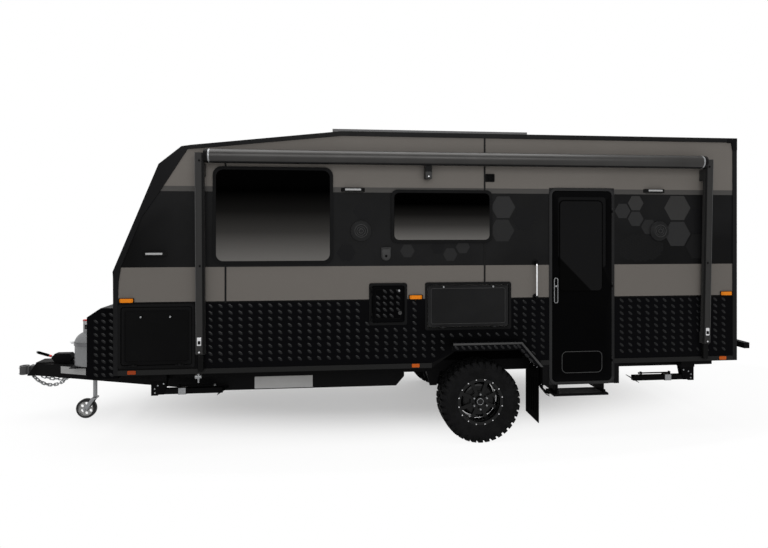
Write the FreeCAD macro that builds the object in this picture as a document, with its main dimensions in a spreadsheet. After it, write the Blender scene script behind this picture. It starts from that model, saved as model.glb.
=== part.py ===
"""Single-axle travel caravan as a parametric document, in millimetres.

Travel is towards -X, the side with the entry door is -Y and +Z is up. The origin lies on the ground
below the middle of the whole vehicle. Places along the vehicle are measured from the wheel axle, with
ahead() towards the coupling and behind() towards the rear bumper.
"""
import FreeCAD, Part
import math
import os
import types

import Sketcher

# Driving dimensions, all in millimetres, degrees or plain counts
SIZES = {
    # Whole vehicle
    "coupling_reach": 4678.0,
    "bumper_behind": 220.0,
    "body_front": 3315.0,
    "body_rear": 2585.0,
    "body_half": 1150.0,
    "wall_thick": 40.0,
    "skirt_low": 725.0,
    "roof_low": 2870.0,
    "roof_thick": 45.0,
    "overrun": 20.0,
    "seat_gap": 0.4,
    "swing_gap": 6.0,
    # Nose and roof outline, as distances ahead of the axle and heights
    "chin_ahead": 3321.0,
    "chin_high": 1640.0,
    "brow_ahead": 2931.0,
    "brow_high": 2595.0,
    "crown_ahead": 2733.0,
    "crown_high": 2757.0,
    "slope_ahead": 2652.0,
    "slope_high": 2769.0,
    "ridge_ahead": 1310.0,
    # Floor and chassis
    "floor_low": 750.0,
    "floor_thick": 35.0,
    "rail_half": 850.0,
    "rail_wide": 50.0,
    "rail_low": 615.0,
    "rail_front": 3250.0,
    "rail_short": 42.0,
    "cross_wide": 50.0,
    # Drawbar
    "draw_low": 486.0,
    "draw_back": 690.0,
    "draw_taper": 80.0,
    "draw_taper_rise": 90.0,
    "draw_bend": 2475.0,
    "draw_front": 4460.0,
    "draw_nose": 4560.0,
    "draw_nose_half": 95.0,
    "draw_nose_slant": 87.0,
    "draw_plate": 8.0,
    "nose_deck_back": 4090.0,
    "draw_cross_ahead": 3500.0,
    "bearer_front": 3590.0,
    "bearer_rear": 3400.0,
    "jockey_bridge_wide": 110.0,
    # Coupling
    "coupling_high": 529.0,
    "coupling_bore": 17.9,
    "coupling_head": 46.0,
    "coupling_tall": 90.0,
    "coupling_shank_wide": 64.0,
    "coupling_shank_tall": 74.0,
    "coupling_flange": 55.0,
    "coupling_flange_thick": 16.0,
    # Safety chains
    "link_wire": 9.0,
    "link_long": 58.0,
    "link_wide": 34.0,
    "link_lap": 1.0,
    "chain_front": 4516.0,
    "chain_drop": 16.0,
    "chain_turn": 80.0,
    "chain_links": 11.0,
    # Handbrake
    "brake_ahead": 4276.0,
    "brake_lever": 240.0,
    "brake_rise": 78.0,
    "brake_bar": 14.0,
    "brake_grip": 20.0,
    "brake_side": 14.0,
    "case_front": 4322.0,
    "case_back": 4107.0,
    "case_outer": 92.0,
    "case_inner": 6.0,
    "case_tall": 86.0,
    "case_slant": 32.0,
    # Gas cylinders
    "gas_ahead": 3866.0,
    "gas_side": 222.0,
    "gas_radius": 155.0,
    "gas_body": 252.0,
    "gas_dome": 82.5,
    "gas_shoulder": 120.0,
    "gas_foot_round": 14.0,
    "gas_collar": 78.0,
    "gas_collar_high": 122.0,
    "gas_collar_thick": 4.0,
    "gas_opening_wide": 84.0,
    "gas_opening_tall": 48.0,
    "gas_valve": 16.0,
    "gas_valve_high": 70.0,
    "gas_cap": 24.0,
    "gas_cap_tall": 22.0,
    "gas_strap_high": 212.0,
    "gas_strap_tall": 28.0,
    "gas_strap_thick": 6.0,
    # Jockey stand
    "jockey_ahead": 3917.0,
    "jockey_sleeve_out": 25.5,
    "jockey_sleeve_in": 21.5,
    "jockey_sleeve_low": 420.0,
    "jockey_sleeve_high": 980.0,
    "jockey_leg_out": 21.0,
    "jockey_leg_low": 222.0,
    "jockey_leg_high": 780.0,
    "jockey_pin": 10.0,
    "jockey_wheel": 102.0,
    "jockey_wheel_wide": 75.0,
    "jockey_hub": 25.0,
    "jockey_web": 12.0,
    "jockey_rim": 76.0,
    "jockey_rim_wide": 60.0,
    "jockey_hole": 16.0,
    "jockey_holes": 6.0,
    "jockey_trail": 88.0,
    "jockey_fork_gap": 5.0,
    "jockey_fork_plate": 6.0,
    "jockey_fork_top": 206.0,
    "jockey_axle": 8.0,
    "jockey_crank": 110.0,
    "jockey_crank_bar": 7.0,
    # Front box
    "box_back": 3345.0,
    "box_corner": 3620.0,
    "box_front": 3640.0,
    "box_half": 950.0,
    "box_front_half": 900.0,
    "box_sheet": 12.0,
    "box_low": 650.0,
    "box_chamfer_low": 1200.0,
    "box_top": 1295.0,
    "box_lid_deep": 38.0,
    "box_chamfer": 140.0,
    "box_lid_gap": 1.0,
    # Wheels
    "axle_high": 384.0,
    "tyre_radius": 384.0,
    "tyre_wide": 255.0,
    "tyre_bead": 208.0,
    "tyre_shoulder": 40.0,
    "tyre_side_bulge": 12.0,
    "tyre_lugs": 36.0,
    "lug_deep": 13.0,
    "lug_long": 33.0,
    "lug_inner": 4.0,
    "lug_edge": 5.0,
    "tread_edge": 28.0,
    "lug_drop": 36.0,
    "crown_half": 62.0,
    "crown_step": 4.0,
    "rim_flange": 219.0,
    "rim_lip": 6.0,
    "rim_barrel": 190.0,
    "rim_sheet": 7.0,
    "rim_wide": 216.0,
    "rim_disc_depth": 62.0,
    "rim_disc_thick": 16.0,
    "rim_hub": 78.0,
    "rim_cap": 52.0,
    "rim_cap_high": 52.0,
    "spokes": 8.0,
    "spoke_window_in": 86.0,
    "spoke_window_out": 182.0,
    "spoke_window_in_half": 20.0,
    "spoke_window_out_half": 55.0,
    "stud_circle": 139.7,
    "stud_radius": 9.0,
    "stud_long": 26.0,
    "stud_count": 6.0,
    "drum_radius": 152.0,
    "drum_deep": 66.0,
    "stub_radius": 24.0,
    "stub_clear": 0.5,
    "stub_long": 60.0,
    # Trailing arms and springs
    "arm_pivot_ahead": 400.0,
    "arm_pivot_high": 545.0,
    "arm_pivot_radius": 34.0,
    "arm_high": 90.0,
    "arm_wide": 60.0,
    "arm_side": 800.0,
    "arm_inner_side": 560.0,
    "hanger_thick": 10.0,
    "spring_ahead": 40.0,
    "spring_side": 690.0,
    "spring_radius": 58.0,
    "spring_wire": 8.0,
    "spring_seat": 70.0,
    "spring_seat_thick": 8.0,
    # Wheel openings
    "arch_front_low": 473.0,
    "arch_front_top": 251.0,
    "arch_rear_top": 370.0,
    "arch_rear_low": 530.0,
    "arch_top": 872.0,
    "wheel_box_side": 790.0,
    "wheel_box_front": 470.0,
    "wheel_box_rear": 520.0,
    "wheel_box_top": 905.0,
    "wheel_box_sheet": 6.0,
    "flare_front": 285.0,
    "flare_top": 962.0,
    "flare_out": 84.0,
    "flare_drop": 30.0,
    "flare_face": 62.0,
    "flare_rear_out": 45.0,
    "flare_sheet": 4.0,
    "flap_behind": 574.0,
    "flap_thick": 8.0,
    "flap_low": 156.0,
    "flap_slant": 10.0,
    "flap_outer": 1102.0,
    "flap_inner": 762.0,
    # Entry
    "door_front": 662.0,
    "door_rear": 1313.0,
    "door_low": 533.0,
    "door_high": 2412.0,
    "door_frame_wide": 28.0,
    "door_frame_proud": 8.0,
    "door_thick": 36.0,
    "door_proud": 12.0,
    "door_corner": 70.0,
    "door_glass_margin": 52.0,
    "door_glass_low": 1650.0,
    "door_glass_corner": 30.0,
    "door_glass_thick": 6.0,
    "door_lock_high": 1435.0,
    "door_lock_tall": 250.0,
    "door_lock_wide": 46.0,
    "door_lock_thick": 14.0,
    "door_panel_side": 95.0,
    "door_panel_low": 649.0,
    "door_panel_high": 844.0,
    "door_panel_corner": 43.0,
    "well_front": 600.0,
    "well_rear": 1364.0,
    "well_low": 530.0,
    "well_sheet": 12.0,
    # Hinges
    "hinge_radius": 6.0,
    "hinge_pin": 2.5,
    "hinge_clear": 0.1,
    "hinge_long": 72.0,
    "hinge_gap": 0.4,
    "hinge_leaf": 5.0,
    # Hatches
    "hatch_frame_wide": 24.0,
    "hatch_frame_proud": 8.0,
    "hatch_proud": 3.0,
    "hatch_thick": 34.0,
    "hatch_corner": 22.0,
    "boot_front": 3277.0,
    "boot_rear": 2617.0,
    "boot_low": 785.0,
    "boot_high": 1352.0,
    "service_front": 1059.0,
    "service_rear": 705.0,
    "service_low": 1130.0,
    "service_high": 1519.0,
    "table_front": 536.0,
    "table_rear": 288.0,
    "table_low": 1075.0,
    "table_high": 1521.0,
    "table_thick": 20.0,
    "table_pocket": 28.0,
    "panel_margin": 26.0,
    "panel_deep": 4.0,
    "latch_radius": 11.0,
    "latch_out": 9.0,
    "boot_latch_drop": 84.0,
    "table_latch_drop": 13.0,
    "service_latch_drop": 170.0,
    # Windows
    "wide_window_gap": 219.0,
    "wide_window_long": 1072.0,
    "wide_window_below": 290.0,
    "wide_window_tall": 880.0,
    "wide_window_corner": 78.0,
    "slim_window_front": 855.0,
    "slim_window_rear": 105.0,
    "slim_window_below": 487.0,
    "slim_window_tall": 495.0,
    "slim_window_corner": 60.0,
    "window_frame_wide": 30.0,
    "window_frame_proud": 14.0,
    "window_lap": 16.0,
    "pane_thick": 20.0,
    "pane_proud": 19.0,
    # Mouldings and trims
    "mould_proud": 7.0,
    "mould_corner_wide": 45.0,
    "mould_low_ahead": 3250.0,
    "mould_low_high": 1685.0,
    "mould_mid_ahead": 3073.0,
    "mould_mid_high": 2124.0,
    "mould_up_ahead": 2919.0,
    "mould_up_high": 2352.0,
    "mould_top_ahead": 2680.0,
    "mould_top_high": 2730.0,
    "skirt_trim_high": 45.0,
    "skirt_trim_proud": 8.0,
    "roof_trim_high": 42.0,
    "roof_trim_proud": 9.0,
    "joint_trim_wide": 16.0,
    "joint_trim_proud": 3.0,
    "joint_front": 2351.0,
    "joint_middle": 33.0,
    "checker_high": 1355.0,
    "checker_sheet": 3.0,
    "checker_front": 2601.0,
    # Roof fittings
    "solar_front": 1390.0,
    "solar_rear": 560.0,
    "solar_half": 840.0,
    "solar_foot": 36.0,
    "solar_thick": 40.0,
    "solar_frame": 35.0,
    "conditioner_behind": 1250.0,
    "conditioner_long": 880.0,
    "conditioner_wide": 640.0,
    "conditioner_high": 140.0,
    "conditioner_taper": 110.0,
    "conditioner_slot": 12.0,
    "conditioner_slot_pitch": 30.0,
    "conditioner_slot_low": 30.0,
    "conditioner_slot_tall": 70.0,
    "hatch_behind": 2150.0,
    "hatch_long": 420.0,
    "hatch_high": 75.0,
    # Awning
    "awning_high": 2662.0,
    "awning_out": 88.0,
    "awning_radius": 57.0,
    "awning_cap": 64.0,
    "awning_cap_long": 26.0,
    "awning_arm_front": 2561.0,
    "awning_arm_short": 353.0,
    "awning_arm_wide": 80.0,
    "awning_arm_thick": 34.0,
    "awning_arm_low": 905.0,
    "awning_arm_foot": 12.0,
    "awning_arm_head": 60.0,
    "awning_foot_high": 110.0,
    "awning_cradle_ahead": 517.0,
    "awning_cradle_wide": 60.0,
    "awning_cradle_low": 2480.0,
    # Lamps and fittings
    "bright_lamp_wide": 220.0,
    "bright_lamp_high": 34.0,
    "bright_lamp_out": 30.0,
    "front_lamp_ahead": 1207.0,
    "front_lamp_high": 2377.0,
    "rear_lamp_behind": 1720.0,
    "rear_lamp_high": 2389.0,
    "nose_lamp_ahead": 2963.0,
    "nose_lamp_high": 1796.0,
    "side_marker_wide": 125.0,
    "side_marker_high": 34.0,
    "side_marker_out": 20.0,
    "upper_marker_high": 1386.0,
    "marker_front": 3205.0,
    "marker_middle": 623.0,
    "marker_short": 110.0,
    "tail_side": 960.0,
    "tail_wide": 130.0,
    "tail_high": 330.0,
    "tail_low": 1060.0,
    "tail_out": 32.0,
    "speaker_radius": 85.0,
    "speaker_out": 30.0,
    "speaker_front": 1133.0,
    "speaker_rear": 1772.0,
    "speaker_high": 2000.0,
    "inlet_ahead": 902.0,
    "inlet_high": 1787.0,
    "inlet_wide": 85.0,
    "inlet_tall": 120.0,
    "inlet_out": 26.0,
    "inlet_bend": 48.0,
    "vent_behind": 84.0,
    "vent_high": 2500.0,
    "vent_wide": 85.0,
    "vent_tall": 75.0,
    "vent_out": 12.0,
    "grab_behind": 573.0,
    "grab_low": 1360.0,
    "grab_high": 1740.0,
    "grab_out": 48.0,
    "grab_bar": 11.0,
    "grab_foot": 20.0,
    "fridge_vent_behind": 1150.0,
    "fridge_vent_wide": 480.0,
    "fridge_vent_tall": 230.0,
    "fridge_vent_low": 1010.0,
    "fridge_vent_up": 1720.0,
    "fridge_vent_out": 14.0,
    "louvre_rim": 22.0,
    "louvre_pitch": 26.0,
    "louvre_slot": 15.0,
    "louvre_deep": 9.0,
    # Steadies
    "steady_front": 2970.0,
    "steady_short": 390.0,
    "steady_side": 900.0,
    "steady_high": 510.0,
    "steady_long": 552.0,
    "steady_wide": 50.0,
    "steady_deep": 50.0,
    "steady_pin": 9.0,
    "steady_cheek": 6.0,
    "steady_eye": 25.0,
    "steady_pad_long": 110.0,
    "steady_pad_wide": 90.0,
    "steady_pad_thick": 6.0,
    "steady_pad_tilt": 33.0,
    "steady_clear": 1.0,
    "steady_foot_long": 60.0,
    "steady_foot_thick": 8.0,
    "steady_screw": 6.5,
    "steady_screw_high": 20.0,
    "steady_screw_near": 150.0,
    "steady_screw_far": 455.0,
    "steady_sleeve": 4.0,
    "steady_sleeve_long": 72.0,
    # Step
    "step_front": 712.0,
    "step_rear": 1257.0,
    "step_low": 420.0,
    "step_deep": 205.0,
    "step_thick": 26.0,
    "step_bar": 20.0,
    "step_bar_inset": 40.0,
    "step_bar_long": 290.0,
    "step_guide": 5.0,
    "step_clear": 0.4,
    "step_strap_thick": 8.0,
    "step_strap_wide": 22.0,
    "step_strap_reach": 70.0,
    # Bumper
    "bumper_half": 1050.0,
    "bumper_low": 815.0,
    "bumper_deep": 58.0,
    "bumper_tall": 58.0,
    "bumper_arm_wide": 40.0,
    "bumper_arm_low": 655.0,
    "bumper_arm_tall": 62.0,
    "bumper_air": 6.0,
    # Tanks
    "tank_front": 2300.0,
    "tank_rear": 1560.0,
    "tank_wide": 620.0,
    "tank_low": 495.0,
}
# Shares of a whole that a shape follows
INNER_NOSE_SHARE = 1.08
GRIP_RADIUS_SHARE = 1.6
GRIP_LONG_SHARE = 0.8
JOCKEY_TREAD_SHARE = 0.5
JOCKEY_SHOULDER_SHARE = 0.9
RIM_HUB_SHARE = 1.5
CAP_END_SHARE = 0.8
DRUM_EDGE_SHARE = 0.9
SPEAKER_FRONT_SHARE = 0.7
HINGE_PLACES_SHARES = (0.2, 0.8)
DOOR_HINGE_PLACES_SHARES = (0.12, 0.5, 0.88)
BOOT_LATCH_SHARES = (0.277, 0.697)
TABLE_LATCH_SHARES = (0.19, 0.81)
SERVICE_LATCH_SHARES = (0.9,)
CROSS_PLACES_SHARES = (0.0, 0.17, 0.34, 0.47, 0.66, 0.83, 1.0)

doc = FreeCAD.newDocument("travel_caravan")
sheet = doc.addObject("Spreadsheet::Sheet", "Sizes")


class Size:
    """A length, angle or count: its value now, and the sheet formula that keeps it up to date."""

    def __init__(self, value, formula):
        self.value = float(value)
        self.formula = formula

    def __add__(self, other):
        other = as_size(other)
        return Size(self.value + other.value, f"({self.formula} + {other.formula})")

    def __sub__(self, other):
        other = as_size(other)
        return Size(self.value - other.value, f"({self.formula} - {other.formula})")

    def __mul__(self, other):
        other = as_size(other)
        return Size(self.value * other.value, f"({self.formula} * {other.formula})")

    def __truediv__(self, other):
        other = as_size(other)
        return Size(self.value / other.value, f"({self.formula} / {other.formula})")

    def __neg__(self):
        return Size(-self.value, f"(0 - {self.formula})")

    __radd__ = __add__
    __rmul__ = __mul__

    def __rsub__(self, other):
        return as_size(other) - self

    def __float__(self):
        return self.value


def as_size(number):
    return number if isinstance(number, Size) else Size(number, repr(float(number)))


def fill_sheet():
    """Writes each driving dimension into its own cell, and gives them back by name."""
    sizes = types.SimpleNamespace()
    for row, (name, value) in enumerate(SIZES.items(), start=1):
        sheet.set(f"A{row}", name)
        sheet.set(f"B{row}", str(value))
        sheet.setAlias(f"B{row}", name)
        setattr(sizes, name, Size(value, f"Sizes.{name}"))
    doc.recompute()
    return sizes


s = fill_sheet()
ORIGIN = as_size(0)
bumper_reach = s.body_rear + s.bumper_behind
axle_x = (s.coupling_reach - bumper_reach) / 2
rail_back = s.body_rear - s.rail_short
roof_high = s.roof_low + s.roof_thick
floor_high = s.floor_low + s.floor_thick
box_seam = s.box_top - s.box_lid_deep
gas_foot = s.rail_low + s.draw_plate
wall_inner = s.body_half - s.wall_thick
wheel_side = s.body_half - s.tyre_wide / 2


def ahead(distance):
    """The x place this far ahead of the axle."""
    return axle_x - distance


def behind(distance):
    """The x place this far behind the axle."""
    return axle_x + distance


def centred(middle, width):
    """The two ends of a width about its middle."""
    return middle - width / 2, middle + width / 2


def ordered(first, second):
    """Two places with the lower one first."""
    return (first, second) if float(first) <= float(second) else (second, first)


# Basic pieces, each bound to the sheet


def bind(obj, prop, size):
    obj.setExpression(prop, as_size(size).formula)


def place(obj, x, y, z):
    bind(obj, "Placement.Base.x", x)
    bind(obj, "Placement.Base.y", y)
    bind(obj, "Placement.Base.z", z)
    return obj


def block(name, x, y, z):
    """A box between two places along each axis."""
    obj = doc.addObject("Part::Box", name)
    for prop, (low, high) in (("Length", x), ("Width", y), ("Height", z)):
        bind(obj, prop, high - low)
    return place(obj, x[0], y[0], z[0])


AXIS_TURNS = {
    "x": FreeCAD.Rotation(FreeCAD.Vector(0, 1, 0), 90),
    "y": FreeCAD.Rotation(FreeCAD.Vector(1, 0, 0), -90),
    "z": FreeCAD.Rotation(),
}


def rod(name, axis, start, radius, length):
    """A round bar that runs from its start place along +axis."""
    obj = doc.addObject("Part::Cylinder", name)
    obj.Placement = FreeCAD.Placement(FreeCAD.Vector(), AXIS_TURNS[axis])
    bind(obj, "Radius", radius)
    bind(obj, "Height", length)
    return place(obj, *start)


def cone(name, axis, start, radius, end_radius, length):
    obj = doc.addObject("Part::Cone", name)
    obj.Placement = FreeCAD.Placement(FreeCAD.Vector(), AXIS_TURNS[axis])
    bind(obj, "Radius1", radius)
    bind(obj, "Radius2", end_radius)
    bind(obj, "Height", length)
    return place(obj, *start)


def fuse(name, pieces):
    obj = doc.addObject("Part::MultiFuse", name)
    obj.Shapes = pieces
    obj.Refine = True
    return obj


def group(name, pieces):
    """Like pieces that don't touch, kept as one sub-part."""
    obj = doc.addObject("Part::Compound", name)
    obj.Links = pieces
    return obj


def cut(name, base, tools):
    obj = doc.addObject("Part::Cut", name)
    obj.Base = base
    obj.Tool = tools[0] if len(tools) == 1 else group(name + "_tools", tools)
    obj.Refine = True
    return obj


def common(name, first, second):
    obj = doc.addObject("Part::Common", name)
    obj.Base = first
    obj.Tool = second
    obj.Refine = True
    return obj


def tube(name, axis, start, radius, bore, length):
    outer = rod(name + "_out", axis, start, radius, length)
    inner = rod(name + "_bore", axis, start, bore, length)
    return cut(name, outer, [inner])


# Sketched pieces

PLANES = {"side": "XZ_Plane", "top": "XY_Plane", "front": "YZ_Plane"}


def origin_feature(body, role):
    return next(item for item in body.Origin.OriginFeatures if item.Role == role)


def arc_between(start, end, radius, left):
    """The short arc from start to end; left says that it turns left on its way."""
    chord = end - start
    side = FreeCAD.Vector(-chord.y, chord.x, 0).normalize() * (1 if left else -1)
    centre = (start + end) / 2 + side * math.sqrt(max(radius ** 2 - chord.Length ** 2 / 4, 0))
    first, last = (start, end) if left else (end, start)
    angles = [math.atan2(point.y - centre.y, point.x - centre.x) for point in (first, last)]
    if angles[1] < angles[0]:
        angles[1] += 2 * math.pi
    return Part.ArcOfCircle(Part.Circle(centre, FreeCAD.Vector(0, 0, 1), radius), *angles)


def draw_outline(sketch, corners):
    """Draws one closed outline and pins each corner to the sheet.

    A corner is (across, up), or (across, up, radius): a radius bends the side after it into an arc,
    which turns left when it is positive and right when it is negative.
    """
    points = [FreeCAD.Vector(float(c[0]), float(c[1]), 0) for c in corners]
    first = sketch.GeometryCount
    begins, ends, shapes, rules, formulas = [], [], [], [], []
    for i, corner in enumerate(corners):
        start, end = points[i], points[(i + 1) % len(points)]
        bend = as_size(corner[2]) if len(corner) > 2 else None
        if bend is None:
            shapes.append(Part.LineSegment(start, end))
            begins.append((first + i, 1))
            ends.append((first + i, 2))
            continue
        left = float(bend) > 0
        shapes.append(arc_between(start, end, abs(float(bend)), left))
        begins.append((first + i, 1 if left else 2))
        ends.append((first + i, 2 if left else 1))
        rules.append(Sketcher.Constraint("Radius", first + i, abs(float(bend))))
        formulas.append(bend if left else -bend)
    sketch.addGeometry(shapes, False)
    for i, corner in enumerate(corners):
        for kind, size in (("DistanceX", corner[0]), ("DistanceY", corner[1])):
            rules.append(Sketcher.Constraint(kind, -1, 1, *begins[i], float(size)))
            formulas.append(size)
    before = sketch.ConstraintCount
    joins = [Sketcher.Constraint("Coincident", *ends[i], *begins[(i + 1) % len(points)])
             for i in range(len(points))]
    sketch.addConstraint(joins + rules)
    for i, size in enumerate(formulas):
        bind(sketch, f"Constraints[{before + len(joins) + i}]", size)


def draw_circle(sketch, across, up, radius):
    centre = FreeCAD.Vector(float(across), float(up), 0)
    number = sketch.addGeometry(Part.Circle(centre, FreeCAD.Vector(0, 0, 1), float(radius)), False)
    before = sketch.ConstraintCount
    sketch.addConstraint([Sketcher.Constraint("DistanceX", -1, 1, number, 3, float(across)),
                          Sketcher.Constraint("DistanceY", -1, 1, number, 3, float(up)),
                          Sketcher.Constraint("Radius", number, float(radius))])
    for i, size in enumerate((across, up, radius)):
        bind(sketch, f"Constraints[{before + i}]", size)


def sketch_on(body, plane, level, outlines):
    """A sketch on one of the body's planes, moved along its normal to a level."""
    sketch = body.newObject("Sketcher::SketchObject", body.Name + "_sketch")
    sketch.AttachmentSupport = (origin_feature(body, PLANES[plane]), [""])
    sketch.MapMode = "FlatFace"
    bind(sketch, "AttachmentOffset.Base.z", -as_size(level) if plane == "side" else level)
    for outline in outlines:
        if outline[0] == "circle":
            draw_circle(sketch, *outline[1:])
        else:
            draw_outline(sketch, outline)
    return sketch


def pad(name, plane, outlines, span):
    """A piece with one outline all through; further outlines inside the first are its holes."""
    low, high = span
    body = doc.addObject("PartDesign::Body", name)
    sketch = sketch_on(body, plane, high if plane == "side" else low, outlines)
    feature = body.newObject("PartDesign::Pad", name + "_pad")
    feature.Profile = sketch
    bind(feature, "Length", high - low)
    return body


def spin(name, outline, centre, upright=False):
    """A body turned about an axis through its centre, drawn as (along the axis, radius).

    The axis lies along Y. With upright it points up, and the outline is (radius, height).
    """
    body = doc.addObject("PartDesign::Body", name)
    sketch = sketch_on(body, "side" if upright else "front", ORIGIN, [outline])
    feature = body.newObject("PartDesign::Revolution", name + "_turn")
    feature.Profile = sketch
    feature.ReferenceAxis = (sketch, ["V_Axis" if upright else "H_Axis"])
    feature.Angle = 360
    return place(body, *centre)


def around(body, feature, axis, count):
    """Repeats a body's last feature in equal steps about one of the body's own axes."""
    ring = body.newObject("PartDesign::PolarPattern", body.Name + "_ring")
    ring.Originals = [feature]
    ring.Axis = (origin_feature(body, axis), [""])
    ring.Angle = 360
    bind(ring, "Occurrences", count)
    body.Tip = ring


def pocket_around(body, outline, count):
    """Cuts one outline right through a wheel's disc, again and again about its axle."""
    pocket = body.newObject("PartDesign::Pocket", body.Name + "_window")
    pocket.Profile = sketch_on(body, "side", ORIGIN, [outline])
    pocket.Type = "ThroughAll"
    pocket.Midplane = True
    around(body, pocket, "Y_Axis", count)


def rectangle(across, up):
    (left, right), (low, high) = across, up
    return [(left, low), (right, low), (right, high), (left, high)]


def rounded(across, up, radius):
    (left, right), (low, high) = across, up
    return [(left + radius, low), (right - radius, low, radius), (right, low + radius),
            (right, high - radius, radius), (right - radius, high), (left + radius, high, radius),
            (left, high - radius), (left, low + radius, radius)]


def inset(span, amount):
    return span[0] + amount, span[1] - amount


def side_span(side, inner, outer):
    """The y span of a piece that reaches from inner to outer on the left (-1) or right (1)."""
    return ordered(side * as_size(inner), side * as_size(outer))


# Chassis


def make_chassis():
    long = (ahead(s.rail_front), behind(rail_back))
    high = (s.rail_low, s.floor_low)
    rails = [block(f"chassis_rail_{word}", long, side_span(side, s.rail_half - s.rail_wide, s.rail_half),
                   high) for side, word in SIDES]
    crosses = []
    inner = s.rail_half - s.rail_wide
    whole = s.rail_front + rail_back - s.cross_wide
    for number, share in enumerate(CROSS_PLACES_SHARES):
        low = ahead(s.rail_front) + whole * share
        crosses.append(block(f"cross_{number}", (low, low + s.cross_wide), (-inner, inner), high))
    return group("chassis_rails", rails), crosses


SIDES = ((-1, "left"), (1, "right"))


def draw_side_slope():
    """How far a drawbar rail comes in for each length that it goes ahead of its bend."""
    run = s.draw_front - s.draw_bend
    return (s.rail_half - s.draw_nose_half) / run


def draw_half_at(distance_ahead):
    """The drawbar's outer half width at a place ahead of the axle."""
    return s.rail_half - (distance_ahead - s.draw_bend) * draw_side_slope()


def make_drawbar():
    """Two bent rails seen from above, with their rear ends tapered underneath."""
    rails = []
    for side, word in SIDES:
        outer = side * s.rail_half
        inner = side * (s.rail_half - s.rail_wide)
        nose_outer = side * s.draw_nose_half
        nose_inner = side * (s.draw_nose_half - s.rail_wide)
        plan = [(ahead(s.draw_back), outer), (ahead(s.draw_bend), outer), (ahead(s.draw_front), nose_outer),
                (ahead(s.draw_front), nose_inner), (ahead(s.draw_bend), inner), (ahead(s.draw_back), inner)]
        rail = pad(f"draw_plan_{word}", "top", [plan], (s.draw_low, s.rail_low))
        wedge = pad(f"draw_wedge_{word}", "side",
                    [[(ahead(s.draw_back + s.draw_taper), s.draw_low - s.overrun),
                      (ahead(s.draw_back - s.overrun), s.draw_low - s.overrun),
                      (ahead(s.draw_back - s.overrun), s.draw_low + s.draw_taper_rise + s.overrun),
                      (ahead(s.draw_back), s.draw_low + s.draw_taper_rise),
                      (ahead(s.draw_back + s.draw_taper), s.draw_low)]],
                    (ordered(outer, inner)[0] - s.overrun, ordered(outer, inner)[1] + s.overrun))
        rails.append(cut(f"draw_rail_{word}", rail, [wedge]))
    return group("drawbar_rails", rails)


def make_drawbar_head():
    """The nose box between the two rails, the bridge for the jockey stand, the gas tray and bearers."""
    half = s.draw_nose_half
    nose = pad("nose_box", "side",
               [[(ahead(s.draw_front), s.draw_low), (ahead(s.draw_front), s.rail_low),
                 (ahead(s.draw_nose - s.draw_nose_slant), s.rail_low), (ahead(s.draw_nose), s.draw_low)]],
               (-half, half))
    bridge_x = centred(ahead(s.jockey_ahead), s.jockey_bridge_wide)
    bridge_half = draw_half_at(s.jockey_ahead) - s.rail_wide - s.jockey_bridge_wide * draw_side_slope() / 2
    bridge = cut("jockey_bridge",
                 block("jockey_bridge_bar", bridge_x, (-bridge_half, bridge_half),
                       (s.rail_low - s.rail_wide, s.rail_low)),
                 [rod("jockey_bridge_bore", "z", (ahead(s.jockey_ahead), ORIGIN, s.draw_low),
                      s.jockey_sleeve_out, s.rail_low)])
    tray_half = s.gas_side + s.gas_radius
    tray_x = centred(ahead(s.gas_ahead), 2 * s.gas_radius)
    tray = cut("gas_tray",
               block("gas_tray_plate", tray_x, (-tray_half, tray_half), (s.rail_low, gas_foot)),
               [rod("gas_tray_bore", "z", (ahead(s.jockey_ahead), ORIGIN, s.rail_low),
                    s.jockey_sleeve_out, gas_foot - s.rail_low)])
    cross_x = centred(ahead(s.draw_cross_ahead), s.cross_wide)
    cross_half = draw_half_at(s.draw_cross_ahead) - s.rail_wide - s.cross_wide * draw_side_slope() / 2
    cross = block("draw_cross", cross_x, (-cross_half, cross_half), (s.rail_low - s.rail_wide, s.rail_low))
    deck = block("nose_deck", (ahead(s.draw_nose - s.draw_nose_slant), ahead(s.nose_deck_back)),
                 (-half, half), (s.rail_low, gas_foot))
    return group("drawbar_head", [fuse("nose_joined", [nose, deck, make_brake_case()]),
                                  fuse("gas_deck", [bridge, tray]), cross] + make_bearers())


def make_brake_case():
    """A six-sided housing on the nose deck, beside the handbrake's lever."""
    base, slant = gas_foot, s.case_slant
    front, back = ahead(s.case_front), ahead(s.case_back)
    return pad("brake_case", "side",
               [[(front + slant, base), (back - slant, base), (back, base + s.case_tall / 2),
                 (back - slant, base + s.case_tall), (front + slant, base + s.case_tall),
                 (front, base + s.case_tall / 2)]], (-s.case_outer, -s.case_inner))


def make_bearers():
    """Two bars across the drawbar that carry the front box."""
    bearers = []
    for number, place_ahead in enumerate((s.bearer_front, s.bearer_rear)):
        half = draw_half_at(place_ahead + s.cross_wide / 2)
        bearers.append(block(f"box_bearer_{number}", centred(ahead(place_ahead), s.cross_wide),
                             (-half, half), (s.rail_low, s.box_low)))
    return bearers


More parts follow.
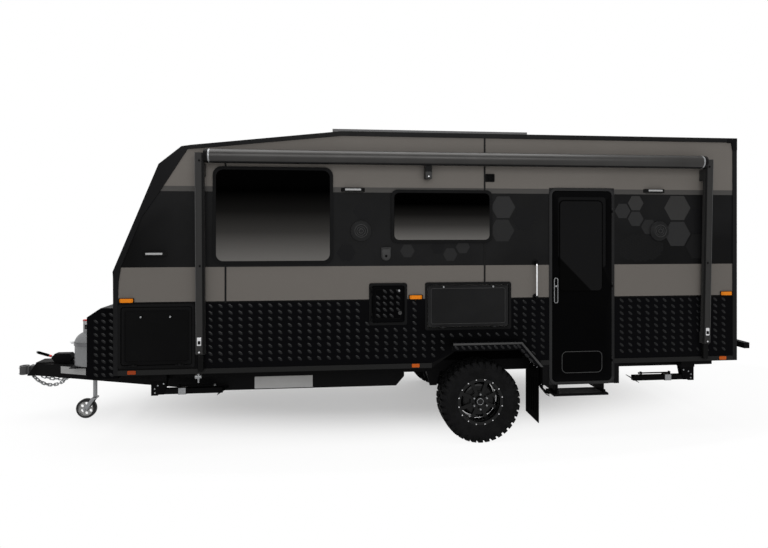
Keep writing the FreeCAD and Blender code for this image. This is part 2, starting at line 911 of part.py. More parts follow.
def make_coupling():
    """A flange and shank on the nose box that end in a head with an upright bore for the tow pin."""
    x = ahead(s.coupling_reach - s.coupling_head)
    face = ahead(s.draw_nose)
    low = s.coupling_high - s.coupling_tall / 2
    head = rod("coupling_head_round", "z", (x, ORIGIN, low), s.coupling_head, s.coupling_tall)
    plate_front = face - s.coupling_flange_thick
    flange = block("coupling_flange_plate", (plate_front, face), centred(ORIGIN, s.coupling_flange * 2),
                   (low, low + s.coupling_tall))
    shank = block("coupling_shank_bar", (x, plate_front), centred(ORIGIN, s.coupling_shank_wide),
                  centred(s.coupling_high, s.coupling_shank_tall))
    bore = rod("coupling_bore_round", "z", (x, ORIGIN, low - s.overrun), s.coupling_bore,
               s.coupling_tall + 2 * s.overrun)
    # The flange bears on a wedge that fills the slant of the nose box
    top = low + s.coupling_tall
    slant_at_top = s.draw_nose_slant * (top - s.draw_low) / (s.rail_low - s.draw_low)
    seat = pad("coupling_seat", "side",
               [[(plate_front, s.draw_low), (plate_front, top), (face + slant_at_top, top),
                 (face, s.draw_low)]], centred(ORIGIN, s.coupling_shank_wide))
    return cut("coupling", fuse("coupling_casting", [head, flange, shank, seat]), [bore])


def link_pitch():
    """From one link's middle to the next, with their bars just pressed together."""
    return s.link_long - 2 * s.link_wire + s.link_lap


def make_link(name, spot, turn, lean, rolled):
    """One link: an eight-sided loop of square bar, laid along the chain's own line."""
    long, wide, bar = s.link_long / 2, s.link_wide / 2, s.link_wire
    outer = [(-long, -wide + bar), (-long + bar, -wide), (long - bar, -wide), (long, -wide + bar),
             (long, wide - bar), (long - bar, wide), (-long + bar, wide), (-long, wide - bar)]
    hole = rectangle((-long + bar, long - bar), (-wide + bar, wide - bar))
    link = pad(name, "side", [outer, hole], centred(ORIGIN, bar))
    yaw = FreeCAD.Rotation(FreeCAD.Vector(0, 0, 1), turn)
    pitch = FreeCAD.Rotation(FreeCAD.Vector(0, 1, 0), -lean)
    roll = FreeCAD.Rotation(FreeCAD.Vector(1, 0, 0), 90 if rolled else 0)
    link.Placement = FreeCAD.Placement(FreeCAD.Vector(), yaw * pitch * roll)
    return place(link, *spot)


def make_chains():
    """Two safety chains that sag in an arc below the drawbar, from the nose back along each rail."""
    chains = []
    count = int(s.chain_links.value)
    half_turn = s.chain_turn.value / 2
    step = s.chain_turn.value / count
    radius = link_pitch() / (2 * math.sin(math.radians(step) / 2))
    plan_turn = math.atan(draw_side_slope().value)
    top = s.draw_low - s.chain_drop
    for side, word in SIDES:
        near = side * (draw_half_at(s.chain_front) - s.rail_wide / 2)

        def spot(lean):
            run = radius * (math.sin(math.radians(lean)) + math.sin(math.radians(half_turn)))
            fall = radius * (math.cos(math.radians(lean)) - math.cos(math.radians(half_turn)))
            return (ahead(s.chain_front) + run * math.cos(plan_turn),
                    near + run * (side * math.sin(plan_turn)), top - fall)

        pieces = []
        for number in range(count):
            lean = -half_turn + step * (number + 0.5)
            pieces.append(make_link(f"link_{word}_{number}", spot(lean), side * math.degrees(plan_turn),
                                    lean, number % 2 == 0))
        for number, lean in enumerate((-half_turn, half_turn)):
            x, y, z = spot(lean)
            pieces.append(block(f"chain_eye_{word}_{number}", centred(x, s.link_wide),
                                centred(y, s.link_wire), (z - s.link_wire, s.draw_low)))
        chains.append(fuse(f"chain_{word}", pieces))
    return group("safety_chains", chains)


def make_handbrake():
    """A lever on the nose deck that lies forward and slopes up to its grip."""
    x = ahead(s.brake_ahead)
    slope = s.brake_rise / s.brake_lever
    grip_start = s.brake_lever / 2

    def bar(name, first, last, thick, side_wide):
        """A stretch of the lever between two distances along it."""
        return pad(name, "side",
                   [[(x - first, gas_foot + first * slope), (x - first, gas_foot + first * slope + thick),
                     (x - last, gas_foot + last * slope + thick), (x - last, gas_foot + last * slope)]],
                   centred(s.brake_side, side_wide))

    lever = bar("brake_lever_bar", ORIGIN, s.brake_lever, s.brake_bar, s.brake_bar)
    grip = bar("brake_grip_bar", grip_start, s.brake_lever, s.brake_grip, s.brake_grip)
    foot = block("brake_foot", (x - s.brake_grip, x + s.brake_grip), centred(s.brake_side, s.brake_bar),
                 (gas_foot, gas_foot + s.brake_grip))
    return fuse("handbrake", [lever, grip, foot])


def make_gas():
    """Two bottles with domed shoulders, each with a collar open at two sides, its valve and its strap."""
    bottles = []
    for side, word in SIDES:
        x, y = ahead(s.gas_ahead), side * s.gas_side
        top = gas_foot + s.gas_body + s.gas_dome
        tall = s.gas_body + s.gas_dome
        form = spin(f"gas_barrel_{word}",
                    [(ORIGIN, ORIGIN), (s.gas_radius - s.gas_foot_round, ORIGIN, s.gas_foot_round),
                     (s.gas_radius, s.gas_foot_round), (s.gas_radius, s.gas_body, s.gas_shoulder),
                     (s.gas_collar, tall), (ORIGIN, tall)], (x, y, gas_foot), upright=True)
        collar = tube(f"gas_collar_{word}", "z", (x, y, top), s.gas_collar,
                      s.gas_collar - s.gas_collar_thick, s.gas_collar_high)
        opening = block(f"gas_opening_{word}", centred(x, s.gas_opening_wide),
                        centred(y, s.gas_radius * 2),
                        centred(top + s.gas_collar_high / 2, s.gas_opening_tall))
        valve = rod(f"gas_valve_{word}", "z", (x, y, top), s.gas_valve, s.gas_valve_high)
        cap = rod(f"gas_cap_{word}", "z", (x, y, top + s.gas_valve_high), s.gas_cap, s.gas_cap_tall)
        strap = rod(f"gas_strap_{word}", "z", (x, y, gas_foot + s.gas_strap_high),
                    s.gas_radius + s.gas_strap_thick, s.gas_strap_tall)
        bottles.append(fuse(f"gas_bottle_{word}", [form, cut(f"gas_guard_{word}", collar, [opening]),
                                                   valve, cap, strap]))
    return group("gas_cylinders", bottles)


# Jockey stand


def make_jockey():
    x = ahead(s.jockey_ahead)
    sleeve = tube("jockey_tube", "z", (x, ORIGIN, s.jockey_sleeve_low), s.jockey_sleeve_out,
                  s.jockey_sleeve_in, s.jockey_sleeve_high - s.jockey_sleeve_low)
    cap = rod("jockey_cap", "z", (x, ORIGIN, s.jockey_sleeve_high), s.jockey_sleeve_out, s.jockey_crank_bar)
    screw = rod("jockey_screw", "z", (x, ORIGIN, s.jockey_sleeve_high), s.jockey_crank_bar,
                s.jockey_sleeve_out * 2)
    crank_high = s.jockey_sleeve_high + s.jockey_sleeve_out * 2
    crank = rod("jockey_crank_bar", "x", (x, ORIGIN, crank_high), s.jockey_crank_bar, s.jockey_crank)
    grip = rod("jockey_grip", "z", (x + s.jockey_crank, ORIGIN, crank_high - s.jockey_crank_bar),
               s.jockey_crank_bar * GRIP_RADIUS_SHARE, s.jockey_crank * GRIP_LONG_SHARE)
    fixed = fuse("jockey_sleeve", [sleeve, cap, screw, crank, grip])

    leg_body = rod("jockey_leg_round", "z", (x, ORIGIN, s.jockey_leg_low), s.jockey_leg_out,
                   s.jockey_leg_high - s.jockey_leg_low)
    leg = cut("jockey_leg", leg_body,
              [rod("jockey_leg_bore", "z", (x, ORIGIN, s.jockey_leg_low), s.jockey_pin + s.seat_gap,
                   s.jockey_leg_out * 3)])

    inner = s.jockey_wheel_wide / 2 + s.jockey_fork_gap
    outer = inner + s.jockey_fork_plate
    wheel_x = x - s.jockey_trail
    fork_roof = block("fork_roof", (x - s.jockey_leg_out, x + s.jockey_leg_out), (-outer, outer),
                      (s.jockey_fork_top, s.jockey_leg_low - s.seat_gap))
    king = rod("fork_king", "z", (x, ORIGIN, s.jockey_fork_top), s.jockey_pin,
               s.jockey_leg_low - s.jockey_fork_top + s.jockey_leg_out * 2)
    cheeks = []
    for side, word in SIDES:
        outline = [(x + s.jockey_leg_out, s.jockey_leg_low - s.seat_gap),
                   (x - s.jockey_leg_out, s.jockey_leg_low - s.seat_gap),
                   (wheel_x - s.jockey_axle * 2, s.jockey_wheel + s.jockey_axle),
                   (wheel_x - s.jockey_axle * 2, s.jockey_wheel - s.jockey_axle * 2),
                   (wheel_x + s.jockey_axle * 2, s.jockey_wheel - s.jockey_axle * 2)]
        cheeks.append(pad(f"fork_cheek_{word}", "side", [outline], side_span(side, inner, outer)))
    pin = rod("fork_axle", "y", (wheel_x, -outer - s.jockey_fork_plate, s.jockey_wheel), s.jockey_axle,
              (outer + s.jockey_fork_plate) * 2)
    fork = fuse("jockey_fork", [fork_roof, king, pin] + cheeks)

    half, rim = s.jockey_wheel_wide / 2, s.jockey_rim_wide / 2
    web = s.jockey_web / 2
    bore = s.jockey_axle + s.seat_gap
    tread = half * JOCKEY_TREAD_SHARE
    shoulder = s.jockey_wheel * JOCKEY_SHOULDER_SHARE
    wheel = spin("jockey_wheel",
                 [(-half, bore), (half, bore), (half, s.jockey_hub), (web, s.jockey_hub),
                  (web, s.jockey_rim), (rim, s.jockey_rim), (rim, shoulder),
                  (tread, s.jockey_wheel), (-tread, s.jockey_wheel),
                  (-rim, shoulder), (-rim, s.jockey_rim), (-web, s.jockey_rim),
                  (-web, s.jockey_hub), (-half, s.jockey_hub)],
                 (wheel_x, ORIGIN, s.jockey_wheel))
    pocket_around(wheel, ("circle", ORIGIN, (s.jockey_hub + s.jockey_rim) / 2, s.jockey_hole),
                  s.jockey_holes)
    return [fixed, leg, fork, wheel]


# Front box


def box_form(name, shrink, low, high):
    """The box's outside, or its inside when shrink is the sheet's thickness."""
    plan = [(ahead(s.box_back + shrink), -(s.box_half - shrink)),
            (ahead(s.box_back + shrink), s.box_half - shrink),
            (ahead(s.box_corner), s.box_half - shrink),
            (ahead(s.box_front - shrink), s.box_front_half - shrink),
            (ahead(s.box_front - shrink), -(s.box_front_half - shrink)),
            (ahead(s.box_corner), -(s.box_half - shrink))]
    profile = [(ahead(s.box_back + shrink), low), (ahead(s.box_back + shrink), high),
               (ahead(s.box_front - shrink - s.box_chamfer), high),
               (ahead(s.box_front - shrink), s.box_chamfer_low - shrink),
               (ahead(s.box_front - shrink), low)]
    wide = s.box_half + s.overrun
    return common(name, pad(name + "_plan", "top", [plan], (low, high)),
                  pad(name + "_profile", "side", [profile], (-wide, wide)))


def make_front_box():
    outer = box_form("box_outer", ORIGIN, s.box_low, s.box_top)
    inner = box_form("box_inner", s.box_sheet, s.box_low + s.box_sheet, s.box_top - s.box_sheet)
    shell = cut("box_shell", outer, [inner])
    wide = (-s.box_half - s.overrun, s.box_half + s.overrun)
    long = (ahead(s.box_front + s.overrun), ahead(s.box_back - s.overrun))
    above = block("box_above", long, wide, (box_seam, s.box_top + s.overrun))
    below = block("box_below", long, wide, (s.box_low - s.overrun, box_seam + s.box_lid_gap))
    box = cut("box_tub", shell, [above])
    outer_again = box_form("lid_outer", ORIGIN, s.box_low, s.box_top)
    inner_again = box_form("lid_inner", s.box_sheet, s.box_low + s.box_sheet, s.box_top - s.box_sheet)
    lid = cut("box_cover", cut("lid_shell", outer_again, [inner_again]), [below])
    return box, lid


# Wheels


def make_tyre(side, word, centre):
    """A many-sided tyre with a raised crown band and a row of shoulder lugs on each side.

    One flat of every ring faces the ground, so that the crown stands on it.
    """
    sides = s.tyre_lugs.value
    half = s.tyre_wide / 2
    bead = s.rim_wide / 2 - s.rim_lip
    base = s.tyre_radius - s.lug_deep
    edge = half - s.tread_edge
    rings = [(bead, s.rim_flange + s.seat_gap), (half - s.tyre_side_bulge, s.rim_flange + s.rim_lip),
             (half, (s.rim_flange + s.tyre_radius) / 2), (half - s.rim_lip, s.tyre_radius - s.tyre_shoulder),
             (edge, base), (s.crown_half + s.crown_step, base), (s.crown_half, s.tyre_radius)]
    places = [(-along, reach) for along, reach in rings] + rings[::-1]

    def ring(name, along, reach):
        polygon = doc.addObject("Part::RegularPolygon", name)
        bind(polygon, "Polygon", s.tyre_lugs)
        bind(polygon, "Circumradius", reach / math.cos(math.pi / sides))
        flat_down = FreeCAD.Rotation(FreeCAD.Vector(0, 0, 1), 90 + 180 / sides)
        polygon.Placement = FreeCAD.Placement(FreeCAD.Vector(), AXIS_TURNS["y"] * flat_down)
        return place(polygon, centre[0], centre[1] + along, centre[2])

    carcass = doc.addObject("Part::Loft", f"tyre_carcass_{word}")
    carcass.Sections = [ring(f"tyre_ring_{word}_{number}", along, reach)
                        for number, (along, reach) in enumerate(places)]
    carcass.Solid = True
    carcass.Ruled = True
    hole = doc.addObject("Part::Loft", f"tyre_hole_{word}")
    hole.Sections = [ring(f"tyre_hole_ring_{word}_{number}", along, s.tyre_bead)
                     for number, along in enumerate((-half, half))]
    hole.Solid = True
    hole.Ruled = True
    lugs = []
    step = 2 * math.pi / sides
    foot = s.tyre_radius - s.lug_drop
    start = s.crown_half + s.crown_step + s.lug_inner
    for way, late in ((-1, 0), (1, step / 2)):
        across = ordered(way * start, way * (half - s.lug_edge))
        for number in range(int(sides)):
            turn = number * step + late
            lug = doc.addObject("Part::Box", f"lug_{word}_{way + 1}_{number}")
            bind(lug, "Length", s.lug_long)
            bind(lug, "Width", across[1] - across[0])
            bind(lug, "Height", s.lug_drop)
            lug.Placement = FreeCAD.Placement(
                FreeCAD.Vector(), FreeCAD.Rotation(FreeCAD.Vector(0, 1, 0), math.degrees(turn)))
            x = centre[0] - s.lug_long / 2 * math.cos(turn) + foot * math.sin(turn)
            z = centre[2] + s.lug_long / 2 * math.sin(turn) + foot * math.cos(turn)
            lugs.append(place(lug, x, centre[1] + across[0], z))
    return cut(f"tyre_{word}", fuse(f"tyre_solid_{word}", [carcass] + lugs), [hole])


def make_wheel(side, word):
    """A tyre on a spoked rim with its hub and brake drum; outward is the side's own way along y."""
    centre = (axle_x, side * wheel_side, s.axle_high)
    tyre = make_tyre(side, word, centre)
    out = side
    edge = s.rim_wide / 2
    disc = edge - s.rim_disc_depth
    barrel = spin(f"rim_barrel_{word}",
                  [(-edge, s.rim_barrel), (edge, s.rim_barrel), (edge, s.rim_flange),
                   (edge - s.rim_lip, s.rim_flange), (edge - s.rim_lip, s.tyre_bead - s.seat_gap),
                   (-edge + s.rim_lip, s.tyre_bead - s.seat_gap), (-edge + s.rim_lip, s.rim_flange),
                   (-edge, s.rim_flange)], centre)
    hub_face = disc + s.rim_disc_thick * RIM_HUB_SHARE
    face = spin(f"rim_face_{word}",
                [(out * disc, s.stub_radius + s.rim_lip), (out * disc, s.rim_barrel + s.rim_sheet / 2),
                 (out * (disc + s.rim_disc_thick), s.rim_barrel + s.rim_sheet / 2),
                 (out * hub_face, s.rim_hub),
                 (out * hub_face, s.stub_radius + s.rim_lip)], centre)
    pocket_around(face, [(-s.spoke_window_in_half, s.spoke_window_in),
                         (s.spoke_window_in_half, s.spoke_window_in),
                         (s.spoke_window_out_half, s.spoke_window_out),
                         (-s.spoke_window_out_half, s.spoke_window_out)], s.spokes)
    cap_base = out * disc
    cap_end = out * (disc + s.rim_cap_high)
    cap = spin(f"rim_cap_{word}",
               [(cap_base, ORIGIN), (cap_base, s.rim_cap), (cap_end, s.rim_cap * CAP_END_SHARE),
                (cap_end, ORIGIN)], centre)
    inward = out * (disc - s.drum_deep)
    stub_end = out * (disc - s.drum_deep + s.stub_long)
    drum = spin(f"drum_{word}",
                [(cap_base, ORIGIN), (cap_base, s.drum_radius * DRUM_EDGE_SHARE),
                 (out * (disc - s.rim_lip), s.drum_radius), (inward, s.drum_radius),
                 (inward, s.stub_radius + s.stub_clear), (stub_end, s.stub_radius + s.stub_clear),
                 (stub_end, ORIGIN)], centre)
    studs = []
    for number in range(int(s.stud_count.value)):
        turn = 2 * math.pi * number / s.stud_count.value
        radius = s.stud_circle / 2
        low, high = ordered(side * (wheel_side + disc), side * (wheel_side + hub_face + s.stud_long))
        studs.append(rod(f"stud_{word}_{number}", "y",
                         (axle_x + radius * math.sin(turn), low, s.axle_high + radius * math.cos(turn)),
                         s.stud_radius, high - low))
    rim = fuse(f"rim_{word}", [barrel, face, cap, drum] + studs)
    return [tyre, rim]


def make_suspension():
    """Trailing arms that pivot ahead of the axle, with their stub axles and springs."""
    arms, springs = [], []
    for side, word in SIDES:
        outer = s.arm_side + s.arm_wide / 2
        inner = s.arm_side - s.arm_wide / 2
        pivot = (ahead(s.arm_pivot_ahead), s.arm_pivot_high)
        half = s.arm_high / 2
        outline = [(pivot[0], pivot[1] - half), (axle_x + half, s.axle_high - half),
                   (axle_x + half, s.axle_high + half), (pivot[0], pivot[1] + half)]
        beam = pad(f"arm_beam_{word}", "side", [outline], side_span(side, inner, outer))
        eye_low = side_span(side, s.arm_inner_side, outer)
        eye = rod(f"arm_eye_{word}", "y", (pivot[0], eye_low[0], pivot[1]), s.arm_pivot_radius,
                  eye_low[1] - eye_low[0])
        drum_face = wheel_side + s.rim_wide / 2 - s.rim_disc_depth - s.drum_deep
        stub_span = side_span(side, outer, drum_face + s.stub_long - s.seat_gap)
        stub = rod(f"stub_axle_{word}", "y", (axle_x, stub_span[0], s.axle_high), s.stub_radius,
                   stub_span[1] - stub_span[0])
        brace_span = side_span(side, s.spring_side - s.spring_seat, inner)
        seat_high = s.axle_high + half
        brace = block(f"arm_seat_{word}", centred(ahead(s.spring_ahead), 2 * s.spring_seat), brace_span,
                      (seat_high - s.spring_seat_thick * 2, seat_high))
        arms.append(fuse(f"trailing_arm_{word}", [beam, eye, stub, brace]))
        place_y = side * s.spring_side
        coil = tube(f"spring_{word}", "z", (ahead(s.spring_ahead), place_y, seat_high), s.spring_radius,
                    s.spring_radius - s.spring_wire * 2, s.rail_low - s.spring_seat_thick - seat_high)
        top = block(f"spring_top_{word}", centred(ahead(s.spring_ahead), 2 * s.spring_seat),
                    side_span(side, s.spring_side - s.spring_seat, s.rail_half),
                    (s.rail_low - s.spring_seat_thick, s.rail_low))
        springs.append(fuse(f"spring_set_{word}", [coil, top]))
    return group("trailing_arms", arms), group("springs", springs)


def make_hangers():
    """Plates below the rails that hold the trailing arms' pivots."""
    plates = []
    for side, word in SIDES:
        for number, (inner, outer) in enumerate((
                (s.arm_side + s.arm_wide / 2 + s.seat_gap, s.rail_half),
                (s.arm_inner_side - s.seat_gap - s.hanger_thick, s.arm_inner_side - s.seat_gap))):
            x = ahead(s.arm_pivot_ahead)
            reach = s.arm_pivot_radius * 2
            outline = [(x - reach, s.rail_low), (x - s.arm_pivot_radius, s.arm_pivot_high - reach),
                       (x + s.arm_pivot_radius, s.arm_pivot_high - reach), (x + reach, s.rail_low)]
            plates.append(pad(f"hanger_{word}_{number}", "side", [outline], side_span(side, inner, outer)))
    beam = block("hanger_beam", centred(ahead(s.arm_pivot_ahead), s.arm_pivot_radius * 4),
                 (-s.rail_half + s.rail_wide, s.rail_half - s.rail_wide), (s.rail_low, s.floor_low))
    return fuse("hanger_set", plates + [beam])


# Body shell


def nose_line():
    """The outside of the nose from its foot to the crown, as places and heights."""
    return [(ahead(s.body_front), s.skirt_low), (ahead(s.chin_ahead), s.chin_high),
            (ahead(s.brow_ahead), s.brow_high), (ahead(s.crown_ahead), s.crown_high)]


def nose_inner_line():
    slant = s.wall_thick * INNER_NOSE_SHARE
    return [(ahead(s.crown_ahead - s.wall_thick / 2), s.crown_high - s.roof_thick),
            (ahead(s.brow_ahead) + slant, s.brow_high - s.wall_thick / 2),
            (ahead(s.chin_ahead) + slant, s.chin_high + s.wall_thick / 4),
            (ahead(s.body_front) + s.wall_thick, s.skirt_low)]


def roof_line():
    return [(ahead(s.crown_ahead), s.crown_high), (ahead(s.slope_ahead), s.slope_high),
            (ahead(s.ridge_ahead), roof_high), (behind(s.body_rear), roof_high)]


def make_walls():
    """The two side walls, with their windows, hatches, door and wheel openings cut."""
    walls = []
    for side, word in SIDES:
        bottom = [(behind(s.body_rear), s.skirt_low)]
        if word == "left":
            bottom += [(behind(s.door_rear), s.skirt_low), (behind(s.door_rear), s.door_high),
                       (behind(s.door_front), s.door_high), (behind(s.door_front), s.skirt_low)]
        bottom += [(behind(s.arch_rear_low), s.skirt_low), (behind(s.arch_rear_top), s.arch_top),
                   (ahead(s.arch_front_top), s.arch_top), (ahead(s.arch_front_low), s.skirt_low)]
        outline = nose_line() + roof_line()[1:] + bottom
        holes = [rounded(inset(WINDOWS[key][0], s.window_lap), inset(WINDOWS[key][1], s.window_lap),
                         WINDOWS[key][2] - s.window_lap) for key in WINDOWS]
        holes += [rounded(*opening, s.hatch_corner) for opening in THROUGH_HATCHES[word]]
        wall = pad(f"wall_{word}_panel", "side", [outline] + holes, side_span(side, wall_inner, s.body_half))
        if word == "left":
            pocket = pad("table_pocket", "side", [rounded(*TABLE, s.hatch_corner)],
                         side_span(side, s.body_half - s.table_pocket, s.body_half + s.overrun))
            walls.append(cut("wall_left", wall, [pocket]))
        else:
            wall.Label = "wall_right"
            walls.append(wall)
    return walls


def window_place(front, long, below, tall, corner):
    """A window's span along the wall, its span of heights below the roof, and its corner."""
    top = s.roof_low - below
    return (front, front + long), (top - tall, top), corner


WINDOWS = {
    "wide": window_place(ahead(s.mould_top_ahead - s.wide_window_gap), s.wide_window_long,
                         s.wide_window_below, s.wide_window_tall, s.wide_window_corner),
    "slim": window_place(ahead(s.slim_window_front), s.slim_window_front + s.slim_window_rear,
                         s.slim_window_below, s.slim_window_tall, s.slim_window_corner),
}
BOOT = ((ahead(s.boot_front), ahead(s.boot_rear)), (s.boot_low, s.boot_high))
SERVICE = ((ahead(s.service_front), ahead(s.service_rear)), (s.service_low, s.service_high))
TABLE = ((ahead(s.table_front), behind(s.table_rear)), (s.table_low, s.table_high))
THROUGH_HATCHES = {"left": [BOOT, SERVICE], "right": [BOOT]}


def make_shell():
    """Front wall, roof, rear wall and floor, which lie between the side walls."""
    wide = (-wall_inner, wall_inner)
    front = pad("front_wall", "side", [nose_line() + nose_inner_line()], wide)
    under = [(behind(s.body_rear), s.roof_low), (ahead(s.ridge_ahead), s.roof_low),
             (ahead(s.slope_ahead), s.slope_high - s.roof_thick),
             (ahead(s.crown_ahead - s.wall_thick / 2), s.crown_high - s.roof_thick)]
    roof = pad("roof_panel", "side", [roof_line() + under], wide)
    rear = block("rear_wall", (behind(s.body_rear) - s.wall_thick, behind(s.body_rear)), wide,
                 (s.skirt_low, s.roof_low))
    plate = block("floor_plate", (ahead(s.body_front) + s.wall_thick, behind(s.body_rear) - s.wall_thick),
                  wide, (s.floor_low, floor_high))
    holes = [block(f"floor_wheel_{word}", (ahead(s.wheel_box_front), behind(s.wheel_box_rear)),
                   side_span(side, s.wheel_box_side, s.body_half), (s.floor_low - s.overrun,
                                                                   floor_high + s.overrun))
             for side, word in SIDES]
    holes.append(block("floor_well", (behind(s.well_front), behind(s.well_rear)),
                       (-s.body_half, -s.rail_half),
                       (s.floor_low - s.overrun, floor_high + s.overrun)))
    return [front, roof, rear, cut("floor_panel", plate, holes)]


def make_wheel_boxes():
    """A tub over each wheel that closes the hole in the floor."""
    boxes = []
    for side, word in SIDES:
        sheet_thick = s.wheel_box_sheet
        long = (ahead(s.wheel_box_front), behind(s.wheel_box_rear))
        outer = block(f"wheel_tub_{word}", long, side_span(side, s.wheel_box_side, wall_inner),
                      (s.floor_low, s.wheel_box_top))
        hollow = block(f"wheel_hollow_{word}", inset(long, sheet_thick),
                       side_span(side, s.wheel_box_side + sheet_thick, s.body_half),
                       (s.floor_low - s.overrun, s.wheel_box_top - sheet_thick))
        boxes.append(cut(f"wheel_box_{word}", outer, [hollow]))
    return group("wheel_boxes", boxes)


def make_entry_well():
    """The step well that hangs below the floor behind the entry door, and the step's guides."""
    thick = s.well_sheet
    long = (behind(s.well_front), behind(s.well_rear))
    outer = block("well_outer", long, (-wall_inner, -s.rail_half), (s.well_low, floor_high))
    inner = block("well_inner", inset(long, thick),
                  (-wall_inner - s.overrun, -s.rail_half - thick),
                  (s.well_low + thick, floor_high + s.overrun))
    tub = cut("well_tub", outer, [inner])
    # Cheeks that close the well's front beside the door frame, below the wall
    cheeks = [block("well_cheek_front", (behind(s.well_front), behind(s.door_front)),
                    (-s.body_half, -wall_inner), (s.well_low, s.skirt_low)),
              block("well_cheek_rear", (behind(s.door_rear), behind(s.well_rear)),
                    (-s.body_half, -wall_inner), (s.well_low, s.skirt_low))]
    guides = []
    for number, x in enumerate(step_bar_places()):
        wide = s.step_bar + 2 * (s.step_clear + s.step_guide)
        low = s.step_low + s.step_thick
        guide = block(f"step_guide_{number}", centred(x, wide),
                      (-wall_inner, -s.rail_half), (low, s.well_low))
        slot = block(f"step_slot_{number}", centred(x, s.step_bar + 2 * s.step_clear),
                     (-s.body_half, -s.rail_half - s.step_guide),
                     (low + s.step_guide, low + s.step_guide + s.step_bar + 2 * s.step_clear))
        guides.append(cut(f"step_channel_{number}", guide, [slot]))
    # A strap bends down from the front cheek towards the step's tread
    x, drop, strap = behind(s.well_front), s.well_low - s.step_low, s.step_strap_thick
    arc = pad("step_strap", "side",
              [[(x, s.well_low, drop), (x + s.step_strap_reach, s.step_low),
                (x + s.step_strap_reach, s.step_low + strap, strap - drop), (x + strap, s.well_low)]],
              (-s.body_half + strap, -s.body_half + strap + s.step_strap_wide))
    return fuse("entry_well", [tub] + cheeks + guides + [arc])


def step_bar_places():
    return (behind(s.step_front) + s.step_bar_inset, behind(s.step_rear) - s.step_bar_inset)


def make_step():
    """A tread on two bars that slide out of the guides below the step well."""
    near = -s.body_half
    tread = block("step_tread", (behind(s.step_front), behind(s.step_rear)),
                  (near, near + s.step_deep), (s.step_low, s.step_low + s.step_thick - s.swing_gap))
    pieces = [tread]
    low = s.step_low + s.step_thick + s.step_guide + s.step_clear
    for number, x in enumerate(step_bar_places()):
        side = centred(x, s.step_bar)
        pieces.append(block(f"step_bar_{number}", side, (near, near + s.step_bar_long),
                            (low, low + s.step_bar)))
        pieces.append(block(f"step_post_{number}", side, (near, near + s.wall_thick - s.swing_gap),
                            (s.step_low, low + s.step_bar)))
    return fuse("entry_step", pieces)


# Doors, hatches and their hinges


def hinge(name, along, x, y, z, bridge, leaf, number):
    """One hinge on an axis through x, y, z that runs along x or z.

    The two end knuckles and the pin are fixed, the middle knuckle moves. Bridge and leaf give the
    boxes, without their extent along the axis, that tie the fixed and the moving knuckles on.
    """
    third = s.hinge_long / 3
    start = {"x": x, "z": z}[along] - s.hinge_long / 2

    def at(offset):
        place_along = start + offset
        return (place_along, y, z) if along == "x" else (x, y, place_along)

    def box(label, spans, low, high):
        span = (start + low, start + high)
        if along == "x":
            return block(label, span, *spans)
        return block(label, *spans, span)

    fixed = [rod(f"{name}_pin_{number}", along, at(ORIGIN), s.hinge_pin, s.hinge_long)]
    for word, offset in (("low", ORIGIN), ("high", third * 2)):
        fixed.append(rod(f"{name}_knuckle_{word}_{number}", along, at(offset), s.hinge_radius, third))
        fixed.append(box(f"{name}_bridge_{word}_{number}", bridge, offset, offset + third))
    length = third - 2 * s.hinge_gap
    knuckle = rod(f"{name}_knuckle_{number}", along, at(third + s.hinge_gap), s.hinge_radius, length)
    arm = box(f"{name}_leaf_{number}", leaf, third + s.hinge_gap, third * 2 - s.hinge_gap)
    bore = rod(f"{name}_bore_{number}", along, at(third), s.hinge_pin + s.hinge_clear, third)
    moving = cut(f"{name}_moving_{number}", fuse(f"{name}_moving_body_{number}", [knuckle, arm]), [bore])
    return fixed, moving


def frame_ring(name, opening, wide, corner, span):
    outline = rounded(*opening, corner)
    hole = rounded(inset(opening[0], wide), inset(opening[1], wide), corner)
    return pad(name, "side", [outline, hole], span)


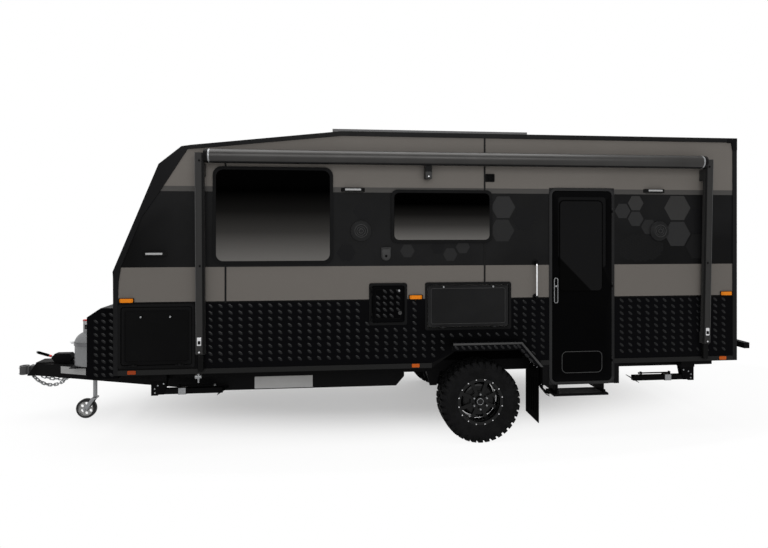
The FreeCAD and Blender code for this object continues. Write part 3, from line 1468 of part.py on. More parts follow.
def make_hatch(name, opening, side, swing, thick, latches):
    """A framed hatch in a side wall with a pressed panel and round latches.

    Swing is the edge that its hinges are on, low or front. Latches gives their places along the leaf
    as shares, and how far they lie below its top.
    """
    wide, proud = s.hatch_frame_wide, s.hatch_frame_proud
    ring = frame_ring(f"{name}_ring", opening, wide, s.hatch_corner,
                      side_span(side, s.body_half - thick, s.body_half + proud))
    leaf_x = inset(opening[0], wide + s.swing_gap)
    leaf_z = inset(opening[1], wide + s.swing_gap)
    leaf_out = s.body_half + s.hatch_proud
    leaf = cut(f"{name}_leaf",
               pad(f"{name}_sheet", "side", [rounded(leaf_x, leaf_z, s.hatch_corner - s.swing_gap)],
                   side_span(side, leaf_out - thick, leaf_out)),
               [pad(f"{name}_recess", "side",
                    [rounded(inset(leaf_x, s.panel_margin), inset(leaf_z, s.panel_margin), s.hatch_corner)],
                    side_span(side, leaf_out - s.panel_deep, leaf_out + s.overrun))])
    axis_out = s.body_half + proud + s.hinge_radius + s.hinge_gap
    y = side * axis_out
    to_frame = side_span(side, s.body_half + proud, axis_out)
    to_leaf = side_span(side, leaf_out, axis_out)
    latch_span = side_span(side, leaf_out - s.panel_deep, leaf_out + s.latch_out)
    shares, drop = latches
    fixed, moving = [], [leaf]
    for number, share in enumerate(shares):
        spot = (leaf_x[0] + (leaf_x[1] - leaf_x[0]) * share, latch_span[0], leaf_z[1] - drop)
        moving.append(rod(f"{name}_latch_{number}", "y", spot, s.latch_radius, latch_span[1] - latch_span[0]))
    if swing == "low":
        z = opening[1][0] + wide
        for number, share in enumerate(HINGE_PLACES_SHARES):
            x = opening[0][0] + (opening[0][1] - opening[0][0]) * share
            bridge = (to_frame, (z - s.hinge_radius, z))
            arm = (to_leaf, (z + s.hinge_pin, leaf_z[0] + s.hinge_radius))
            pins, knuckle = hinge(name, "x", x, y, z, bridge, arm, number)
            fixed += pins
            moving.append(knuckle)
    else:
        x = opening[0][0] + wide
        for number, share in enumerate(HINGE_PLACES_SHARES):
            z = opening[1][0] + (opening[1][1] - opening[1][0]) * share
            bridge = ((x - s.hinge_radius, x), to_frame)
            arm = ((x + s.hinge_pin, leaf_x[0] + s.hinge_radius), to_leaf)
            pins, knuckle = hinge(name, "z", x, y, z, bridge, arm, number)
            fixed += pins
            moving.append(knuckle)
    return fuse(f"{name}_frame", [ring] + fixed), fuse(name, moving)


def make_entry_door():
    opening = ((behind(s.door_front), behind(s.door_rear)), (s.door_low, s.door_high))
    wide, proud = s.door_frame_wide, s.door_frame_proud
    hole = rounded(inset(opening[0], wide), inset(opening[1], wide), s.door_corner - wide)
    lining = pad("door_lining", "side", [rectangle(*opening), hole], (-s.body_half, -wall_inner))
    ring = pad("door_ring", "side", [rounded(*opening, s.door_corner), hole],
               (-s.body_half - proud, -s.body_half))
    leaf_x = inset(opening[0], wide + s.swing_gap)
    leaf_z = inset(opening[1], wide + s.swing_gap)
    leaf_out = s.body_half + s.door_proud
    glass = (inset(leaf_x, s.door_glass_margin),
             (s.door_glass_low, leaf_z[1] - s.door_glass_margin))
    corner = s.door_corner - wide - s.swing_gap
    leaf = cut("door_leaf",
               pad("door_sheet", "side",
                   [rounded(leaf_x, leaf_z, corner), rounded(*glass, s.door_glass_corner)],
                   (-leaf_out, -leaf_out + s.door_thick)),
               [pad("door_recess", "side",
                    [rounded(inset(leaf_x, s.door_panel_side), (s.door_panel_low, s.door_panel_high),
                             s.door_panel_corner)],
                    (-leaf_out - s.overrun, -leaf_out + s.panel_deep))])
    glazing = pad("entry_door_glazing", "side", [rounded(*glass, s.door_glass_corner)],
                  (-leaf_out + s.door_glass_thick, -leaf_out + 2 * s.door_glass_thick))
    lock_x = (leaf_x[0] + s.swing_gap, leaf_x[0] + s.swing_gap + s.door_lock_wide)
    lock = pad("door_lock", "side",
               [rounded(lock_x, centred(s.door_lock_high, s.door_lock_tall), s.door_lock_wide / 3)],
               (-leaf_out - s.door_lock_thick, -leaf_out))
    axis_out = leaf_out + s.hinge_radius
    x = opening[0][1] - wide
    fixed, moving = [], [leaf, lock]
    for number, share in enumerate(DOOR_HINGE_PLACES_SHARES):
        z = opening[1][0] + (opening[1][1] - opening[1][0]) * share
        bridge = ((x, x + s.hinge_radius), (-axis_out, -s.body_half - proud))
        arm = ((leaf_x[1] - s.hinge_radius, x), (-axis_out, -leaf_out))
        pins, knuckle = hinge("door", "z", x, -axis_out, z, bridge, arm, number)
        fixed += pins
        moving.append(knuckle)
    return fuse("door_frame", [lining, ring] + fixed), fuse("entry_door", moving), glazing


# Windows, mouldings and trims


def make_windows():
    frames, panes = [], []
    for side, word in SIDES:
        for key, (across, up, corner) in WINDOWS.items():
            wide = s.window_frame_wide
            hole = (inset(across, wide), inset(up, wide), corner - wide / 2)
            frames.append(pad(f"window_frame_{key}_{word}", "side",
                              [rounded(across, up, corner), rounded(*hole)],
                              side_span(side, s.body_half, s.body_half + s.window_frame_proud)))
            out = s.body_half + s.pane_proud
            panes.append(pad(f"window_pane_{key}_{word}", "side", [rounded(*hole)],
                             side_span(side, out - s.pane_thick, out)))
    return group("window_frames", frames), group("window_panes", panes)


def make_mouldings():
    """The mouldings along the nose's edges and down the four corners."""
    pieces = []
    for side, word in SIDES:
        wide = s.mould_corner_wide
        chin = (ahead(s.body_front), s.chin_high - wide * 2)
        band = [(ahead(s.body_front), s.skirt_low), chin, (ahead(s.chin_ahead), s.chin_high),
                (ahead(s.brow_ahead), s.brow_high), (ahead(s.crown_ahead), s.crown_high),
                (ahead(s.slope_ahead), s.slope_high), (ahead(s.mould_top_ahead), s.mould_top_high),
                (ahead(s.mould_up_ahead), s.mould_up_high), (ahead(s.mould_mid_ahead), s.mould_mid_high),
                (ahead(s.mould_low_ahead), s.mould_low_high),
                (ahead(s.body_front) + wide, s.chin_high - wide * 2),
                (ahead(s.boot_front) - s.seat_gap, s.boot_high),
                (ahead(s.boot_front) - s.seat_gap, s.skirt_low)]
        span = side_span(side, s.body_half, s.body_half + s.mould_proud)
        pieces.append(pad(f"nose_moulding_{word}", "side", [band], span))
        rear = (behind(s.body_rear) - wide, behind(s.body_rear))
        pieces.append(block(f"rear_moulding_{word}", rear, span, (s.skirt_low, roof_high - s.roof_trim_high)))
    return group("mouldings", pieces)


def make_trims():
    """Strips along the roof's edges and the skirts."""
    pieces = []
    for side, word in SIDES:
        drop = s.roof_trim_high
        roof = [(ahead(s.slope_ahead), s.slope_high), (ahead(s.ridge_ahead), roof_high),
                (behind(s.body_rear), roof_high), (behind(s.body_rear), roof_high - drop),
                (ahead(s.ridge_ahead), roof_high - drop), (ahead(s.mould_top_ahead), s.mould_top_high)]
        pieces.append(pad(f"roof_trim_{word}", "side", [roof],
                          side_span(side, s.body_half, s.body_half + s.roof_trim_proud)))
        high = (s.skirt_low, s.skirt_low + s.skirt_trim_high)
        span = side_span(side, s.body_half, s.body_half + s.skirt_trim_proud)
        stops = [(ahead(s.boot_front), ahead(s.arch_front_low))]
        end = behind(s.body_rear) - s.mould_corner_wide
        if word == "left":
            stops += [(behind(flare_tail()), behind(s.door_front)), (behind(s.door_rear), end)]
        else:
            stops += [(behind(flare_tail()), end)]
        for number, long in enumerate(stops):
            pieces.append(block(f"skirt_trim_{word}_{number}", long, span, high))
        pieces += make_joint_trims(side, word)
    return group("trims", pieces)


def make_joint_trims(side, word):
    """Upright strips over the joints of the wall's sheets, above and below each window."""
    pieces = []
    span = side_span(side, s.body_half, s.body_half + s.joint_trim_proud)
    foot = s.table_high if word == "left" else s.checker_high
    for key, x, low, top in (("wide", ahead(s.joint_front), s.checker_high, s.mould_top_high),
                             ("slim", behind(s.joint_middle), foot, roof_high - s.roof_trim_high)):
        sill, head = WINDOWS[key][1]
        for number, up in enumerate(((low, sill), (head, top))):
            pieces.append(block(f"joint_trim_{key}_{word}_{number}", centred(x, s.joint_trim_wide), span, up))
    return pieces


def flare_tail():
    """How far behind the axle the flare's foot ends."""
    return s.arch_rear_low + s.flare_rear_out


def make_flares():
    """Folded sheet over each wheel: a sloping top, an upright face and a rear run down to the skirt."""
    flares = []
    for side, word in SIDES:
        thick = s.flare_sheet
        top_rear = s.arch_rear_top
        skin = [(ahead(s.flare_front), s.flare_top), (behind(top_rear), s.flare_top),
                (behind(flare_tail()), s.skirt_low), (behind(flare_tail()) - thick * 2, s.skirt_low),
                (behind(top_rear) - thick, s.flare_top - thick), (ahead(s.flare_front), s.flare_top - thick)]
        top = pad(f"flare_top_{word}", "side", [skin],
                  side_span(side, s.body_half, s.body_half + s.flare_out))
        face = [(ahead(s.flare_front), s.flare_top), (behind(top_rear), s.flare_top),
                (behind(flare_tail()), s.skirt_low), (behind(s.arch_rear_low) - thick, s.skirt_low),
                (behind(top_rear) - s.flare_drop, s.flare_top - s.flare_face - thick),
                (ahead(s.flare_front), s.flare_top - s.flare_face - thick)]
        front = pad(f"flare_face_{word}", "side", [face],
                    side_span(side, s.body_half + s.flare_out - thick, s.body_half + s.flare_out))
        flares.append(fuse(f"flare_{word}", [top, front]))
    return group("flares", flares)


def make_mud_flaps():
    flaps = []
    for side, word in SIDES:
        outline = [(side * s.flap_inner, s.rail_low), (side * s.flap_inner, s.flap_low + s.flap_slant),
                   (side * s.flap_outer, s.flap_low), (side * s.flap_outer, s.floor_low),
                   (side * s.rail_half, s.floor_low), (side * s.rail_half, s.rail_low)]
        flaps.append(pad(f"mud_flap_{word}", "front", [outline],
                         (behind(s.flap_behind), behind(s.flap_behind) + s.flap_thick)))
    return group("mud_flaps", flaps)


def make_checker():
    """Tread plate over the lower side walls, the front wall's foot and the rear wall's foot."""
    pieces = []
    low = s.skirt_low + s.skirt_trim_high
    for side, word in SIDES:
        long_end = behind(s.body_rear) - s.mould_corner_wide
        flare_low = s.flare_top
        outline = [(ahead(s.checker_front), low), (ahead(s.checker_front), s.checker_high)]
        if word == "left":
            outline += [(ahead(s.service_front), s.checker_high), (ahead(s.service_front), s.service_low),
                        (ahead(s.service_rear), s.service_low), (ahead(s.service_rear), s.checker_high),
                        (ahead(s.table_front), s.checker_high), (ahead(s.table_front), s.table_low),
                        (behind(s.table_rear), s.table_low), (behind(s.table_rear), s.checker_high),
                        (behind(s.door_front), s.checker_high), (behind(s.door_front), low)]
        else:
            outline += [(long_end, s.checker_high), (long_end, low)]
        slope = (s.flare_top - s.skirt_low) / (flare_tail() - s.arch_rear_top)
        tail_at_low = flare_tail() - s.skirt_trim_high / slope
        outline += [(behind(tail_at_low), low), (behind(s.arch_rear_top), flare_low),
                    (ahead(s.flare_front), flare_low), (ahead(s.flare_front), s.arch_top),
                    (ahead(s.arch_front_top), s.arch_top), (ahead(s.arch_front_low), low)]
        span = side_span(side, s.body_half, s.body_half + s.checker_sheet)
        pieces.append(pad(f"checker_{word}", "side", [outline], span))
        if word == "left":
            pieces.append(block("checker_left_rear", (behind(s.door_rear), long_end), span,
                                (low, s.checker_high)))
    return group("checker_panels", pieces)


# Roof fittings and awning


def make_solar():
    """Two framed panels on low feet along the roof's middle."""
    panels = []
    low = roof_high + s.solar_foot
    middle = ahead((s.solar_front - s.solar_rear) / 2)
    for side, word in SIDES:
        span = side_span(side, s.solar_frame, s.solar_half)
        long = (ahead(s.solar_front), behind(s.solar_rear))
        panel = block(f"solar_panel_{word}", long, span, (low, low + s.solar_thick))
        ends = inset(long, s.solar_frame * 2)
        feet = [block(f"solar_foot_{word}_{number}", centred(x, s.solar_frame * 2), span, (roof_high, low))
                for number, x in enumerate((ends[0], middle, ends[1]))]
        panels.append(fuse(f"solar_{word}", [panel] + feet))
    return group("solar_panels", panels)


def make_roof_units():
    """The air conditioner's tapered shroud and the roof hatch's dome."""
    top = roof_high + s.conditioner_high
    long = centred(behind(s.conditioner_behind), s.conditioner_long)
    half = s.conditioner_wide / 2
    shroud = pad("conditioner_shroud", "side",
                 [[(long[0], roof_high), (long[1], roof_high), (long[1] - s.conditioner_taper / 2, top),
                   (long[0] + s.conditioner_taper * 2, top),
                   (long[0], roof_high + s.conditioner_taper / 2)]], (-half, half))
    slots = []
    slot_low = roof_high + s.conditioner_slot_low
    count = int(s.conditioner_long.value / 2 / s.conditioner_slot_pitch.value)
    for number in range(count):
        x = centred(behind(s.conditioner_behind) + s.conditioner_slot_pitch * number, s.conditioner_slot)
        for side, word in SIDES:
            slots.append(block(f"conditioner_slot_{word}_{number}", x,
                               side_span(side, half - s.conditioner_slot, half + s.overrun),
                               (slot_low, slot_low + s.conditioner_slot_tall)))
    shroud = cut("conditioner", shroud, slots)
    x = centred(behind(s.hatch_behind), s.hatch_long)
    dome = pad("roof_hatch_dome", "side",
               [[(x[0], roof_high), (x[1], roof_high), (x[1] - s.hatch_high / 2, roof_high + s.hatch_high),
                 (x[0] + s.hatch_high / 2, roof_high + s.hatch_high)]], centred(ORIGIN, s.hatch_long))
    return group("roof_units", [shroud, dome])


def make_awning():
    """The roller along the roof's edge between the heads of its two arms, and a cradle."""
    y = -s.body_half - s.awning_out
    arm_places = (ahead(s.awning_arm_front), behind(s.body_rear - s.awning_arm_short))
    arm_top = s.awning_high + s.awning_radius / 2
    long = (arm_places[0] + s.awning_arm_wide / 2, arm_places[1] - s.awning_arm_wide / 2)
    roll = rod("awning_roll", "x", (long[0] + s.awning_cap_long, y, s.awning_high), s.awning_radius,
               long[1] - long[0] - 2 * s.awning_cap_long)
    caps = [rod(f"awning_cap_{number}", "x", (x, y, s.awning_high), s.awning_cap, s.awning_cap_long)
            for number, x in enumerate((long[0], long[1] - s.awning_cap_long))]
    roller = fuse("awning_roller", [roll] + caps)
    arms = []
    face = -s.body_half
    for number, x in enumerate(arm_places):
        foot, head = face - s.awning_arm_foot, face - s.awning_arm_head
        thick = s.awning_arm_thick
        outline = [(foot, s.awning_arm_low), (foot - thick, s.awning_arm_low), (head - thick, arm_top),
                   (head, arm_top)]
        arm = pad(f"awning_arm_{number}", "front", [outline], centred(x, s.awning_arm_wide))
        foot_plate = block(f"awning_foot_{number}", centred(x, s.awning_arm_wide),
                           (foot, face - s.checker_sheet),
                           (s.awning_arm_low, s.awning_arm_low + s.awning_foot_high))
        head_plate = block(f"awning_head_{number}", centred(x, s.awning_arm_wide), (head, face),
                           (s.awning_high - s.awning_cap - s.awning_foot_high, s.awning_high - s.awning_cap))
        arms.append(fuse(f"awning_arm_set_{number}", [arm, foot_plate, head_plate]))
    cradle_x = centred(ahead(s.awning_cradle_ahead), s.awning_cradle_wide)
    cradle = block("awning_cradle", cradle_x, (y, face), (s.awning_cradle_low,
                                                         s.awning_high - s.awning_radius))
    return roller, group("awning_arms", arms + [cradle])


# Lamps and fittings


def side_box(name, side, x, z, out):
    return block(name, x, side_span(side, s.body_half, s.body_half + out), z)


def side_lamp(name, side, x, z, out):
    """A lamp housing whose two ends slant in as far as it stands out."""
    wall, face = side * s.body_half, side * (s.body_half + out)
    return pad(name, "top", [[(x[0], wall), (x[1], wall), (x[1] - out, face), (x[0] + out, face)]], z)


def make_lamps():
    white, amber, red = [], [], []
    for side, word in SIDES:
        for number, (x, z) in enumerate(((ahead(s.front_lamp_ahead), s.front_lamp_high),
                                         (behind(s.rear_lamp_behind), s.rear_lamp_high),
                                         (ahead(s.nose_lamp_ahead), s.nose_lamp_high))):
            white.append(side_lamp(f"bright_lamp_{word}_{number}", side, centred(x, s.bright_lamp_wide),
                                   centred(z, s.bright_lamp_high), s.bright_lamp_out))
        for number, x in enumerate((ahead(s.marker_front), ahead(s.marker_middle),
                                    behind(s.body_rear - s.marker_short))):
            amber.append(side_lamp(f"marker_{word}_{number}", side, centred(x, s.side_marker_wide),
                                   centred(s.upper_marker_high, s.side_marker_high), s.side_marker_out))
    for side, word in SIDES:
        y = side_span(side, s.tail_side, s.tail_side + s.tail_wide)
        red.append(block(f"tail_lamp_{word}", (behind(s.body_rear), behind(s.body_rear) + s.tail_out), y,
                         (s.tail_low, s.tail_low + s.tail_high)))
    return group("lamps_white", white), group("lamps_amber", amber), group("lamps_red", red)


def make_side_fittings():
    """Round speakers, the power inlet, the small vent and the grab handle beside the door."""
    pieces = []
    side = -1
    for number, x in enumerate((ahead(s.speaker_front), behind(s.speaker_rear))):
        pieces.append(cone(f"speaker_{number}", "y", (x, -s.body_half - s.speaker_out, s.speaker_high),
                           s.speaker_radius * SPEAKER_FRONT_SHARE, s.speaker_radius, s.speaker_out))
    inlet_x = centred(ahead(s.inlet_ahead), s.inlet_wide)
    inlet_z = centred(s.inlet_high, s.inlet_tall)
    pieces.append(pad("inlet", "side",
                      [[(inlet_x[0], inlet_z[0]), (inlet_x[1], inlet_z[0]),
                        (inlet_x[1], inlet_z[1] - s.inlet_out, s.inlet_bend),
                        (inlet_x[0], inlet_z[1] - s.inlet_out)]],
                      side_span(side, s.body_half, s.body_half + s.inlet_out)))
    vent_x = centred(behind(s.vent_behind), s.vent_wide)
    vent_z = centred(s.vent_high, s.vent_tall)
    hollow = block("small_vent_hollow", inset(vent_x, s.vent_out), side_span(side, s.body_half
                   + s.vent_out / 2, s.body_half + s.overrun), inset(vent_z, s.vent_out))
    pieces.append(cut("small_vent", side_box("small_vent_box", side, vent_x, vent_z, s.vent_out), [hollow]))
    x, y = behind(s.grab_behind), -s.body_half - s.grab_out
    bar = rod("grab_bar", "z", (x, y, s.grab_low), s.grab_bar, s.grab_high - s.grab_low)
    feet = [block(f"grab_foot_{number}", centred(x, s.grab_foot), (y, -s.body_half),
                  centred(z, s.grab_foot * 2))
            for number, z in enumerate((s.grab_low + s.grab_foot, s.grab_high - s.grab_foot))]
    pieces.append(fuse("grab_handle", [bar] + feet))
    seats = ((s.fridge_vent_low, s.body_half + s.checker_sheet), (s.fridge_vent_up, s.body_half))
    for number, (z, seat) in enumerate(seats):
        pieces.append(make_grille(f"fridge_vent_{number}", z, seat))
    return group("side_fittings", pieces)


def make_grille(name, low, seat):
    """A vent plate with slots between its slats."""
    x = centred(behind(s.fridge_vent_behind), s.fridge_vent_wide)
    face = s.body_half + s.fridge_vent_out
    count = int((s.fridge_vent_tall.value - 2 * s.louvre_rim.value) / s.louvre_pitch.value)
    slots = []
    for number in range(count):
        z = low + s.louvre_rim + s.louvre_pitch * number
        slots.append(block(f"{name}_slot_{number}", inset(x, s.louvre_rim),
                           (face - s.louvre_deep, face + s.overrun), (z, z + s.louvre_slot)))
    return cut(name, block(f"{name}_plate", x, (seat, face), (low, low + s.fridge_vent_tall)), slots)


# Steadies, bumper and tanks


def steady_places():
    """Each steady's name, the x place of its pivot, its side, and the way its leg lies."""
    for end, x, way in (("front", ahead(s.steady_front), 1),
                        ("rear", behind(s.body_rear - s.steady_short), -1)):
        for side, word in SIDES:
            yield f"steady_{end}_{word}", x, side, way


def make_steadies():
    """Legs that lie level below the chassis, and the brackets that hold their pins."""
    brackets, legs = [], []
    for name, x, side, way in steady_places():
        legs.append(make_steady_leg(name, x, side * s.steady_side, way))
        brackets += make_steady_bracket(name, x, side, way)
    return brackets, legs


def make_steady_leg(name, x, y, way):
    """A square tube with a sleeve, a screw along its top and a tilted sole at its end."""
    z, half, deep = s.steady_high, s.steady_wide / 2, s.steady_deep / 2
    foot = x + way * s.steady_long
    beam = block(f"{name}_beam", ordered(x, foot), centred(y, s.steady_wide), (z - deep, z + deep))
    eye = rod(f"{name}_eye", "y", (x, y - half, z), s.steady_eye, s.steady_wide)
    bore = rod(f"{name}_bore", "y", (x, y - half, z), s.steady_pin + s.seat_gap, s.steady_wide)
    near, far = x + way * s.steady_screw_near, x + way * s.steady_screw_far
    sleeve = block(f"{name}_sleeve", ordered(near, near + way * s.steady_sleeve_long),
                   centred(y, s.steady_wide + 2 * s.steady_sleeve),
                   (z - deep - s.steady_sleeve, z + deep + s.steady_sleeve))
    screw_x = ordered(near, far)
    high = z + deep + s.steady_screw_high
    screw = rod(f"{name}_screw", "x", (screw_x[0], y, high), s.steady_screw, screw_x[1] - screw_x[0])
    lugs = [block(f"{name}_lug_{number}", ordered(place_x, place_x + way * s.steady_screw * 2),
                  centred(y, s.steady_screw * 4), (z + deep, high + s.steady_screw * 2))
            for number, place_x in enumerate((near, far))]
    tilt = math.radians(s.steady_pad_tilt.value)
    reach_x, reach_z = s.steady_pad_long / 2 * math.cos(tilt), s.steady_pad_long / 2 * math.sin(tilt)
    thick = s.steady_pad_thick
    low = z - thick
    outline = [(foot - way * reach_x, low - reach_z), (foot + way * reach_x, low + reach_z),
               (foot + way * reach_x, low + reach_z - thick), (foot - way * reach_x, low - reach_z - thick)]
    sole = pad(f"{name}_pad", "side", [outline], centred(y, s.steady_pad_wide))
    return cut(name, fuse(f"{name}_solid", [beam, eye, sleeve, screw, sole] + lugs), [bore])


def make_steady_bracket(name, x, side, way):
    """Two cheeks with a foot plate ahead of the leg, the pin through them and the outrigger above."""
    y, z = side * s.steady_side, s.steady_high
    half, eye = s.steady_wide / 2, s.steady_eye
    cheek_in = half + s.steady_clear
    low = z - eye
    front = x - way * (eye + s.swing_gap + s.steady_foot_long)
    pieces = []
    for number, edge in enumerate((-1, 1)):
        span = ordered(y + edge * cheek_in, y + edge * (cheek_in + s.steady_cheek))
        cheek = [(front, s.rail_low), (front, low), (x + way * eye, low), (x + way * eye * 2, s.rail_low)]
        pieces.append(pad(f"{name}_cheek_{number}", "side", [cheek], span))
    wide = 2 * (cheek_in + s.steady_cheek)
    pieces.append(block(f"{name}_foot", ordered(front, front + way * s.steady_foot_long),
                        centred(y, wide), (low - s.steady_foot_thick, low)))
    pieces.append(rod(f"{name}_pin", "y", (x, y - wide / 2 - s.steady_cheek, z), s.steady_pin,
                      wide + s.steady_cheek * 2))
    pieces.append(block(f"{name}_outrigger", ordered(front, x + way * eye * 2),
                        side_span(side, s.rail_half, s.steady_side + half + s.steady_cheek * 3),
                        (s.rail_low, s.floor_low)))
    return pieces


def make_bumper():
    x = (behind(bumper_reach) - s.bumper_deep, behind(bumper_reach))
    top = s.bumper_low + s.bumper_tall
    bar = block("bumper_bar", x, (-s.bumper_half, s.bumper_half), (s.bumper_low, top))
    arms = []
    for side, word in SIDES:
        outline = [(behind(rail_back), s.bumper_arm_low),
                   (x[0], s.bumper_arm_low), (x[1], s.bumper_low), (x[0], s.bumper_low),
                   (behind(s.body_rear) + s.bumper_air, s.bumper_arm_low + s.bumper_arm_tall),
                   (behind(rail_back), s.bumper_arm_low + s.bumper_arm_tall)]
        inner = s.rail_half - s.rail_wide
        arms.append(pad(f"bumper_arm_{word}", "side", [outline],
                        side_span(side, inner, inner + s.bumper_arm_wide)))
    return fuse("rear_bumper", [bar] + arms)


def make_tanks():
    tanks = []
    half = s.tank_wide / 2
    gap = s.tank_front - s.tank_rear
    for number, front in enumerate((s.tank_front, s.tank_front - gap - s.cross_wide * 2)):
        x = (ahead(front), ahead(front) + gap - s.cross_wide * 2)
        tanks.append(block(f"water_tank_{number}", x, (-half, half), (s.tank_low, s.rail_low)))
    return group("water_tanks", tanks)


# Assembly


def build():
    """Makes every sub-part and gives back the finished objects by node name."""
    rails, crosses = make_chassis()
    brackets, legs = make_steadies()
    hangers = make_hangers()
    arms, springs = make_suspension()
    box, lid = make_front_box()
    door_frame, door, glazing = make_entry_door()
    boot_frames, boots = [], []
    for side, word in SIDES:
        frame, leaf = make_hatch(f"boot_door_{word}", BOOT, side, "low", s.hatch_thick,
                                 (BOOT_LATCH_SHARES, s.boot_latch_drop))
        boot_frames.append(frame)
        boots.append(leaf)
    table_frame, table = make_hatch("table_hatch", TABLE, -1, "low", s.table_thick,
                                    (TABLE_LATCH_SHARES, s.table_latch_drop))
    service_frame, service = make_hatch("service_hatch", SERVICE, -1, "front", s.hatch_thick,
                                        (SERVICE_LATCH_SHARES, s.service_latch_drop))
    roller, awning_arms = make_awning()
    lid_hinges = make_lid_hinges(box, lid)
    parts = [rails, fuse("chassis_crossmembers", crosses + brackets + [hangers]), make_drawbar(),
             make_drawbar_head(), make_coupling(), make_chains(), make_handbrake(), make_gas(),
             make_entry_well(),
             make_wheel_boxes(), group("hatch_frames", boot_frames + [table_frame, service_frame]),
             door_frame, door, glazing, table, service, arms, springs, roller, awning_arms,
             make_mouldings(), make_trims(), make_checker(), make_flares(), make_mud_flaps(),
             make_solar(), make_roof_units(), make_side_fittings(), make_step(), make_bumper(),
             make_tanks()]
    parts += make_shell() + make_walls() + list(make_windows()) + list(make_lamps())
    parts += make_jockey() + list(lid_hinges) + boots + legs
    for side, word in SIDES:
        parts += make_wheel(side, word)
    return parts


def make_lid_hinges(box, lid):
    """Hinges behind the lid's top edge; the tub keeps the pins and the lid the middle knuckles."""
    back = ahead(s.box_back)
    x = back + s.hinge_gap + s.hinge_radius
    z = s.box_top
    fixed, moving = [box], [lid]
    for number, share in enumerate(HINGE_PLACES_SHARES):
        y = -s.box_half + 2 * s.box_half * share
        third = s.hinge_long / 3
        start = y - s.hinge_long / 2
        fixed.append(rod(f"lid_pin_{number}", "y", (x, start, z), s.hinge_pin, s.hinge_long))
        for word, offset in (("low", ORIGIN), ("high", third * 2)):
            fixed.append(rod(f"lid_knuckle_{word}_{number}", "y", (x, start + offset, z),
                             s.hinge_radius, third))
            along = (start + offset, start + offset + third)
            fixed.append(block(f"lid_strap_{word}_{number}", (back, x), along,
                               (box_seam - s.hinge_long / 2, box_seam)))
            fixed.append(block(f"lid_bridge_{word}_{number}", (back + s.hinge_gap, x), along, (box_seam, z)))
        low = start + third + s.hinge_gap
        length = third - 2 * s.hinge_gap
        knuckle = rod(f"lid_knuckle_{number}", "y", (x, low, z), s.hinge_radius, length)
        arm = block(f"lid_leaf_{number}", (back - s.hinge_long / 3, x), (low, low + length),
                    (z, z + s.hinge_leaf))
        bore = rod(f"lid_bore_{number}", "y", (x, low - s.hinge_gap, z), s.hinge_pin + s.hinge_clear,
                   third)
        moving.append(cut(f"lid_moving_{number}", fuse(f"lid_moving_body_{number}", [knuckle, arm]),
                          [bore]))
    return fuse("front_box", fixed), fuse("front_box_lid", moving)


def check(parts):
    """Stops with a plain message if any object of the document has failed."""
    for obj in doc.Objects:
        if "Invalid" in obj.State or "Error" in obj.State:
            raise RuntimeError(f"{obj.Name} failed: {obj.State}")
    for part in parts:
        if part.Shape.isNull() or not part.Shape.isValid():
            raise RuntimeError(f"{part.Label} has no valid shape")


def export(parts):
    os.makedirs("parts", exist_ok=True)
    for part in parts:
        part.Shape.exportStep(os.path.join("parts", part.Label + ".step"))


parts = build()
doc.recompute()
check(parts)
export(parts)
print(len(parts), "sub-parts")
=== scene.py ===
"""Looks of the travel caravan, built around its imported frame. Everything is in metres.

Travel is towards -X, the side with the entry door faces -Y and +Z is up.
"""
import math

import bmesh
import bpy
from mathutils import Matrix, Vector
from mathutils.bvhtree import BVHTree


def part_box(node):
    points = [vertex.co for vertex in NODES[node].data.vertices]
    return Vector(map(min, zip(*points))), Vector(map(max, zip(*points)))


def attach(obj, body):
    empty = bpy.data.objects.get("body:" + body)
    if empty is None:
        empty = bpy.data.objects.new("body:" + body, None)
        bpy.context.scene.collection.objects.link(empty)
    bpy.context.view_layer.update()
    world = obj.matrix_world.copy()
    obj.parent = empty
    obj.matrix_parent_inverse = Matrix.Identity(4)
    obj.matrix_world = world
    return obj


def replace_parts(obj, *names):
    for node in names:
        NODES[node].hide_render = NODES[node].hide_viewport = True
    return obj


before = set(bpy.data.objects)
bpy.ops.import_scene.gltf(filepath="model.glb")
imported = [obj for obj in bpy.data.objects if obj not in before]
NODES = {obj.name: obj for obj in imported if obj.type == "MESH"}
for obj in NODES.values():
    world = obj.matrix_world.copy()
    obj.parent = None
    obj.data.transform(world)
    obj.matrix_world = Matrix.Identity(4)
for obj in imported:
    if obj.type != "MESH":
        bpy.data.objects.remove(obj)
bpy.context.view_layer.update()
ROOT = "caravan"
SIDES = ((-1, "left"), (1, "right"))

# Camera and stage, in metres and degrees
PHOTO_SIZE = (768, 548)
FOCAL_PIXELS = 560.0
HORIZON_ROW = 231.0
CAMERA_PLACE = (-0.5175, -6.30, 2.00)
CAMERA_YAW = 5.92
SENSOR_WIDE = 36.0
FLOOR_REACH = 60.0
VIEW_DEPTH = 200.0
SHADE_PLACE = (0.2, 0.6)
SHADE_REACH = (4.6, 1.75)
SHADE_LIFT = (0.40, 0.90)
SHADE_RINGS = (0.35, 0.95, 1.35)
WORLD_LEVEL = 0.62

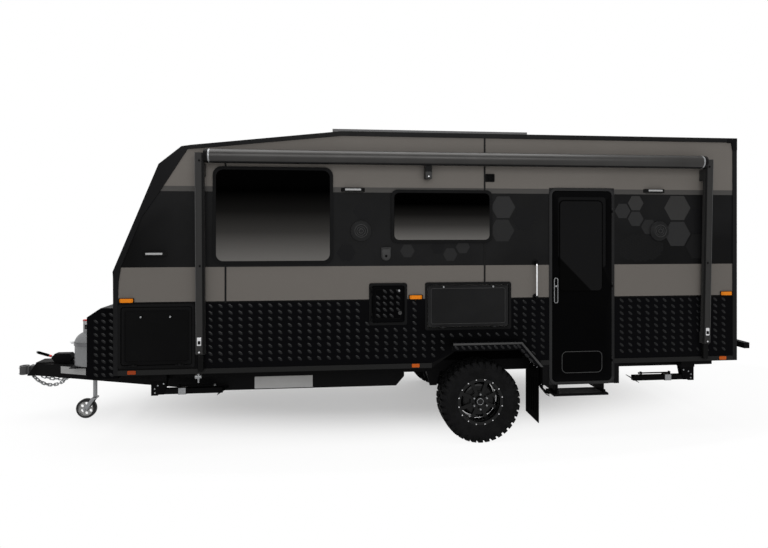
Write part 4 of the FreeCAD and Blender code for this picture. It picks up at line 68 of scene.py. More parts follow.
# Sizes of what is added here
BAND_LOW = 1.677
BAND_HIGH = 2.355
BAND_FADE = 2.402
FOOT_BLACK = 1.37
LINING_DEPTH = 0.006
LOW_PAINTED_SHADE = 0.90
SKIRT_TRIM_TOP = 0.775
TREAD_PITCH = (0.088, 0.061)
TREAD_BAR = (0.054, 0.024, 0.003)
TREAD_LEAN = 40.0
TREAD_EDGE = 0.027
BOX_PITCH = (0.066, 0.061)
BOX_TOP = 1.295
BOX_SLOPE_FOOT = 1.200
BOX_SLOPE_DEEP = 0.140
TREAD_MARGIN = 0.004
TREAD_SINK = 0.0004
DECAL_THICK = 0.0006
DEEP_IN_WALL = 0.0004
SINK = 0.001
THIN_SINK = 0.0005
HAIR_EDGE = 0.0006
FINE_EDGE = 0.0008
THIN_EDGE = 0.001
SOFT_EDGE = 0.0015
ROUND_EDGE = 0.002
FULL_EDGE = 0.003
FULL_SMOOTH = 80.0
TUBE_SMOOTH = 60.0

rim_low, rim_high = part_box("rim_left")
AXLE_X = (rim_low.x + rim_high.x) / 2
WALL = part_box("wall_right")[1].y


def ahead(distance):
    """A place in front of the wheel axle, as in the part's own sizes."""
    return AXLE_X - distance


def behind(distance):
    return AXLE_X + distance


# Materials


class Shader:
    """A node material with its principled shader, and short ways to add what feeds it."""

    def __init__(self, name, color, roughness, metallic, specular):
        self.material = bpy.data.materials.new(name)
        self.material.use_nodes = True
        self.tree = self.material.node_tree
        self.bsdf = self.tree.nodes["Principled BSDF"]
        self.set("Base Color", (*color, 1.0))
        self.set("Roughness", roughness)
        self.set("Metallic", metallic)
        self.set("Specular IOR Level", specular)
        self.material.diffuse_color = (*color, 1.0)

    def set(self, socket, value):
        self.bsdf.inputs[socket].default_value = value
        return self

    def node(self, kind, **values):
        made = self.tree.nodes.new(kind)
        for key, value in values.items():
            if hasattr(made, key):
                setattr(made, key, value)
            else:
                made.inputs[key.replace("_", " ")].default_value = value
        return made

    def link(self, source, target):
        self.tree.links.new(source, target)
        return self

    def place(self):
        """Coordinates of the frame at rest, which stay with a piece when it moves."""
        return self.node("ShaderNodeTexCoord").outputs["Object"]

    def texture(self, kind, output, **values):
        """A pattern laid out in the frame's own coordinates."""
        made = self.node(f"ShaderNodeTex{kind}", **values)
        self.link(self.place(), made.inputs["Vector"])
        return made.outputs[output]

    def noise(self, scale, detail=4.0):
        return self.texture("Noise", "Fac", Scale=scale, Detail=detail, Roughness=0.55)

    def span(self, value, low, high, first=0.0, last=1.0, smooth=False):
        made = self.node("ShaderNodeMapRange")
        made.interpolation_type = "SMOOTHSTEP" if smooth else "LINEAR"
        for key, number in (("From Min", low), ("From Max", high), ("To Min", first), ("To Max", last)):
            made.inputs[key].default_value = number
        self.link(value, made.inputs["Value"])
        return made.outputs["Result"]

    def mix(self, factor, first, second):
        """A colour between two, which are colours or sockets."""
        made = self.node("ShaderNodeMix", data_type="RGBA")
        sockets = [made.inputs[6], made.inputs[7]]
        for socket, value in zip(sockets, (first, second)):
            if isinstance(value, bpy.types.NodeSocket):
                self.link(value, socket)
            else:
                socket.default_value = (*value, 1.0)
        if isinstance(factor, bpy.types.NodeSocket):
            self.link(factor, made.inputs["Factor"])
        else:
            made.inputs["Factor"].default_value = factor
        return made.outputs[2]

    def math(self, operation, first, second=0.0):
        made = self.node("ShaderNodeMath", operation=operation)
        for socket, value in zip(made.inputs, (first, second)):
            if isinstance(value, bpy.types.NodeSocket):
                self.link(value, socket)
            else:
                socket.default_value = value
        return made.outputs[0]

    def axis(self, letter):
        made = self.node("ShaderNodeSeparateXYZ")
        self.link(self.place(), made.inputs[0])
        return made.outputs[letter]

    def color(self, socket):
        return self.link(socket, self.bsdf.inputs["Base Color"])

    def rough(self, socket):
        return self.link(socket, self.bsdf.inputs["Roughness"])

    def patchy(self, scale, low, high):
        """Roughness that drifts between two levels."""
        return self.rough(self.span(self.noise(scale), *MOTTLE, low, high))

    def normal(self, letter):
        """How far a face looks along an axis of the frame."""
        split = self.node("ShaderNodeSeparateXYZ")
        self.link(self.node("ShaderNodeTexCoord").outputs["Normal"], split.inputs[0])
        return split.outputs[letter]

    def bump(self, height, distance, strength=1.0):
        made = self.node("ShaderNodeBump", Strength=strength, Distance=distance)
        self.link(height, made.inputs["Height"])
        self.link(made.outputs["Normal"], self.bsdf.inputs["Normal"])
        return self

    def soft_edges(self, radius):
        made = self.node("ShaderNodeBevel", samples=4, Radius=radius)
        self.link(made.outputs["Normal"], self.bsdf.inputs["Normal"])
        return self


TAUPE = (0.109, 0.100, 0.091)
TAUPE_STRIPE = (0.048, 0.046, 0.044)
BAND_BLACK = (0.0060, 0.0060, 0.0062)
FOOT_SHADE = (0.0015, 0.0015, 0.0016)
LINING = (0.46, 0.44, 0.41)
NOSE_SHADE = (-2.22, -1.84)
NOSE_LOW = (1.90, 2.25)
TAIL_SHADE = (2.05, 2.45)
LOW_SHADE = (1.75, 2.15)
MOTTLE = (0.3, 0.7)
DRIFT = (0.35, 0.65)
EDGE_RADIUS = 0.0025


def varied(shader, first, second, scale):
    """Colour that wanders between two shades."""
    return shader.mix(shader.span(shader.noise(scale), *DRIFT), first, second)


def shade(color, factor):
    return tuple(part * factor for part in color)


def painted(name, color, roughness, specular=0.1, metallic=0.0, peel=0.00015):
    """Sprayed or powder-coated metal: a fine peel, colour drift, rounded edges and paler worn rims."""
    made = Shader(name, color, roughness, metallic, specular)
    drift = varied(made, shade(color, 0.88), shade(color, 1.12), 3.0)
    rims = made.node("ShaderNodeNewGeometry").outputs["Pointiness"]
    made.color(made.mix(made.span(rims, 0.53, 0.62), drift, shade(color, 1.9)))
    made.patchy(40.0, roughness * 0.85, min(roughness * 1.15, 1.0))
    bevel = made.node("ShaderNodeBevel", samples=4, Radius=EDGE_RADIUS)
    bump = made.node("ShaderNodeBump", Distance=peel)
    made.link(made.noise(600.0, 2.0), bump.inputs["Height"])
    made.link(bevel.outputs["Normal"], bump.inputs["Normal"])
    made.link(bump.outputs["Normal"], made.bsdf.inputs["Normal"])
    return made


def both(shader, first, second):
    """One where both values are one."""
    return shader.math("MULTIPLY", first, second)


def over(shader, value, level):
    return shader.math("GREATER_THAN", value, level)


def under(shader, value, level):
    return shader.math("LESS_THAN", value, level)


def wall_material(name, inside):
    """Taupe sheet with a grey stripe, the black band and a black foot; faces that inside picks are lined.
    Painted shade darkens the band towards the nose and, low down, towards the tail, and dims the taupe below
    the band.
    """
    made = Shader(name, TAUPE, 0.42, 0.0, 0.04)
    high = made.axis("Z")
    taupe = varied(made, shade(TAUPE, 0.97), shade(TAUPE, 1.03), 1.3)
    along = made.axis("X")
    # Painted shade: the black band darkens towards FOOT_SHADE at the nose and, low down, towards the tail.
    nose = made.math("MAXIMUM", made.span(along, *NOSE_SHADE, 0.05, 1.0), made.span(high, *NOSE_LOW))
    tail = made.math("MAXIMUM", made.span(along, *TAIL_SHADE, 1.0, 0.4), made.span(high, *LOW_SHADE))
    black = varied(made, shade(BAND_BLACK, 0.85), shade(BAND_BLACK, 1.2), 2.2)
    black = made.mix(both(made, nose, tail), FOOT_SHADE, black)
    in_stripe = both(made, over(made, high, BAND_HIGH), under(made, high, BAND_FADE))
    in_band = both(made, over(made, high, BAND_LOW), under(made, high, BAND_HIGH))
    # Painted shade: the taupe below the black band is a tenth darker.
    taupe = made.mix(under(made, high, BAND_LOW), taupe, shade(TAUPE, LOW_PAINTED_SHADE))
    outside = made.mix(in_band, made.mix(in_stripe, taupe, TAUPE_STRIPE), black)
    outside = made.mix(under(made, high, FOOT_BLACK), outside, FOOT_SHADE)
    lined = inside(made)
    made.color(made.mix(lined, outside, varied(made, shade(LINING, 0.96), LINING, 2.0)))
    made.patchy(25.0, 0.36, 0.46)
    made.bump(made.noise(9.0, 2.0), 0.0006, 0.35)
    return made.material


def level_with(made, letter):
    """Faces square to an axis of the frame, so not the edges round an opening."""
    return over(made, made.math("ABSOLUTE", made.normal(letter)), 0.5)


def inside_sides(made):
    across = made.math("ABSOLUTE", made.axis("Y"))
    return both(made, under(made, across, WALL - LINING_DEPTH), level_with(made, "Y"))


def inside_rear(made):
    deep = under(made, made.axis("X"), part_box("rear_wall")[1].x - LINING_DEPTH)
    return both(made, deep, level_with(made, "X"))


def facing(letter, way):
    """Faces that look along an axis of the frame, as the inner face of a slanted wall does."""
    def inside(made):
        return over(made, made.math("MULTIPLY", made.normal(letter), way), 0.3)
    return inside


def roof_material():
    """Pale roof sheet over a lined ceiling."""
    made = Shader("roof_sheet", (0.42, 0.42, 0.41), 0.4, 0.0, 0.2)
    top = varied(made, (0.41, 0.41, 0.40), (0.43, 0.43, 0.42), 1.6)
    made.color(made.mix(facing("Z", -1.0)(made), top, LINING))
    made.patchy(25.0, 0.35, 0.5)
    made.bump(made.noise(14.0, 2.0), 0.0008, 0.4)
    return made.material


WINDOW_PARTING = -0.2
# Painted reflection on the window panes: heights over which each pane lightens downwards, and the ramp's
# steps.
WIDE_REFLECTION = (1.70, 2.36)
SLIM_REFLECTION = (1.90, 2.25)
# Painted reflection: where the door pane's paler slanting band lies, along X plus Z.
DOOR_REFLECTION_BAND = (3.435, 3.455)
REFLECTION_STEPS = ((0.0, 0.098), (0.12, 0.082), (0.44, 0.025), (0.72, 0.0055), (1.0, 0.0))


def window_material():
    """Dark acrylic with a painted reflection that lightens it towards its lower edge."""
    made = Shader("window_acrylic", (0.01, 0.01, 0.01), 0.08, 0.0, 0.002)
    high = made.axis("Z")
    slim = over(made, made.axis("X"), WINDOW_PARTING)
    share = made.node("ShaderNodeMix", data_type="FLOAT")
    made.link(slim, share.inputs["Factor"])
    made.link(made.span(high, *WIDE_REFLECTION), share.inputs[2])
    made.link(made.span(high, *SLIM_REFLECTION), share.inputs[3])
    ramp = made.node("ShaderNodeValToRGB")
    steps = ramp.color_ramp.elements
    for place, level in REFLECTION_STEPS:
        step = steps[0] if place == 0.0 else steps[-1] if place == 1.0 else steps.new(place)
        step.color = (level, level * 0.96, level * 0.91, 1.0)
    made.link(share.outputs[0], ramp.inputs["Fac"])
    made.color(ramp.outputs["Color"])
    made.patchy(14.0, 0.06, 0.11)
    return made.material


def door_glass():
    """Tinted door pane with a painted reflection: one paler slanting band across it."""
    made = Shader("door_glass", (0.006, 0.006, 0.006), 0.07, 0.0, 0.012)
    slant = made.math("ADD", made.axis("X"), made.axis("Z"))
    sweep = made.span(slant, *DOOR_REFLECTION_BAND, smooth=True)
    made.color(made.mix(sweep, (0.0012, 0.0012, 0.0012), (0.0058, 0.0058, 0.0060)))
    made.patchy(14.0, 0.06, 0.11)
    return made.material


RUBBER_ROUGH = 0.72


def rubber(name, color, specular=0.04):
    made = Shader(name, color, RUBBER_ROUGH, 0.0, specular)
    made.color(varied(made, shade(color, 0.75), shade(color, 1.3), 12.0))
    made.patchy(60.0, RUBBER_ROUGH * 0.9, RUBBER_ROUGH * 1.1)
    made.bump(made.noise(350.0, 3.0), 0.0003, 0.6)
    return made.material


def metal(name, color, roughness, brushed=False):
    """Bare or plated metal with fine scratches along X when brushed."""
    made = Shader(name, color, roughness, 1.0, 0.5)
    made.color(varied(made, shade(color, 0.85), shade(color, 1.08), 18.0))
    stretch = made.node("ShaderNodeMapping", Scale=(6.0 if brushed else 60.0, 260.0, 260.0))
    made.link(made.place(), stretch.inputs["Vector"])
    grain = made.node("ShaderNodeTexNoise", Detail=3.0, Scale=1.0)
    made.link(stretch.outputs["Vector"], grain.inputs["Vector"])
    made.rough(made.span(grain.outputs["Fac"], *MOTTLE, roughness * 0.75, min(roughness * 1.3, 1.0)))
    made.soft_edges(EDGE_RADIUS / 2)
    return made.material


def galvanised():
    """Zinc with its pale and dark crystals."""
    made = Shader("zinc_plate", (0.33, 0.34, 0.35), 0.42, 0.85, 0.5)
    cells = made.texture("Voronoi", "Distance", Scale=160.0)
    made.color(made.mix(cells, (0.15, 0.155, 0.16), (0.30, 0.305, 0.31)))
    made.patchy(50.0, 0.34, 0.5)
    made.soft_edges(EDGE_RADIUS / 2)
    return made.material


def lens(name, color, strength=0.0):
    """Moulded lamp plastic with fine ribs."""
    made = Shader(name, color, 0.2, 0.0, 0.12)
    ribs = made.texture("Wave", "Fac", bands_direction="X", Scale=70.0)
    made.color(made.mix(ribs, shade(color, 0.66), color))
    made.bump(ribs, 0.0006, 0.6)
    if strength:
        made.set("Emission Color", (*color, 1.0))
        made.set("Emission Strength", strength)
    return made.material


SOLAR_CELL = 0.158
SOLAR_LINE = 0.0025


def solar_cells():
    """Dark blue cells between thin pale lines, in an aluminium frame."""
    made = Shader("solar_cells", (0.004, 0.006, 0.02), 0.12, 0.0, 0.3)
    grid = made.texture("Brick", "Color", offset=0.0, squash=1.0, Scale=1.0, Brick_Width=SOLAR_CELL,
                        Row_Height=SOLAR_CELL, Mortar_Size=SOLAR_LINE, Color1=(0.003, 0.005, 0.018, 1.0),
                        Color2=(0.004, 0.007, 0.024, 1.0), Mortar=(0.11, 0.11, 0.12, 1.0))
    sides = made.mix(facing("Z", 1.0)(made), (0.02, 0.02, 0.021), grid)
    made.color(sides)
    return made.material


def floor_board():
    made = Shader("floor_ply", (0.16, 0.12, 0.08), 0.7, 0.0, 0.2)
    grain = made.texture("Wave", "Fac", bands_direction="Y", Scale=3.0, Distortion=6.0, Detail=3.0)
    made.color(made.mix(grain, (0.11, 0.08, 0.055), (0.19, 0.145, 0.1)))
    made.bump(grain, 0.0004, 0.4)
    return made.material


def trim_material():
    """Dark grey strips; the skirt's strip is paler, as bare anodised metal is."""
    made = painted("trim_grey", (0.006, 0.006, 0.006), 0.4, 0.04)
    drift = varied(made, (0.0058, 0.0058, 0.006), (0.008, 0.0079, 0.0078), 3.0)
    made.color(made.mix(under(made, made.axis("Z"), SKIRT_TRIM_TOP), drift, (0.0105, 0.0105, 0.0104)))
    return made.material


CASTER_RIM = 0.0765


def caster_material():
    """Black tread round a pale moulded centre."""
    low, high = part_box("jockey_wheel")
    made = Shader("caster_rubber", (0.012, 0.012, 0.012), 0.6, 0.0, 0.2)
    across = made.math("SUBTRACT", made.axis("X"), (low.x + high.x) / 2)
    up = made.math("SUBTRACT", made.axis("Z"), (low.z + high.z) / 2)
    reach = made.math("SQRT", made.math("ADD", made.math("MULTIPLY", across, across),
                                        made.math("MULTIPLY", up, up)))
    dark = varied(made, (0.009, 0.009, 0.009), (0.016, 0.016, 0.016), 30.0)
    pale = varied(made, (0.32, 0.32, 0.315), (0.40, 0.40, 0.39), 30.0)
    made.color(made.mix(over(made, reach, CASTER_RIM), pale, dark))
    made.bump(made.noise(240.0, 2.0), 0.0003, 0.5)
    return made.material


def roller_material():
    """Anodised roller cover: satin metal that is smooth along its length."""
    made = Shader("awning_sleeve", (0.036, 0.035, 0.034), 0.34, 0.75, 0.3)
    made.color(varied(made, (0.031, 0.030, 0.029), (0.041, 0.040, 0.039), 1.5))
    made.patchy(5.0, 0.3, 0.38)
    made.soft_edges(EDGE_RADIUS)
    return made.material


# Colour, roughness, specular, metallic and the peel's height of each coat
PAINTS = {
    "frame_black": ((0.0020, 0.0020, 0.0021), 0.45, 0.02),
    "mould_black": ((0.0040, 0.0040, 0.0042), 0.38, 0.03),
    "arm_grey": ((0.0120, 0.0118, 0.0116), 0.36, 0.06),
    "gloss_black": ((0.0012, 0.0012, 0.0013), 0.2, 0.006, 0.0, 0.00002),
    "boot_black": ((0.0030, 0.0030, 0.0031), 0.3, 0.02, 0.0, 0.00002),
    "plastic_black": ((0.0026, 0.0026, 0.0027), 0.5, 0.03),
    "door_trim": ((0.0100, 0.0100, 0.0102), 0.4, 0.05),
    "edge_grey": ((0.030, 0.030, 0.030), 0.35, 0.12),
    "panel_dark": ((0.0078, 0.0078, 0.0080), 0.36, 0.04),
    "tread_plate": ((0.0011, 0.0011, 0.0013), 0.34, 0.010),
    # Painted highlight: the bars are paler than the plate they are pressed from, standing for light on their
    # tops.
    "tread_bar_painted_highlight": ((0.0034, 0.0034, 0.0040), 0.24, 0.15, 0.0, 0.00004),
    "rim_black": ((0.0026, 0.0026, 0.0027), 0.26, 0.14),
    "gas_grey": ((0.17, 0.172, 0.175), 0.4, 0.2, 0.2),
    "lamp_body": ((0.003, 0.003, 0.003), 0.3, 0.04),
    "tank_plastic": ((0.012, 0.012, 0.012), 0.55),
    "red_knob": ((0.34, 0.02, 0.018), 0.4, 0.2),
    "bare_plate": ((0.18, 0.18, 0.178), 0.4, 0.15),
    "decal_dark": ((0.0028, 0.0028, 0.0030), 0.36, 0.04),
    "decal_mid": ((0.0098, 0.0098, 0.0100), 0.36, 0.04),
    "decal_pale": ((0.0135, 0.0133, 0.0131), 0.36, 0.04),
    "decal_faint": ((0.0036, 0.0036, 0.0037), 0.36, 0.03),
    "decal_soft": ((0.0074, 0.0074, 0.0075), 0.36, 0.04),
    "inlet_grey": ((0.026, 0.026, 0.026), 0.36, 0.08),
    "white_plastic": ((0.55, 0.55, 0.54), 0.4, 0.3),
}
MATERIALS = {name: painted(name, *values).material for name, values in PAINTS.items()}
MATERIALS |= {
    "wall": wall_material("wall_paint", inside_sides),
    "rear_wall": wall_material("rear_wall_paint", inside_rear),
    "front_wall": wall_material("front_wall_paint", facing("X", 1.0)),
    "trim_grey": trim_material(),
    "window": window_material(),
    "door_glass": door_glass(),
    "tyre": rubber("tyre_rubber", (0.0044, 0.0044, 0.0046)),
    "rubber": rubber("black_rubber", (0.0007, 0.0007, 0.0007), specular=0.01),
    "caster": caster_material(),
    "steel": metal("bright_steel", (0.62, 0.62, 0.63), 0.3, brushed=True),
    "chrome": metal("polished_steel", (0.78, 0.78, 0.79), 0.14),
    "dark_steel": metal("dark_steel", (0.13, 0.13, 0.135), 0.38),
    "zinc": galvanised(),
    "amber": lens("amber_lens", (0.60, 0.17, 0.004), 0.06),
    "amber_low": lens("low_amber", (0.42, 0.075, 0.003)),
    "reflector": lens("amber_reflector", (0.26, 0.035, 0.004)),
    "red": lens("red_lens", (0.36, 0.006, 0.005)),
    "clear": lens("clear_lens", (0.55, 0.55, 0.55)),
    "glow": lens("lamp_strip", (0.34, 0.34, 0.34)),
    "roof": roof_material(),
    "solar": solar_cells(),
    "awning": roller_material(),
    "floor": floor_board(),
}

NODE_LOOKS = {
    "wall": ("wall_left", "wall_right"),
    "front_wall": ("front_wall",),
    "rear_wall": ("rear_wall",),
    "roof": ("roof_panel",),
    "white_plastic": ("roof_units",),
    "frame_black": ("chassis_rails", "chassis_crossmembers", "drawbar_rails", "drawbar_head",
                    "entry_well", "wheel_boxes", "trailing_arms", "springs", "rear_bumper",
                    "entry_step", "steady_front_left", "steady_front_right", "steady_rear_left",
                    "steady_rear_right"),
    "door_trim": ("door_frame",),
    "trim_grey": ("trims",),
    "mould_black": ("mouldings",),
    "arm_grey": ("awning_arms",),
    "plastic_black": ("hatch_frames", "window_frames", "side_fittings"),
    "rubber": ("mud_flaps",),
    "gloss_black": ("entry_door",),
    "boot_black": ("boot_door_left", "boot_door_right"),
    "panel_dark": ("table_hatch",),
    "tread_plate": ("service_hatch", "checker_panels", "flares", "front_box", "front_box_lid"),
    "window": ("window_panes",),
    "door_glass": ("entry_door_glazing",),
    "rim_black": ("rim_left", "rim_right"),
    "tyre": ("tyre_left", "tyre_right"),
    "caster": ("jockey_wheel",),
    "zinc": ("jockey_sleeve", "jockey_leg", "jockey_fork", "safety_chains", "handbrake"),
    "inlet_grey": ("coupling",),
    "gas_grey": ("gas_cylinders",),
    "amber": ("lamps_amber",),
    "red": ("lamps_red",),
    "lamp_body": ("lamps_white",),
    "solar": ("solar_panels",),
    "awning": ("awning_roller",),
    "tank_plastic": ("water_tanks",),
    "floor": ("floor_panel",),
}


def dress_nodes():
    for look, names in NODE_LOOKS.items():
        for name in names:
            data = NODES[name].data
            data.materials.clear()
            data.materials.append(MATERIALS[look])


# Mesh pieces

ROD_EDGE_SHARE = 0.12
TUBE_AROUND = 14
CORNER_STEPS = 6


class Pieces:
    """Collects closed shapes into one mesh."""

    def __init__(self):
        self.bm = bmesh.new()

    def add(self, verts, faces):
        made = [self.bm.verts.new(v) for v in verts]
        for face in faces:
            self.bm.faces.new([made[i] for i in face])
        return self

    def loft(self, first, second):
        """A closed shape between two loops with as many corners each."""
        count = len(first)
        faces = [tuple(range(count - 1, -1, -1)), tuple(range(count, 2 * count))]
        faces += [(i, (i + 1) % count, count + (i + 1) % count, count + i) for i in range(count)]
        return self.add(first + second, faces)

    def box(self, low, high):
        return self.prism(corners(list(zip(low, high))[:2]), low[2], high[2], along_z)

    def skin(self, rings, closed=False):
        """Joins rings of as many points each; the line of rings runs round or has its ends closed."""
        pairs = list(zip(rings, rings[1:]))
        if closed:
            pairs.append((rings[-1], rings[0]))
        else:
            self.bm.faces.new(list(reversed(rings[0])))
            self.bm.faces.new(rings[-1])
        for first, second in pairs:
            for i in range(len(first)):
                j = (i + 1) % len(first)
                self.bm.faces.new((first[i], first[j], second[j], second[i]))
        return self

    def lathe(self, profile, centre, axis, around=32, closed=True):
        """Turns a profile of (along the axis, radius) about an axis through the centre."""
        direction = Vector(axis).normalized()
        side = direction.orthogonal().normalized()
        third = direction.cross(side)
        rings = []
        for along, radius in profile:
            ring = []
            for i in range(around):
                turn = 2 * math.pi * i / around
                out = side * math.cos(turn) + third * math.sin(turn)
                ring.append(self.bm.verts.new(Vector(centre) + direction * along + out * radius))
            rings.append(ring)
        return self.skin(rings, closed)

    def knob(self, profile, centre, axis, around=20):
        """A turned solid with closed ends."""
        return self.lathe(profile, centre, axis, around, closed=False)

    def rod(self, start, end, radius, around=20):
        """A round bar between two points with chamfered ends."""
        start, end = Vector(start), Vector(end)
        length = (end - start).length
        edge = min(radius * ROD_EDGE_SHARE, length / 4)
        profile = [(0.0, radius - edge), (edge, radius), (length - edge, radius), (length, radius - edge)]
        return self.knob(profile, start, end - start, around)

    def prism(self, outline, low, high, place):
        """An outline between two levels; place turns (across, up, level) into a point."""
        return self.loft(*([place(a, b, level) for a, b in outline] for level in (low, high)))

    def ring(self, outer, inner, low, high, place):
        """A frame between two outlines with as many corners each."""
        count = len(outer)
        verts = [place(a, b, level)
                 for outline in (outer, inner) for level in (low, high) for a, b in outline]
        faces = []
        for i in range(count):
            j = (i + 1) % count
            outer_low, outer_high, inner_low, inner_high = (count * k for k in range(4))
            faces += [(outer_low + i, outer_low + j, outer_high + j, outer_high + i),
                      (inner_low + j, inner_low + i, inner_high + i, inner_high + j),
                      (outer_high + i, outer_high + j, inner_high + j, inner_high + i),
                      (outer_low + j, outer_low + i, inner_low + i, inner_low + j)]
        return self.add(verts, faces)

    def plate(self, bounds, radius, low, high, place):
        """A prism over two spans, with rounded corners."""
        return self.prism(rounded_outline(bounds, radius), low, high, place)

    def frame(self, bounds, radius, wide, inner_radius, low, high, place):
        """A rim with rounded corners, as wide as given inwards from its two spans."""
        return self.ring(rounded_outline(bounds, radius), rounded_outline(grown(bounds, -wide), inner_radius),
                         low, high, place)

    def tube(self, points, radius):
        """A round bar along a line of points, with its ends closed."""
        rings = []
        side = None
        for number, point in enumerate(points):
            ahead_point = points[min(number + 1, len(points) - 1)]
            back_point = points[max(number - 1, 0)]
            way = (ahead_point - back_point).normalized()
            side = way.orthogonal() if side is None else side - way * side.dot(way)
            side.normalize()
            third = way.cross(side)
            turns = [2 * math.pi * i / TUBE_AROUND for i in range(TUBE_AROUND)]
            rings.append([self.bm.verts.new(point + (side * math.cos(turn) + third * math.sin(turn)) * radius)
                          for turn in turns])
        return self.skin(rings)

    def louvre(self, bounds, side, seat, out, rim, back, slats, slat):
        """A rim on a side wall, with slats that lean out and down across a dark hollow."""
        place = side_place(side, seat)
        (inset, corner, high), (count, start, step), (deep, thick) = back, slats, slat
        self.frame(bounds, *rim, -DEEP_IN_WALL, out, place)
        self.plate(grown(bounds, -inset), corner, -DEEP_IN_WALL, high, place)
        x0, x1 = grown(bounds, -inset)[0]
        inner, outer = side * (seat + SINK), side * (seat + SINK + deep)
        for number in range(count):
            low = bounds[1][0] + start + number * step
            outline = [(inner, low + deep), (inner, low + deep - thick), (outer, low), (outer, low + thick)]
            self.prism(outline, x0, x1, along_x)
        return self

    def done(self, name, look, body=ROOT, smooth=30.0, bevel=0.0, slot=None):
        """Makes the object, with sharp edges kept above an angle in degrees."""
        bmesh.ops.recalc_face_normals(self.bm, faces=self.bm.faces)
        mesh = bpy.data.meshes.new(name)
        self.bm.to_mesh(mesh)
        self.bm.free()
        obj = bpy.data.objects.new(name, mesh)
        bpy.context.scene.collection.objects.link(obj)
        mesh.materials.append(MATERIALS[look])
        if bevel:
            made = obj.modifiers.new("edges", "BEVEL")
            made.width = bevel
            made.segments = 2
            made.limit_method = "ANGLE"
            made.angle_limit = math.radians(40)
        for polygon in mesh.polygons:
            polygon.use_smooth = True
        mesh.set_sharp_from_angle(angle=math.radians(smooth))
        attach(obj, body)
        return obj


def side_place(side, wall):
    """Points on a side wall from (x, z) and the height out of it."""
    return lambda across, up, out: (across, side * (wall + out), up)


def rear_place(wall):
    """Points on a face that looks to the rear, from (y, z) and the height out of it."""
    return lambda across, up, out: (wall + out, across, up)


def along_x(across, up, level):
    return level, across, up


def along_y(across, up, level):
    return across, level, up


def along_z(across, up, level):
    return across, up, level


def mirrored(side, span):
    """A span across the caravan, for the side that is asked for."""
    return sorted(side * y for y in span)


def grown(bounds, more):
    """Two spans made larger, or smaller where more is below zero."""
    return [(low - more, high + more) for low, high in bounds]


def corners(bounds):
    (x0, x1), (y0, y1) = bounds
    return [(x0, y0), (x1, y0), (x1, y1), (x0, y1)]


def about(middle, half):
    """A span given by its middle."""
    return middle - half, middle + half


def around_spot(x, z, half):
    """Two spans about a place."""
    return about(x, half[0]), about(z, half[1])


def rounded_outline(bounds, radius):
    (x0, x1), (z0, z1) = bounds
    points = []
    for cx, cz, start in ((x1 - radius, z0 + radius, -90), (x1 - radius, z1 - radius, 0),
                          (x0 + radius, z1 - radius, 90), (x0 + radius, z0 + radius, 180)):
        for i in range(CORNER_STEPS + 1):
            turn = math.radians(start + 90 * i / CORNER_STEPS)
            points.append((cx + radius * math.cos(turn), cz + radius * math.sin(turn)))
    return points


# Tread plate

BAR_STEPS = 8
BAR_CROWN = (0.66, 0.5, 0.82)
RAY_LIFT = 0.004
RAY_REACH = 0.006
SEAT_SLACK = 0.0005
CLEAR_ROOM = 0.0035
FAR = 4.0


def solid_tree(*names):
    """What the named nodes' faces are, for looking along rays."""
    verts, faces = [], []
    for name in names:
        mesh = NODES[name].data
        base = len(verts)
        verts += [v.co.copy() for v in mesh.vertices]
        faces += [[base + i for i in polygon.vertices] for polygon in mesh.polygons]
    return BVHTree.FromPolygons(verts, faces)


def touch(tree, start, way):
    """Where a ray from a place meets the named solids."""
    return tree.ray_cast(Vector(start), Vector(way), FAR)[0]


def bar_mesh(pieces, centre, along, across, normal):
    """One raised bar: a long lens shape with rounded ends and a soft crown."""
    half_long, half_wide, high = TREAD_BAR[0] / 2, TREAD_BAR[1] / 2, TREAD_BAR[2]
    long_share, wide_share, high_share = BAR_CROWN
    rim, crown = [], []
    for i in range(BAR_STEPS):
        turn = 2 * math.pi * (i + 0.5) / BAR_STEPS
        a, b = math.cos(turn), math.sin(turn)
        rim.append(centre + along * (a * half_long) + across * (b * half_wide) - normal * TREAD_SINK)
        crown.append(centre + along * (a * half_long * long_share) + across * (b * half_wide * wide_share)
                     + normal * high * high_share)
    around = [(i, (i + 1) % BAR_STEPS) for i in range(BAR_STEPS)]
    faces = [(i, j, BAR_STEPS + j, BAR_STEPS + i) for i, j in around]
    faces += [(BAR_STEPS + i, BAR_STEPS + j, 2 * BAR_STEPS) for i, j in around]
    pieces.add(rim + crown + [centre + normal * high], faces)


def lean(across, up, normal):
    """The long and the short way of a bar on a face."""
    turn = math.radians(TREAD_LEAN)
    along = across * math.cos(turn) - up * math.sin(turn)
    return along, normal.cross(along)


def seated(tree, blockers, point, normal):
    """Whether the face lies right at the point, with room above it."""
    hit = tree.ray_cast(point + normal * RAY_LIFT, -normal, RAY_REACH)
    if hit[0] is None or abs((hit[0] - point).dot(normal)) > SEAT_SLACK:
        return False
    return blockers is None or blockers.find_nearest(point + normal * RAY_LIFT, CLEAR_ROOM)[0] is None


def tread_bars(pieces, tree, blockers, origin, across, up, size, pitch=TREAD_PITCH):
    """Bars over a flat face, all leaning one way on a lattice of rows and columns.

    A bar is left out where the face ends or something sits on it.
    """
    origin, across, up = Vector(origin), Vector(across), Vector(up)
    normal = across.cross(up)
    along, wide = lean(across, up, normal)
    reach = TREAD_BAR[0] / 2 + TREAD_MARGIN
    half = TREAD_BAR[1] / 2 + TREAD_MARGIN / 2
    spots = ((0, 0), (reach, 0), (-reach, 0), (0, half), (0, -half))
    for i in range(int(size[0] / pitch[0]) + 1):
        for j in range(int(size[1] / pitch[1]) + 1):
            centre = origin + across * (i * pitch[0]) + up * (j * pitch[1])
            if all(seated(tree, blockers, centre + along * a + wide * b, normal) for a, b in spots):
                bar_mesh(pieces, centre, along, wide, normal)


TREAD_END = 0.03


